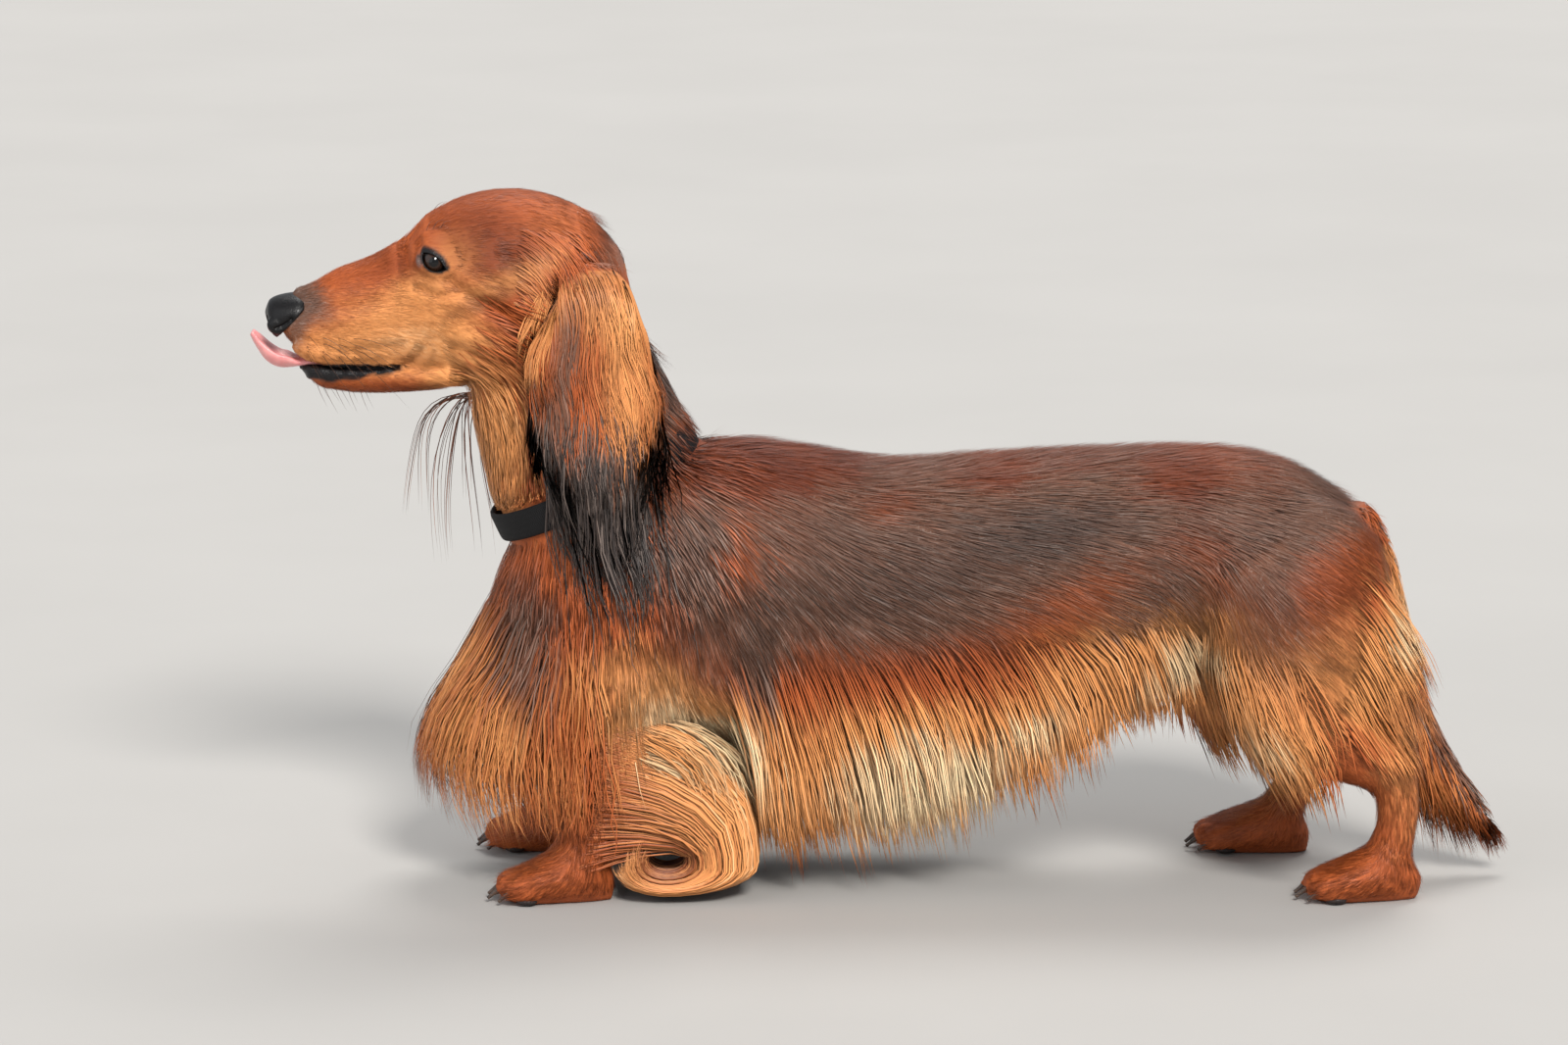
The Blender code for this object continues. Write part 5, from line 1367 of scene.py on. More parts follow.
@dataclass
class CoatPiece:
    """One object of the coat, made of batches of strands."""

    name: str
    patch: float = 0.003
    batches: list[Strands] = field(default_factory=list)

    def build(self) -> bpy.types.Object:
        """Makes the piece as one mesh of closed tapered strands.

        Returns:
            The object, with its chart, its strand map and its markings.
        """
        parts = [self.strand_arrays(batch) for batch in self.batches]
        mesh = bpy.data.meshes.new(self.name)
        offset, places, loops, totals = 0, [], [], []
        for part in parts:
            places.append(part["places"])
            loops.append(part["loops"] + offset)
            totals.append(part["totals"])
            offset += len(part["places"])
        places, loops = np.concatenate(places), np.concatenate(loops)
        totals = np.concatenate(totals)
        mesh.vertices.add(len(places))
        mesh.vertices.foreach_set("co", places.astype(np.float32).ravel())
        mesh.loops.add(len(loops))
        mesh.loops.foreach_set("vertex_index", loops.astype(np.int32))
        mesh.polygons.add(len(totals))
        starts = np.concatenate([[0], np.cumsum(totals)[:-1]])
        mesh.polygons.foreach_set("loop_start", starts.astype(np.int32))
        mesh.polygons.foreach_set("use_smooth", np.ones(len(totals), bool))
        mesh.update(calc_edges=True)
        for name in ("marks", "tone", "along", "lay"):
            store(mesh, name, np.concatenate([part[name] for part in parts]))
        for name in ("OFBake", "strand"):
            spots = np.concatenate([part[name] for part in parts])[loops]
            layer = mesh.uv_layers.new(name=name)
            layer.data.foreach_set("uv", spots.astype(np.float32).ravel())
        mesh.uv_layers["OFBake"].active = True
        mesh.uv_layers["OFBake"].active_render = True
        triangles = int((totals - 2).sum())
        log.info("%s: %d strands, %d triangles", self.name, self.strand_count(), triangles)
        return add_object(self.name, mesh)

    def strand_count(self) -> int:
        """How many strands the piece has."""
        return sum(len(batch.paths) for batch in self.batches)

    def strand_arrays(self, batch: Strands) -> dict[str, Array]:
        """The vertices, faces and values of one batch.

        Args:
            batch: The grown strands.

        Returns:
            Arrays by name: places, loops, totals, marks, tone, along, OFBake and strand.
        """
        count, points = batch.paths.shape[:2]
        rings = points - 1
        along = unit(np.gradient(batch.paths, axis=1))
        across = unit(np.cross(batch.facing, along))
        outward = unit(np.cross(along, across))
        roll = np.radians(np.random.default_rng(count).uniform(-13.0, 13.0, count))[:, None, None]
        turned = across * np.cos(roll) + outward * np.sin(roll)
        outward = outward * np.cos(roll) - across * np.sin(roll)
        across = turned
        share = np.linspace(0.0, 1.0, points)
        shape = np.minimum(1.0, 0.7 + 1.2 * share) * (1.0 - share**batch.tip) ** 0.75
        half = 0.5 * batch.widths[:, None, None] * shape[None, :, None]
        deep = half * 2.0 * batch.thick
        base = batch.paths - outward * deep * 0.35
        sections = np.stack([base - across * half, base + outward * deep, base + across * half], 2)
        sections = sections[:, :rings].reshape(count, rings * 3, 3)
        places = np.concatenate([sections, batch.paths[:, -1:]], axis=1)
        size = rings * 3 + 1
        ring = (np.arange(rings - 1) * 3)[:, None]
        side = np.arange(3)[None, :]
        after = (side + 1) % 3
        walls = np.stack([ring + side, ring + 3 + side, ring + 3 + after, ring + after], 2)
        last = (rings - 1) * 3
        tips = [(last + k, size - 1, last + (k + 1) % 3) for k in range(3)]
        loops = np.concatenate([walls.ravel(), np.array([0, 1, 2]), np.array(tips).ravel()])
        totals = np.concatenate([np.full((rings - 1) * 3, 4), np.full(4, 3)])
        offsets = (np.arange(count) * size)[:, None]
        share_each = np.concatenate([np.repeat(share[:rings], 3), [1.0]])
        sideways = np.concatenate([np.tile([0.0, 0.5, 1.0], rings), [0.5]])
        marks, lay = (
            np.concatenate([np.repeat(rows[:, :rings], 3, axis=1), rows[:, -1:]], axis=1)
            for rows in (batch.marks, batch.facing)
        )
        local = columns(sideways, share_each)
        chart = np.clip(batch.chart, 0.004, 0.996)[:, None, :] + (local - 0.5) * self.patch
        apart = sideways[None, :] + batch.tone[:, None] * 37.0
        strand = np.stack(np.broadcast_arrays(apart, share_each[None, :]), 2)
        return {
            "places": places.reshape(-1, 3),
            "loops": (loops[None, :] + offsets).ravel(),
            "totals": np.tile(totals, count),
            "marks": marks.reshape(-1, 3),
            "tone": np.repeat(batch.tone, size),
            "along": np.tile(share_each, count),
            "lay": lay.reshape(-1, 3),
            "OFBake": chart.reshape(-1, 2),
            "strand": strand.reshape(-1, 2),
        }


class Value:
    """A shader number that is worked with in plain maths."""

    def __init__(self, graph: "Graph", socket: bpy.types.NodeSocket) -> None:
        """Keeps the graph and the socket that gives the number."""
        self.graph = graph
        self.socket = socket

    def maths(self, operation: str, first: object, second: object) -> "Value":
        """Adds a Math node for two numbers."""
        made = self.graph.node("ShaderNodeMath", {"operation": operation}, {0: first, 1: second})
        return Value(self.graph, made.outputs[0])

    def __add__(self, other: object) -> "Value":
        """This number plus another."""
        return self.maths("ADD", self, other)

    def __radd__(self, other: object) -> "Value":
        """Another number plus this one."""
        return self.maths("ADD", other, self)

    def __sub__(self, other: object) -> "Value":
        """This number minus another."""
        return self.maths("SUBTRACT", self, other)

    def __rsub__(self, other: object) -> "Value":
        """Another number minus this one."""
        return self.maths("SUBTRACT", other, self)

    def __mul__(self, other: object) -> "Value":
        """This number times another."""
        return self.maths("MULTIPLY", self, other)

    def __rmul__(self, other: object) -> "Value":
        """Another number times this one."""
        return self.maths("MULTIPLY", other, self)

    def step(self, low: float, high: float) -> "Value":
        """A smooth step from 0 at low to 1 at high."""
        made = self.graph.node(
            "ShaderNodeMapRange",
            {"interpolation_type": "SMOOTHSTEP"},
            {"Value": self, "From Min": low, "From Max": high},
        )
        return Value(self.graph, made.outputs["Result"])


class Graph:
    """The nodes of one material."""

    def __init__(self, name: str) -> None:
        """Starts a material with an empty graph."""
        self.material = bpy.data.materials.new(name)
        self.material.use_nodes = True
        self.tree = self.material.node_tree
        self.tree.nodes.clear()

    def node(
        self, kind: str, settings: Optional[dict] = None, sockets: Optional[dict] = None
    ) -> bpy.types.Node:
        """Adds a node.

        Args:
            kind: The node's type.
            settings: Its settings, set first; stops gives a ramp's places and colours.
            sockets: Values or links of its input sockets, by name or index.

        Returns:
            The node.
        """
        made = self.tree.nodes.new(kind)
        for name, value in (settings or {}).items():
            if name == "stops":
                stops = made.color_ramp.elements
                while len(stops) < len(value):
                    stops.new(0.5)
                for stop, (place, colour) in zip(stops, value):
                    stop.position, stop.color = place, colour
            else:
                setattr(made, name, value)
        for key, value in (sockets or {}).items():
            if isinstance(value, Value):
                value = value.socket
            if isinstance(value, bpy.types.NodeSocket):
                self.tree.links.new(value, made.inputs[key])
            else:
                made.inputs[key].default_value = value
        return made

    def attribute(self, name: str) -> bpy.types.Node:
        """The node that reads a named attribute of the piece."""
        return self.node("ShaderNodeAttribute", {"attribute_name": name})

    def number(self, name: str) -> Value:
        """A named attribute as a number."""
        return Value(self, self.attribute(name).outputs["Fac"])

    def parts(self, name: str) -> tuple[Value, Value, Value]:
        """The three numbers of a named vector attribute."""
        split = self.node("ShaderNodeSeparateXYZ", None, {0: self.attribute(name).outputs["Vector"]})
        return tuple(Value(self, split.outputs[index]) for index in range(3))

    def place(self, scale: Sequence[float] = (1.0, 1.0, 1.0)) -> bpy.types.NodeSocket:
        """Object coordinates, stretched by scale."""
        source = self.node("ShaderNodeTexCoord").outputs["Object"]
        made = self.node("ShaderNodeMapping", None, {"Vector": source, "Scale": scale})
        return made.outputs["Vector"]

    def mapped(self, name: str, scale: Sequence[float]) -> bpy.types.NodeSocket:
        """The piece's named UV map, stretched by scale."""
        source = self.node("ShaderNodeUVMap", {"uv_map": name}).outputs["UV"]
        made = self.node("ShaderNodeMapping", None, {"Vector": source, "Scale": scale})
        return made.outputs["Vector"]

    def noise(
        self, vector: bpy.types.NodeSocket, scale: float, detail: float = 3.0, rough: float = 0.55
    ) -> Value:
        """Soft noise from 0 to 1."""
        made = self.node(
            "ShaderNodeTexNoise",
            None,
            {"Vector": vector, "Scale": scale, "Detail": detail, "Roughness": rough},
        )
        return Value(self, made.outputs["Fac"])

    def cells(self, vector: bpy.types.NodeSocket, scale: float) -> Value:
        """The distance from the nearest of many scattered points."""
        made = self.node("ShaderNodeTexVoronoi", None, {"Vector": vector, "Scale": scale})
        return Value(self, made.outputs["Distance"])

    def mixed(self, share: object, first: object, second: object) -> bpy.types.NodeSocket:
        """A colour between two colours."""
        made = self.node(
            "ShaderNodeMix",
            {"data_type": "RGBA", "clamp_factor": True},
            {0: share, 6: first, 7: second},
        )
        return made.outputs[2]

    def shaded(self, colour: object, light: object) -> bpy.types.NodeSocket:
        """A colour made darker or lighter by a number."""
        made = self.node("ShaderNodeVectorMath", {"operation": "SCALE"}, {0: colour, "Scale": light})
        return made.outputs["Vector"]

    def bump(self, height: object, strength: float, distance: float) -> bpy.types.NodeSocket:
        """A normal roughened by a height."""
        made = self.node(
            "ShaderNodeBump",
            None,
            {"Height": height, "Strength": strength, "Distance": distance},
        )
        return made.outputs["Normal"]

    def leaning(self, share: float, normal: bpy.types.NodeSocket, name: str) -> bpy.types.NodeSocket:
        """A normal drawn by a share towards the one that the piece keeps under a name."""
        target = self.attribute(name).outputs["Vector"]
        between = self.node("ShaderNodeMix", {"data_type": "VECTOR"}, {0: share, 4: normal, 5: target})
        settings = {"operation": "NORMALIZE"}
        return self.node("ShaderNodeVectorMath", settings, {0: between.outputs[1]}).outputs[0]

    def surface(self, sockets: dict) -> bpy.types.Material:
        """Ends the graph in a principled surface.

        Args:
            sockets: Values or links of the surface's input sockets.

        Returns:
            The material.
        """
        shader = self.node("ShaderNodeBsdfPrincipled", None, sockets)
        self.node("ShaderNodeOutputMaterial", None, {"Surface": shader.outputs[0]})
        return self.material


def tint(red: float, green: float, blue: float) -> tuple[float, float, float, float]:
    """A colour given by its screen values from 0 to 255, in linear light."""
    parts = [value / 255.0 for value in (red, green, blue)]
    linear = [v / 12.92 if v <= 0.04045 else ((v + 0.055) / 1.055) ** 2.4 for v in parts]
    return (*linear, 1.0)


@dataclass(frozen=True)
class CoatColours:
    """The colours of the hair, shared by the strands and the skin under them."""

    red: tuple = tint(156, 70, 32)
    bright: tuple = tint(202, 106, 54)
    gold: tuple = tint(236, 158, 94)
    cream: tuple = tint(255, 224, 176)
    deep: tuple = tint(98, 40, 20)
    umber: tuple = tint(116, 78, 60)
    dark: tuple = tint(50, 42, 39)
    # The pale grey of a painted sheen on the dark hair
    sheen_grey: tuple = tint(186, 164, 152)

    def blend(
        self, graph: Graph, marks: tuple[Value, Value, Value], tone: Value, streak: Value
    ) -> bpy.types.NodeSocket:
        """The hair's colour for its markings, with a painted sheen on the dark hair.

        Args:
            graph: The material's graph.
            marks: The dark, light and deep shares.
            tone: The strand's own random number, or a noise.
            streak: Fine lines along the hair.

        Returns:
            The colour.
        """
        dark, light, deep = marks
        spread = (tone - 0.5) * 0.14 + (streak - 0.5) * 0.3
        colour = graph.mixed((0.5 + spread * 1.6).step(0.1, 0.9), self.red, self.bright)
        glow = light + spread * light.step(0.02, 0.25)
        colour = graph.mixed(glow.step(0.04, 0.52), colour, self.gold)
        colour = graph.mixed(glow.step(0.52, 0.95), colour, self.cream)
        colour = graph.mixed((deep + spread * 0.8).step(0.05, 0.95) * 0.9, colour, self.deep)
        shade = dark + spread * 0.6 * dark.step(0.02, 0.3)
        colour = graph.mixed(shade.step(0.04, 0.55), colour, self.umber)
        # Painted sheen: where the dark hair's fine lines are lighter, its colour is drawn to the pale sheen
        # grey, and the blackest hair is a mix of dark and that grey
        gleam = (streak + (tone - 0.5) * 0.3).step(0.5, 0.8)
        night = graph.mixed(gleam * 0.46, self.dark, self.sheen_grey)
        colour = graph.mixed(shade.step(0.04, 0.45) * gleam * 0.5, colour, self.sheen_grey)
        return graph.mixed((shade + spread * 0.9).step(0.52, 0.94), colour, night)


@dataclass(frozen=True)
class HairFinish:
    """The finish of the strands: fine lines along each, painted shade at the roots and a soft gloss."""

    name: str = "coat"
    colours: CoatColours = CoatColours()
    lines: float = 7.0
    roughness: float = 0.42
    gloss: float = 0.26
    smoothing: float = 0.7

    def material(self) -> bpy.types.Material:
        """The strands' material.

        Returns:
            The material.
        """
        graph = Graph(self.name)
        tone, along = graph.number("tone"), graph.number("along")
        streak = graph.noise(graph.mapped("strand", (self.lines, 0.8, 1.0)), 1.0, 2.0)
        colour = self.colours.blend(graph, graph.parts("marks"), tone, streak)
        # Painted shade: each strand is darker towards its root, where the strands above it would shade it
        depth = 0.74 + along.step(0.0, 0.4) * 0.26
        colour = graph.shaded(colour, depth * (0.82 + streak * 0.24 + tone * 0.16))
        return graph.surface(
            {
                "Base Color": colour,
                "Roughness": self.roughness - 0.1 + streak * 0.24,
                "Specular IOR Level": self.gloss,
                "Normal": graph.leaning(self.smoothing, graph.bump(streak, 0.5, 0.0005), "lay"),
            }
        )


@dataclass(frozen=True)
class SkinFinish:
    """The skin: the coat's markings in very short hair, with black lips and lids."""

    colours: CoatColours = CoatColours()

    def material(self) -> bpy.types.Material:
        """The skin's material.

        Returns:
            The material.
        """
        graph = Graph("skin")
        black, pink, crosswise = graph.parts("bare")
        back = graph.noise(graph.place((0.12, 1.0, 1.0)), 900.0, 3.0)
        down = graph.noise(graph.place((1.0, 1.0, 0.12)), 900.0, 3.0)
        hair = back * (1.0 - crosswise) + down * crosswise
        tone = graph.noise(graph.place(), 60.0, 4.0)
        colour = self.colours.blend(graph, graph.parts("marks"), tone, hair)
        colour = graph.shaded(colour, 0.58 + hair * 0.42)
        pores = graph.cells(graph.place(), 1400.0)
        leather = graph.mixed(pores.step(0.1, 0.6), tint(5, 5, 6), tint(20, 17, 18))
        colour = graph.mixed(pink, colour, graph.mixed(pores, tint(74, 56, 52), tint(150, 124, 116)))
        colour = graph.mixed(black, colour, leather)
        height = hair * (1.0 - black) + pores * black
        return graph.surface(
            {
                "Base Color": colour,
                "Roughness": 0.62 - black * 0.3 + hair * 0.12,
                "Specular IOR Level": 0.26,
                "Normal": graph.bump(height, 0.5, 0.0005),
            }
        )


@dataclass(frozen=True)
class EyeFinish:
    """The wet eyeball: a black pupil in a dark brown iris, with a dark rim."""

    def material(self) -> bpy.types.Material:
        """The eyeball's material.

        Returns:
            The material.
        """
        graph = Graph("eye")
        turn, around, _ = graph.parts("iris")
        rays = graph.node("ShaderNodeCombineXYZ", None, {0: around, 1: turn * 0.6})
        fibres = graph.noise(rays.outputs[0], 9.0, 5.0)
        brown = graph.mixed(fibres.step(0.3, 0.75), tint(24, 12, 7), tint(52, 28, 14))
        brown = graph.mixed(turn.step(0.5, 0.66), brown, tint(9, 6, 5))
        eye = graph.mixed(turn.step(0.25, 0.31), tint(5, 5, 6), brown)
        white = graph.mixed(fibres.step(0.4, 0.8), tint(58, 42, 38), tint(34, 24, 22))
        eye = graph.mixed(turn.step(0.74, 0.92), eye, white)
        return graph.surface(
            {
                "Base Color": eye,
                "Roughness": 0.16 + fibres * 0.1,
                "Specular IOR Level": 0.1,
                "Coat Weight": 0.55,
                "Coat Roughness": 0.02,
                "Normal": graph.bump(fibres, 0.05, 0.0001),
            }
        )


@dataclass(frozen=True)
class LeatherFinish:
    """Moist pebbled leather of the nose and the foot pads."""

    name: str
    low: tuple
    high: tuple
    pebbles: float = 1500.0
    roughness: float = 0.24

    def material(self) -> bpy.types.Material:
        """The leather's material.

        Returns:
            The material.
        """
        graph = Graph(self.name)
        place = graph.place()
        pebbles, cloud = graph.cells(place, self.pebbles), graph.noise(place, 220.0, 3.0)
        colour = graph.mixed(pebbles.step(0.1, 0.7) * (0.5 + cloud * 0.6), self.high, self.low)
        return graph.surface(
            {
                "Base Color": colour,
                "Roughness": self.roughness + pebbles * 0.16 + cloud * 0.06,
                "Specular IOR Level": 0.22,
                "Coat Weight": 0.08,
                "Coat Roughness": 0.12,
                "Normal": graph.bump(1.0 - pebbles, 0.45, 0.0003),
            }
        )


@dataclass(frozen=True)
class TongueFinish:
    """The wet pink tongue with its fine bumps."""

    def material(self) -> bpy.types.Material:
        """The tongue's material.

        Returns:
            The material.
        """
        graph = Graph("tongue")
        place = graph.place()
        buds, cloud = graph.cells(place, 2000.0), graph.noise(place, 160.0, 3.0)
        colour = graph.mixed(cloud.step(0.3, 0.7), tint(226, 138, 138), tint(242, 172, 168))
        colour = graph.mixed(buds.step(0.0, 0.5) * 0.35, colour, tint(206, 112, 114))
        return graph.surface(
            {
                "Base Color": colour,
                "Roughness": 0.3 + buds * 0.2,
                "Subsurface Weight": 0.15,
                "Subsurface Radius": (0.004, 0.0015, 0.001),
                "Subsurface Scale": 0.5,
                "Coat Weight": 0.2,
                "Normal": graph.bump(1.0 - buds, 0.4, 0.0002),
            }
        )


@dataclass(frozen=True)
class HornFinish:
    """The dark horn of the claws, with lines along them."""

    def material(self) -> bpy.types.Material:
        """The claws' material.

        Returns:
            The material.
        """
        graph = Graph("claw")
        lines = graph.noise(graph.place((0.15, 1.0, 1.0)), 1600.0, 2.0)
        colour = graph.mixed(lines.step(0.3, 0.7), tint(34, 26, 23), tint(84, 66, 54))
        return graph.surface(
            {
                "Base Color": colour,
                "Roughness": 0.28 + lines * 0.2,
                "Normal": graph.bump(lines, 0.3, 0.0002),
            }
        )


@dataclass(frozen=True)
class WebbingFinish:
    """Black woven webbing, with ribs across it and a stitched line by each edge."""

    def material(self) -> bpy.types.Material:
        """The collar's material.

        Returns:
            The material.
        """
        graph = Graph("webbing")
        spot = graph.node("ShaderNodeUVMap", {"uv_map": "band"}).outputs["UV"]
        split = graph.node("ShaderNodeSeparateXYZ", None, {0: spot})
        around, across = Value(graph, split.outputs[0]), Value(graph, split.outputs[1])
        ribs = graph.node("ShaderNodeMath", {"operation": "SINE"}, {0: around * 1800.0 + across * 26.0})
        warp = graph.node("ShaderNodeMath", {"operation": "SINE"}, {0: across * 110.0})
        weave = Value(graph, ribs.outputs[0]) * Value(graph, warp.outputs[0]) * 0.5 + 0.5
        fluff = graph.noise(graph.place(), 900.0, 3.0)
        colour = graph.mixed(weave.step(0.2, 0.8), tint(7, 7, 8), tint(22, 21, 22))
        return graph.surface(
            {
                "Base Color": graph.shaded(colour, 0.75 + fluff * 0.5),
                "Roughness": 0.62 + fluff * 0.2,
                "Specular IOR Level": 0.22,
                "Normal": graph.bump(weave + fluff * 0.3, 0.6, 0.0005),
            }
        )


@dataclass(frozen=True)
class FloorFinish:
    """The plain pale studio floor."""

    def material(self) -> bpy.types.Material:
        """The floor's material."""
        graph = Graph("floor")
        cloud = graph.noise(graph.place(), 3.0, 4.0)
        colour = graph.mixed(cloud.step(0.2, 0.8), tint(166, 164, 161), tint(170, 168, 165))
        return graph.surface({"Base Color": colour, "Roughness": 0.78 + cloud * 0.1})


def dress(obj: bpy.types.Object, material: bpy.types.Material) -> bpy.types.Object:
    """Gives an object one material."""
    obj.data.materials.clear()
    obj.data.materials.append(material)
    return obj


def eye_reach(places: Array, side: Side) -> Array:
    """How far places are from the middle of the lids' opening, 1 at its edge.

    Args:
        places: Places in rows.
        side: Which side of the dog.

    Returns:
        One number for each place.
    """
    axes = np.array(eye_axes(side))
    reach = np.zeros(len(places))
    for centre, radius in lid_arcs(side):
        local = (places - np.array(centre)) @ axes
        reach = np.maximum(reach, np.hypot(local[:, 0], local[:, 1]) / radius)
        reach = np.where(np.abs(local[:, 2]) < LID_CUT_DEPTH, reach, FAR)
    return reach


def leather_depth(places: Array) -> Array:
    """How far places lie inside the edge of the nose's bare leather, in metres."""
    ahead = 0.728 * (-places[:, 0] - 0.3122) + 0.685 * np.minimum(0.0, places[:, 2] - 0.3094)
    return ahead - 1.2 * np.maximum(0.0, places[:, 2] - 0.316)


def lip_band(places: Array) -> Array:
    """The black band along the lower lip."""
    line = np.interp(places[:, 0], [MOUTH_FRONT[0], MOUTH_CORNER[0]], [0.2832, 0.283])
    below = line - places[:, 2]
    depth = np.interp(places[:, 0], [-0.312, -0.29, -0.275, -0.258], [0.0088, 0.0092, 0.006, 0.003])
    depth = depth + 0.0007 * np.sin(places[:, 0] * 420.0)
    band = eased(below, -0.0018, -0.0006) * (1.0 - eased(below, depth - 0.0012, depth + 0.001))
    return band * (1.0 - eased(places[:, 0], -0.258, -0.254))


@dataclass
class SkinDress:
    """Lays the markings and the bare parts on the skin."""

    markings: Markings = field(default_factory=Markings)

    def apply(self, skin: bpy.types.Object) -> bpy.types.Object:
        """Stores the markings on the skin and gives it its finish.

        Args:
            skin: The skin, which is changed.

        Returns:
            The skin.
        """
        places = vertex_places(skin)
        head = eased(places[:, 2] - 0.26 - (places[:, 0] + 0.19) * 0.4, 0.0, 0.02)[:, None]
        marks = self.markings.body(places) * (1.0 - head) + self.markings.head(places) * head
        ears = on_ear(places)[:, None]
        marks = marks * (1.0 - ears) + self.markings.ear(places, np.zeros(len(places))) * ears
        black = lip_band(places)
        black = np.maximum(black, eased(leather_depth(places), -0.0008, 0.0006))
        pink = np.zeros(len(places))
        for side in Side:
            reach = eye_reach(places, side)
            black = np.maximum(black, 1.0 - eased(reach, 1.06, 1.2))
            axes = eye_axes(side)
            corner = np.array(eye_spot(side) + axes @ Vector((0.0058, -0.004, 0.006)))
            corner = np.linalg.norm(places - corner, axis=1)
            pink = np.maximum(pink, 1.0 - eased(corner, 0.0022, 0.0046))
            brow = np.array(eye_spot(side) + axes @ Vector((0.0076, -0.0022, 0.006)))
            brow = np.linalg.norm((places - brow) * (1.0, 1.0, 2.2), axis=1)
            black = np.maximum(black, 0.8 * (1.0 - eased(brow, 0.0012, 0.0034)))
        crosswise = 1.0 - head[:, 0]
        store(skin.data, "marks", marks)
        store(skin.data, "bare", columns(black, pink, crosswise))
        return dress(skin, SkinFinish().material())


def on_ear(places: Array) -> Array:
    """1 for places on the ears' leather, 0 elsewhere.

    Args:
        places: Places in rows.

    Returns:
        One number for each place.
    """
    mask = np.zeros(len(places))
    for side in Side:
        near = np.full(len(places), FAR)
        for share in np.linspace(0.08, 1.0, 16):
            centre, _, forward, outward = ear_frame(side, float(share))
            local = places - centre
            deep = np.abs(local @ outward)
            wide = np.abs(local @ forward) / float(ear_half_width(share))
            high = np.abs(local @ np.cross(forward, outward))
            near = np.minimum(near, np.where((wide < 1.1) & (high < 0.006), deep, FAR))
        mask = np.maximum(mask, (near < 0.0085).astype(float))
    return mask


def off_face(roots: Roots) -> Array:
    """A mask of roots that are clear of the nose, the lids and the lips.

    Args:
        roots: Where the strands leave the skin.

    Returns:
        True for each root that is clear of them.
    """
    places = roots.places
    free = np.ones(len(roots), bool)
    for side in Side:
        free &= eye_reach(places, side) > 1.13
    free &= leather_depth(places) < -0.0002
    free &= lip_band(places) < 0.2
    return free & ~(np.abs(places[:, 2] - 0.2832) < 0.0012) | (places[:, 0] > -0.256) & free


def root_count(batch: str, side: Side) -> int:
    """How many roots a batch tries on one side."""
    return ROOTS[batch][side is Side.RIGHT]


def everywhere(places: Array) -> Array:
    """The same density at every place."""
    return np.ones(len(places))


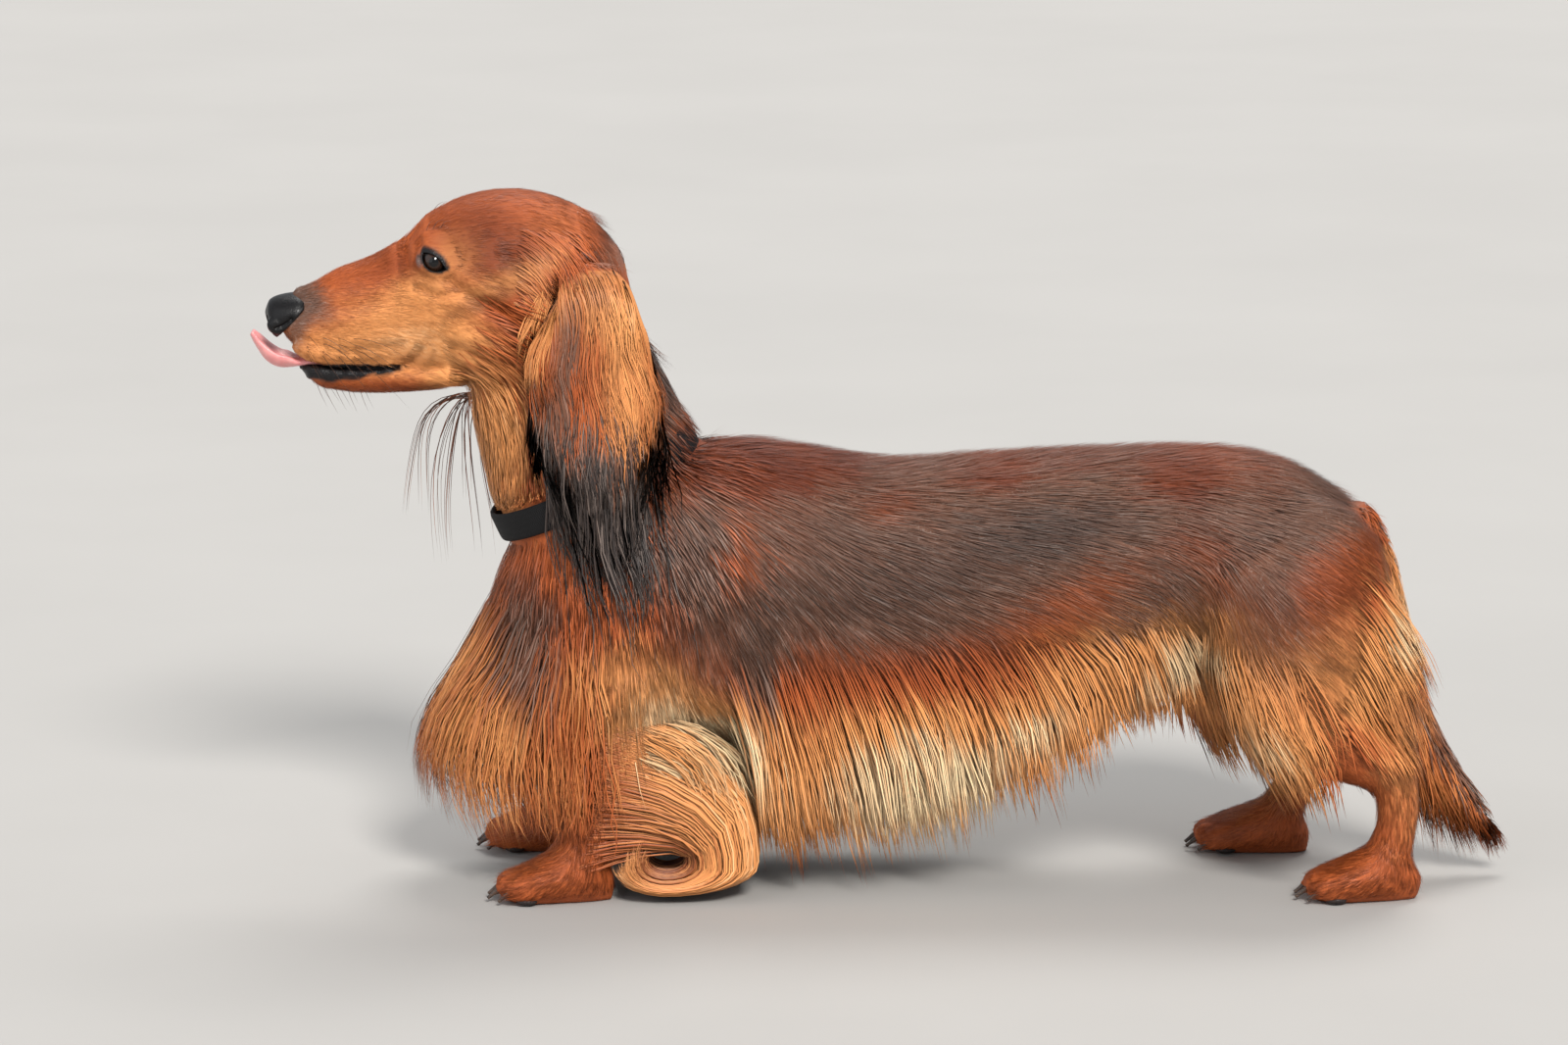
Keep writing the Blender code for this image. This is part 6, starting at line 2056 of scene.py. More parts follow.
@dataclass
class Grooming:
    """The whole coat: which strands grow where, how long they are and how they hang."""

    groomer: Groomer
    colours: CoatColours = CoatColours()
    # Heights of the fringe's tips along the underline
    tip_line: tuple = (
        (-0.09, 0.018), (-0.032, 0.021), (0.02, 0.025), (0.05, 0.04), (0.074, 0.054), (0.095, 0.066),
        (0.12, 0.08), (0.148, 0.074), (0.169, 0.066), (0.19, 0.06), (0.23, 0.054),
    )

    def build(self) -> list[bpy.types.Object]:
        """Grows every piece of the coat.

        Returns:
            The pieces of the coat.
        """
        material = HairFinish(colours=self.colours).material()
        pieces = [*self.head_coat(), *self.neck_coat(), *self.body_coat(), *self.tail_coat()]
        for side in Side:
            pieces.extend([self.ear_coat(side), self.foreleg_coat(side), self.hindleg_coat(side)])
            pieces.append(self.fringe(side))
        return [dress(piece.build(), material) for piece in pieces]

    def head_coat(self) -> list[CoatPiece]:
        """The short coat of the muzzle, the skull and the cheeks, in two layers.

        Returns:
            The pieces of the face and of the skull.
        """
        groomer = self.groomer

        def crowd(places: Array) -> Array:
            """More and finer hair towards the muzzle."""
            return 1.0 + 1.2 * eased(-places[:, 0], 0.22, 0.3)

        def reach(places: Array) -> Array:
            """The hair's length along the head.

            Args:
                places: Places in rows.

            Returns:
                A length for each place.
            """
            stops = [-0.322, -0.3, -0.27, -0.245, -0.215, -0.185, -0.15]
            sizes = [0.004, 0.0058, 0.0075, 0.0085, 0.012, 0.016, 0.024]
            base = np.interp(places[:, 0], stops, sizes)
            low = eased(0.3 - places[:, 2], 0.0, 0.02) * eased(places[:, 0], -0.262, -0.225)
            base = base * (1.0 + 0.5 * low)
            for side in Side:
                base *= 0.45 + 0.55 * eased(eye_reach(places, side), 1.2, 2.6)
            return base * groomer.random.uniform(0.75, 1.2, len(places))

        pieces = [CoatPiece("coat_face"), CoatPiece("coat_skull")]
        batches = (
            ("skull", 36000, 0.008, (0.0, 0.0, 1.0, 0.68)),
            ("jaw", 6500, 0.007, (0.0, 0.7, 1.0, 0.28)),
        )
        for tube, count, near, chart in batches:
            roots = groomer.roots_on(TUBES[tube], count, crowd, near, chart)
            roots = roots.kept(off_face(roots) & (on_ear(roots.places) < 0.5))
            front = roots.places[:, 0] < -0.24
            for piece, mask in zip(pieces, (front, ~front)):
                some = roots.kept(mask)
                fine = (0.0004, 0.00072) if piece is pieces[0] else (0.0005, 0.001)
                growth = Growth(
                    fine, (0.0005, 0.0012), steps=1, stray=5.0, clump=0.16,
                    clump_size=7, sink=0.0003, tip=1.8,
                )
                piece.batches.append(
                    groomer.grow(
                        some, growth, lengths=reach(some.places),
                        marks=lambda flat, each: groomer.markings.head(flat + each[:, None] * 0.003),
                    )
                )
        return pieces

    def neck_coat(self) -> list[CoatPiece]:
        """The longer coat of the neck and throat.

        Returns:
            The one piece.
        """
        groomer = self.groomer
        roots = groomer.roots_on(TUBES["neck"], 11000, everywhere, 0.013)
        rise = above_collar(roots.places)
        front = roots.places[:, 0] < -0.166
        near = np.where(front, 0.009, 0.002)
        roots = roots.kept((np.abs(rise) > near) & (on_ear(roots.places) < 0.5))
        rise = above_collar(roots.places)
        length = groomer.random.uniform(0.022, 0.036, len(roots))
        # The band shows only at the throat, where the hair ends above it
        bare = (rise > 0) & (roots.places[:, 0] < -0.17)
        length = np.where(bare, np.minimum(length, 0.0015 + (rise - 0.0075) * 0.85), length)
        growth = Growth(
            (0.0006, 0.0012), (0.0024, 0.0044), steps=2, stray=3.5, clump=0.24,
            clump_size=9, wave=0.0005, wave_length=0.034, sink=0.0008,
        )
        return [CoatPiece("coat_neck", batches=[groomer.grow(roots, growth, lengths=length)])]

    def body_coat(self) -> list[CoatPiece]:
        """The back, the sides and the chest.

        Returns:
            The pieces of the sides, the back and the chest.
        """
        groomer = self.groomer

        def crowd(places: Array) -> Array:
            """Less hair where the legs and the belly hide it."""
            return np.where(places[:, 2] < 0.085, 0.55, 1.0) * (places[:, 0] > -0.206)

        roots = groomer.roots_on(TUBES["torso"], 62000, crowd, 0.016)
        rise = above_collar(roots.places)
        roots = roots.kept((rise < -0.0095) | (roots.places[:, 0] > -0.16))
        x, y, z = roots.places.T
        back = eased(z, 0.185, 0.215)
        low = 1.0 - eased(z, 0.1, 0.15)
        base = 0.025 * (1.0 - back) + 0.021 * back + 0.008 * low
        chest = eased(-x, 0.15, 0.19)
        base = base + 0.006 * chest * (z < 0.17)
        lengths = base * groomer.random.uniform(0.7, 1.2, len(roots))
        pieces = []
        groups = (
            ("coat_side_left", (y < 0) & (z < SIDE_TOP) & (x > CHEST_REAR)),
            ("coat_side_right", (y >= 0) & (z < SIDE_TOP) & (x > CHEST_REAR)),
            ("coat_back", (z >= SIDE_TOP) & (x > CHEST_REAR)),
            ("coat_chest", x <= CHEST_REAR),
        )
        for name, mask in groups:
            some = roots.kept(mask)
            growth = Growth(
                (0.0005, 0.0011), (0.0028, 0.0042), steps=1, thick=0.14, stray=3.4,
                clump=0.22, clump_size=10, sink=0.0003, limit=0.094,
            )
            fall = (0.25 * low + 0.25 * chest)[mask]
            batch = groomer.grow(some, growth, lengths=lengths[mask], fall=fall)
            pieces.append(CoatPiece(name, batches=[batch]))
        pieces[3].batches.append(self.apron())
        return pieces

    def apron(self) -> Strands:
        """The long loose locks that stand forwards from the chest and hang before the forelegs.

        Returns:
            The locks.
        """
        groomer = self.groomer
        roots = groomer.roots_on(
            TUBES["torso"], 3000, lambda p: ((p[:, 0] < CHEST_REAR) & (p[:, 2] < 0.172)) + NEXT_TO_NONE, 0.02
        )
        x, y, z = roots.places.T
        ahead = np.clip((-0.158 - x) / 0.036, 0.0, 1.0)
        floor = np.interp(x, [-0.212, -0.19, -0.15], [0.05, 0.034, 0.018])
        lengths = (z - floor) * (1.0 + 0.22 * ahead) * groomer.random.uniform(0.7, 1.12, len(roots))
        lengths = np.clip(lengths, 0.018, 0.125)
        sideways = np.sign(y) * np.clip(np.abs(y) / 0.06, 0.0, 1.0) * 0.1

        def ways(here: Array, along: float) -> Array:
            """Forwards and down from the chest, then straight down and a little back."""
            lean = np.interp(here[:, 2], [0.045, 0.08, 0.1, 0.12, 0.17], [0.75, 0.15, -0.5, -0.85, -0.5])
            return unit(columns(lean * ahead, sideways, -1.0))

        growth = Growth(
            (0.0007, 0.0014), (0.003, 0.011), steps=6, stray=7.0, clump=0.66,
            clump_size=18, wave=0.0032, wave_length=0.05, cling=0.25, inertia=0.4, limit=0.08,
        )
        batch = groomer.grow(roots, growth, ways=ways, lengths=lengths)
        # Whole locks are darker or lighter than their neighbours
        lock = drift(roots.places, 0.005, 9.0)[:, None]
        batch.marks[:, :, 0] += 0.42 * eased(lock, 0.1, 0.8) * np.linspace(1.0, 0.2, 7)
        batch.marks[:, :, 1] *= np.clip(1.0 - 0.55 * lock, 0.3, 1.5)
        return batch

    def fringe(self, side: Side) -> CoatPiece:
        """The long straight curtain of hair along one side of the underline.

        Args:
            side: Which side of the dog.

        Returns:
            The piece.
        """
        groomer, sign = self.groomer, side.value

        def crowd(places: Array) -> Array:
            """Roots only on the lower side."""
            x, y, z = places.T
            return ((y * sign > 0.012) & (z < 0.155) & (x > -0.085) & (x < 0.205)) + NEXT_TO_NONE

        roots = groomer.roots_on(TUBES["torso"], root_count("fringe", side), crowd, 0.016)
        x, y, z = roots.places.T
        stops = np.array(self.tip_line)
        tips = np.interp(x + 0.008, stops[:, 0], stops[:, 1])
        share = groomer.random.beta(2.0, 1.3, len(roots))
        wisp = groomer.random.random(len(roots)) < 0.04
        flank = eased(x, 0.1, 0.13)
        lengths = (z - tips) * (0.46 + 0.64 * share - 0.22 * flank) * 1.1 + wisp * 0.016
        lengths = np.clip(lengths, 0.014, 0.13)
        growth = Growth(
            (0.0007, 0.0015), (0.002, 0.007), steps=5, stray=3.0, clump=0.6,
            clump_size=16, wave=0.0012, wave_length=0.055, cling=0.35, inertia=0.4,
            hang=0.85, hang_way=(0.12, sign * 0.02, -1.0),
        )
        batch = groomer.grow(roots, growth, lengths=lengths)
        return CoatPiece(f"coat_fringe_{side.word}", batches=[batch])

    def ear_coat(self, side: Side) -> CoatPiece:
        """The long wavy hair of one ear, which falls past its leather.

        Args:
            side: Which side of the dog.

        Returns:
            The piece.
        """
        groomer, draw = self.groomer, self.groomer.random
        piece = CoatPiece(f"coat_ear_{side.word}")
        count = root_count("ear", side)
        share = 0.02 + 0.98 * draw.beta(1.25, 1.25, count)
        across = draw.uniform(-1.0, 1.0, count)
        inner = draw.random(count) < 0.16
        rim = draw.random(count) < 0.2
        across = np.where(rim, np.sign(across) * draw.uniform(0.86, 0.99, count), across)
        # The hair of the ear's upper front edge starts further back than the leather does
        across = np.minimum(across, 0.45 + 0.55 * eased(share, *EAR_FRONT))
        places, normals = np.empty((count, 3)), np.empty((count, 3))
        for index in range(count):
            centre, _, forward, outward = ear_frame(side, float(share[index]))
            half = float(ear_half_width(share[index])) - 0.0012
            wide = across[index]
            bend = -EAR_CUP * wide * wide * half / 0.034
            face = -1.0 if inner[index] else 1.0
            lift = bend + face * 0.5 * EAR_THICKNESS * math.sqrt(max(0.0, 1.0 - wide * wide))
            places[index] = centre + forward * wide * half + outward * lift
            normals[index] = outward * face + forward * wide * (0.35 + 0.9 * abs(wide) ** 6)
        normals = unit(normals)
        chart = columns(share * 0.96 + 0.02, (across + 1.0) * 0.24 + inner * 0.5 + 0.01)
        roots = Roots(places, normals, chart)
        spread = across * (1.0 - 0.4 * share)
        axis = [ear_frame(side, s) for s in np.linspace(0.0, 1.0, 9)]
        heights = np.array([row[0][2] for row in axis])[::-1]
        downs = np.array([row[1] for row in axis])[::-1]
        forward = axis[4][2]
        swing = EAR_SWING[side]

        def ways(here: Array, along: float) -> Array:
            """Down the ear, spreading a little towards its edges."""
            down = np.stack([np.interp(here[:, 2], heights, downs[:, k]) for k in range(3)], 1)
            fan = forward * (spread * (0.3 - 0.22 * along))[:, None]
            sweep = 0.5 * (1.0 - eased(here[:, 2], 0.165, 0.235)) * (1.0 - 0.55 * np.abs(spread))
            fan[:, 0] += sweep
            return unit(down + fan + np.array([swing * 2.0 * along, 0.0, 0.0]))

        reach = np.interp(share, [0.0, 0.3, 0.7, 1.0], [0.042, 0.054, 0.07, 0.084])
        lengths = reach * draw.uniform(0.65, 1.12, count)
        long = (draw.random(count) < 0.09) & (share > 0.5)
        lengths = np.minimum(np.where(long, lengths * 1.7, lengths), 0.145)
        growth = Growth(
            (0.0006, 0.0013), (0.0008, 0.0036), steps=6, stray=2.5, clump=0.45,
            clump_size=14, wave=0.0026, wave_length=0.052, cling=0.9, inertia=0.4, hang=0.5,
            hang_way=(0.1, -side.value * 0.12, -1.0), sink=0.0012,
            limit=0.096 if side is Side.LEFT else 0.0865,
        )
        fall = 0.5 * eased(share, 0.35, 0.9)
        ear_marks = groomer.markings.ear
        piece.batches.append(
            groomer.grow(roots, growth, ways=ways, lengths=lengths, marks=ear_marks, fall=fall)
        )
        piece.batches.extend([self.ear_veil(side), self.ear_tuft(side)])
        if side is Side.RIGHT:
            piece.batches.append(self.loose_fan())
        return piece

    def ear_veil(self, side: Side) -> Strands:
        """Hair from the side of the skull that falls over the root of one ear.

        Args:
            side: Which side of the dog.

        Returns:
            The strands.
        """
        groomer, sign = self.groomer, side.value

        def crowd(places: Array) -> Array:
            """Roots only in a patch above the ear."""
            x, y, z = places.T
            return ((y * sign > 0.022) & (z > 0.325) & (z < 0.366) & (x > -0.2) & (x < -0.136)) + NEXT_TO_NONE

        roots = groomer.roots_on(TUBES["skull"], 1100, crowd, 0.012)
        roots = roots.kept(on_ear(roots.places) < 0.5)
        rise = (roots.places[:, 2] - 0.325) / 0.041
        lengths = (0.03 + 0.01 * rise) * groomer.random.uniform(0.75, 1.2, len(roots))
        growth = Growth(
            (0.0006, 0.0012), (0.001, 0.0026), steps=4, stray=4.0, clump=0.3,
            clump_size=10, wave=0.0008, wave_length=0.04, hang=0.35,
            limit=0.09 if side is Side.LEFT else 0.086,
        )
        marks = groomer.markings

        def shown(flat: Array, each: Array) -> Array:
            """The head's markings above, fading to the ear's."""
            low = (1.0 - eased(flat[:, 2], 0.318, 0.342))[:, None]
            return marks.head(flat) * (1.0 - low) + marks.ear(flat, each) * low

        return groomer.grow(roots, growth, lengths=lengths, marks=shown)

    def ear_tuft(self, side: Side) -> Strands:
        """The light strands that fan forwards and down from the ear's front edge.

        Args:
            side: Which side of the dog.

        Returns:
            The strands.
        """
        groomer, draw, sign = self.groomer, self.groomer.random, side.value
        count, swing = 260, EAR_SWING[side]
        down = draw.uniform(0.0, 1.0, count)
        ahead = -0.17 + swing * 0.25 - 0.008 * draw.random(count)
        start = columns(ahead, sign * 0.052, 0.336 - 0.024 * down)
        near, normals = groomer.nearest(start)
        chart = columns(0.1 + 0.3 * down, draw.uniform(0.1, 0.9, count))
        roots = Roots(near, normals, chart)
        lean = draw.uniform(0.05, 0.8, count) * (1.0 - 0.4 * down)

        def ways(here: Array, along: float) -> Array:
            """Forwards at first, then down."""
            ahead = -lean * (1.0 - 0.75 * along)
            return unit(columns(ahead, sign * 0.1, -1.0))

        growth = Growth(
            (0.0005, 0.001), (0.0015, 0.0045), (0.03, 0.056), steps=5, stray=5.0, clump=0.45,
            clump_size=12, wave=0.001, wave_length=0.04, hang=0.1, limit=0.088,
        )

        def shown(flat: Array, each: Array) -> Array:
            """Light gold with a few deeper strands."""
            light = 0.42 + 0.14 * each
            deep = 0.25 + 0.3 * (each > 0.3)
            return columns(0.0, light, deep)

        return groomer.grow(roots, growth, ways=ways, marks=shown)

    def loose_fan(self) -> Strands:
        """The few thin strands of the far ear that arch out before the throat.

        Returns:
            The strands.
        """
        draw, locks, each = self.groomer.random, 7, 5
        count = locks * each
        lock = np.repeat(np.linspace(0.0, 1.0, locks), each)
        spread = np.clip(lock + draw.normal(0.0, 0.05, count), 0.0, 1.0)
        start = columns(-0.213 - 0.004 * spread, 0.056, 0.257 - 0.004 * spread)
        start += draw.normal(0.0, 0.0012, (count, 3))
        crest = start + columns(-0.034 * (0.25 + spread), 0.0, 0.002 + 0.008 * spread)
        fall = np.repeat(draw.uniform(0.05, 0.095, locks), each) + draw.normal(0.0, 0.005, count)
        end = start + columns(0.004 - 0.046 * spread, draw.normal(0, 0.003, count), -fall)
        share = np.linspace(0.0, 1.0, 12)[None, :, None]
        path = start[:, None] * (1 - share) ** 2 + 2 * crest[:, None] * share * (1 - share)
        path = path + end[:, None] * share**2
        bend = np.sin(share * 7.0 + lock[:, None, None] * 9.0) * share * 0.0018
        path = path + bend * np.array((1.0, 0.0, 0.0))
        face = np.tile(np.array((-0.3, -1.0, 0.2)), (count, 12, 1))
        marks = np.tile(np.array((0.62, 0.15, 0.4)), (count, 12, 1))
        marks[:, :, 0] *= np.where(draw.random(count) < 0.4, 0.3, 1.0)[:, None]
        chart = columns(0.5 + 0.4 * spread, 0.9)
        return Strands(
            path, unit(face), draw.uniform(0.0004, 0.0008, count), 0.3, 2.4, chart, marks,
            draw.random(count),
        )

    def tail_coat(self) -> list[CoatPiece]:
        """The plume that hangs from the tail, and the short hair on its upper side.

        Returns:
            The one piece.
        """
        groomer = self.groomer
        tube = TUBES["tail"]
        _, centres, tangents = tube.grid()
        roots = groomer.roots_on(tube, 4500, everywhere, 0.006)
        upper = roots.normals[:, 2] * 0.8 + roots.normals[:, 0] * 0.6 > 0.35
        order = np.argsort(centres[:, 0])

        def ways(here: Array, along: float) -> Array:
            """Back along the tail."""
            index = np.searchsorted(centres[order, 0], here[:, 0]).clip(0, len(order) - 1)
            down = eased(here[:, 2], 0.12, 0.17)[:, None] * np.array((-0.25, 0.0, -0.9))
            return unit(tangents[order][index] + down)

        x, y, z = roots.places.T
        reach = np.interp(
            z, [0.02, 0.04, 0.08, 0.12, 0.15, 0.17, 0.19], [0.014, 0.036, 0.078, 0.11, 0.09, 0.045, 0.022]
        )
        lengths = reach * groomer.random.uniform(0.62, 1.06, len(roots)) * np.where(upper, 0.55, 1.0)
        growth = Growth(
            (0.0008, 0.0016), (0.0006, 0.005), steps=5, stray=5.5, clump=0.45,
            clump_size=14, wave=0.0014, wave_length=0.05, cling=0.35, inertia=0.4,
            hang_way=(0.04, 0.0, -1.0),
        )
        fall = np.where(upper, 0.06, groomer.random.uniform(0.35, 1.0, len(roots)))
        batch = groomer.grow(roots, growth, ways=ways, lengths=lengths, fall=fall)
        # The tail's upper edge is dark grey below its root
        edge = (upper * (1.0 - eased(z, 0.1, 0.14)) * 0.46)[:, None]
        batch.marks[:, :, 0] = np.maximum(batch.marks[:, :, 0], edge)
        return [CoatPiece("coat_tail", batches=[batch])]

    def foreleg_coat(self, side: Side) -> CoatPiece:
        """The smooth hair of one foreleg and foot, and the big curl behind it.

        Args:
            side: Which side of the dog.

        Returns:
            The piece.
        """
        groomer = self.groomer
        leg = foreleg_stations(side)
        short = Growth(
            (0.0005, 0.001), (0.0008, 0.0018), (0.009, 0.015), steps=1, stray=6.0, clump=0.2,
            sink=0.0003,
        )
        shin = groomer.roots_on(Tube(leg, rings=60, sides=32), 6500, everywhere, 0.007, LEG_CHART)
        batches = [groomer.grow(shin, short), self.foot(leg, side, 3600)]
        batches.extend([self.curl(side), self.swirl(side)])
        return CoatPiece(f"coat_foreleg_{side.word}", batches=batches)

    def swirl(self, side: Side) -> Strands:
        """The gold hair that sweeps back from the elbow's whorl over the top of the curl.

        Args:
            side: Which side of the dog.

        Returns:
            The strands.
        """
        groomer, sign, draw = self.groomer, side.value, self.groomer.random
        count, shift = root_count("swirl", side), FORE_SHIFT[side]
        down = draw.random(count)
        behind = -0.134 + shift + 0.034 * draw.random(count)
        start = columns(behind, sign * 0.09, 0.102 - 0.03 * down)
        near, normals = groomer.nearest(start)
        roots = Roots(near, normals, columns(0.5 + 0.4 * down, draw.uniform(0.1, 0.6, count)))
        steep = draw.uniform(0.0, 0.35, count)

        def ways(here: Array, along: float) -> Array:
            """Back at first, then down behind the curl."""
            return unit(columns(1.0 - 0.85 * along, 0.0, -(0.05 + steep + 1.1 * along)))

        growth = Growth(
            (0.0006, 0.0012), (0.003, 0.0095), (0.05, 0.088), steps=6, stray=4.0, clump=0.45,
            clump_size=14, wave=0.0008, wave_length=0.05, cling=0.5, limit=0.089,
        )
        batch = groomer.grow(roots, growth, ways=ways)
        lock = drift(roots.places, 0.004, 3.0)[:, None]
        batch.marks[:, :, 0] *= 0.1
        batch.marks[:, :, 2] *= 0.3
        batch.marks[:, :, 1] = np.clip(0.78 + 0.24 * lock, 0.1, 1.0) * np.linspace(0.8, 1.0, 7)
        return batch

    def foot(self, leg: Sequence[Sequence[float]], side: Side, count: int) -> Strands:
        """The very short hair of the foot under a leg.

        Args:
            leg: The stations of the leg.
            side: Which side of the dog.
            count: How many roots to try.

        Returns:
            The strands.
        """
        tube = Tube(paw_stations(leg, side), upright=True, rings=30, sides=32)
        roots = self.groomer.roots_on(
            tube, count, lambda p: (p[:, 2] > 0.003) + NEXT_TO_NONE, 0.008, FOOT_CHART
        )
        growth = Growth(
            (0.0005, 0.0011), (0.0009, 0.0024), (0.008, 0.014), steps=1, stray=10.0, clump=0.4,
            sink=0.0003,
        )
        return self.groomer.grow(roots, growth)

    def curl(self, side: Side) -> Strands:
        """The feathering behind a foreleg, which curls back, down and forwards round an open eye.

        Args:
            side: Which side of the dog.

        Returns:
            The strands.
        """
        groomer, sign, draw = self.groomer, side.value, self.groomer.random
        count, steps = root_count("curl", side), 16
        outer = draw.beta(1.25, 0.95, count)
        depth = draw.random(count) ** 1.5
        shift = FORE_SHIFT[side]
        middle = np.array((-0.1142 + shift, 0.0, 0.0205))
        ahead = -0.151 + shift + draw.uniform(-0.012, 0.022, count)
        begin = columns(ahead, sign * 0.09, middle[2] + 0.006 + 0.07 * outer)
        begin[:, 2] += draw.normal(0.0, 0.003, count)
        near, normals = groomer.nearest(begin)
        chart = columns(0.3 + 0.6 * outer, 0.1 + 0.5 * draw.random(count))
        roots = Roots(near, normals, chart)
        first = np.radians(152.0 - 38.0 * outer + draw.normal(0.0, 4.0, count))
        last = np.radians(-222.0 + 100.0 * outer + draw.normal(0.0, 14.0, count))
        wander = 0.1 * drift(begin, 0.006, 6.0) * outer
        right = 0.0098 + 0.0392 * (outer + wander * 0.5)
        left = 0.0098 + 0.024 * outer
        above = 0.0072 + 0.061 * (outer + wander)
        below = 0.0068 + 0.0112 * outer
        crown = 0.077 - 0.016 * (outer - 0.55) ** 2 * 4.0
        level = sign * (crown - 0.034 * depth + 0.0012 * drift(begin, 0.004, 5.0))
        paths, width = [near - normals * 0.0015], draw.uniform(0.0007, 0.0015, count)
        for step in range(1, steps + 1):
            share = step / steps
            turn = first + (last - first) * share**0.9
            wide = np.where(np.cos(turn) > 0, right, left)
            high = np.where(np.sin(turn) > 0, above, below)
            across = middle[0] + np.cos(turn) * wide
            rise = middle[2] + np.sin(turn) * high
            blend = eased(np.full(count, share), 0.0, 0.32)
            spot = columns(across, level, rise)
            spot = near * (1.0 - blend)[:, None] + spot * blend[:, None]
            spot[:, 2] = np.maximum(spot[:, 2], 0.0018 + 0.002 * depth)
            paths.append(spot)
        path = np.stack(paths, axis=1)
        flat = path.reshape(-1, 3)
        close, normal = groomer.nearest(flat)
        gap = np.einsum("ij,ij->i", flat - close, normal)
        inside = (gap < 0.001) & (np.tile(np.arange(steps + 1), count) > 0)
        flat = flat + normal * np.where(inside, 0.001 - gap, 0.0)[:, None]
        path = flat.reshape(count, steps + 1, 3)
        face = np.tile(np.array((0.1, sign * 1.0, 0.1)), (count, steps + 1, 1))
        growth = Growth((0.0, 0.0), (0.0, 0.0), clump=0.3, clump_size=7)
        path = groomer.gathered(roots, path, unit(face), growth)
        lock = 0.6 * drift(begin, 0.0035, 3.0) + draw.uniform(-0.4, 0.4, count)
        slide = path.reshape(-1, 3).copy()
        marks = groomer.markings.body(slide).reshape(count, steps + 1, 3)
        along = np.linspace(0.0, 1.0, steps + 1)[None, :]
        glow = np.clip(0.28 + 0.32 * outer + 0.22 * lock, 0.0, 0.9)[:, None] * eased(along, -0.1, 0.3)
        marks[:, :, 0] *= 1.0 - eased(along, 0.0, 0.3)
        marks[:, :, 1] = np.maximum(glow, marks[:, :, 1] * 0.5)
        # Painted shade: the inner strands round the curl's open eye are deeper in colour towards their tips,
        # and whole locks are deeper or lighter at random
        inner = 0.5 * eased(0.5 - outer, 0.0, 0.4)
        shade = np.clip(0.06 + inner - 0.5 * lock, 0.0, 0.8)[:, None]
        marks[:, :, 2] = shade * eased(along, 0.05, 0.4)
        return Strands(path, unit(face), width, growth.thick, 2.6, roots.chart, marks, draw.random(count))

    def hindleg_coat(self, side: Side) -> CoatPiece:
        """The coat of one thigh, hock and hind foot, with the breeches behind the thigh.

        Args:
            side: Which side of the dog.

        Returns:
            The piece.
        """
        groomer, sign = self.groomer, side.value
        piece = CoatPiece(f"coat_hindleg_{side.word}")
        leg = hindleg_stations(side)
        tube = Tube(leg, rings=80, sides=40)
        roots = groomer.roots_on(
            tube, root_count("hindleg", side), lambda p: 1.0 + 0.6 * (p[:, 2] < 0.09), 0.012,
            LEG_CHART,
        )
        z = roots.places[:, 2]
        high = eased(z, 0.085, 0.12)
        lengths = (0.01 + 0.012 * high) * groomer.random.uniform(0.75, 1.2, len(roots))
        for mask, wide, rise in (
            (z > 0.095, (0.0005, 0.0011), (0.0024, 0.0036)),
            (z <= 0.095, (0.0005, 0.0009), (0.0007, 0.0015)),
        ):
            growth = Growth(
                wide, rise, steps=1, thick=0.14, stray=3.8, clump=0.22,
                clump_size=10, sink=0.0003,
            )
            piece.batches.append(groomer.grow(roots.kept(mask), growth, lengths=lengths[mask]))
        piece.batches.append(self.foot(leg, side, 3400))

        def behind(places: Array) -> Array:
            """Roots on the rear of the thigh."""
            return ((places[:, 2] > 0.085) & (places[:, 2] < 0.185)) + NEXT_TO_NONE

        rear = groomer.roots_on(tube, root_count("breeches", side), behind, 0.014, LEG_CHART)
        rear = rear.kept((rear.normals[:, 0] > 0.3) & (rear.normals[:, 1] * sign > -0.6))
        z = rear.places[:, 2]
        lengths = np.interp(z, [0.085, 0.1, 0.12, 0.185], [0.02, 0.04, 0.07, 0.078])
        lengths = lengths * groomer.random.uniform(0.7, 1.1, len(rear))
        growth = Growth(
            (0.0007, 0.0014), (0.002, 0.006), steps=5, stray=4.0, clump=0.42,
            clump_size=14, wave=0.0012, wave_length=0.05, cling=0.45, inertia=0.4, hang=0.6,
            hang_way=(0.5, 0.0, -1.0),
        )
        piece.batches.append(groomer.grow(rear, growth, lengths=lengths))
        piece.batches.append(self.stifle_fringe(tube, side))
        return piece

    def stifle_fringe(self, tube: Tube, side: Side) -> Strands:
        """The wispy locks that hang from the front and underside of one thigh.

        Args:
            tube: The tube of the leg.
            side: Which side of the dog; not used.

        Returns:
            The locks.
        """
        groomer = self.groomer

        def before(places: Array) -> Array:
            """Roots low on the thigh's front."""
            return ((places[:, 2] > 0.088) & (places[:, 2] < 0.15)) + NEXT_TO_NONE

        front = groomer.roots_on(tube, 2600, before, 0.014, LEG_CHART)
        front = front.kept(front.normals[:, 0] < np.where(front.normals[:, 2] < -0.5, 0.1, -0.1))
        front = front.kept(groomer.random.random(len(front)) < 700.0 / max(1, len(front)))
        lengths = (front.places[:, 2] - 0.03) * groomer.random.uniform(0.45, 1.0, len(front))
        growth = Growth(
            (0.0007, 0.0016), (0.001, 0.006), steps=5, stray=5.0, clump=0.66,
            clump_size=16, wave=0.0012, wave_length=0.05, cling=0.3, inertia=0.45, hang=0.8,
            hang_way=(0.3, 0.0, -1.0),
        )
        return groomer.grow(front, growth, lengths=lengths)


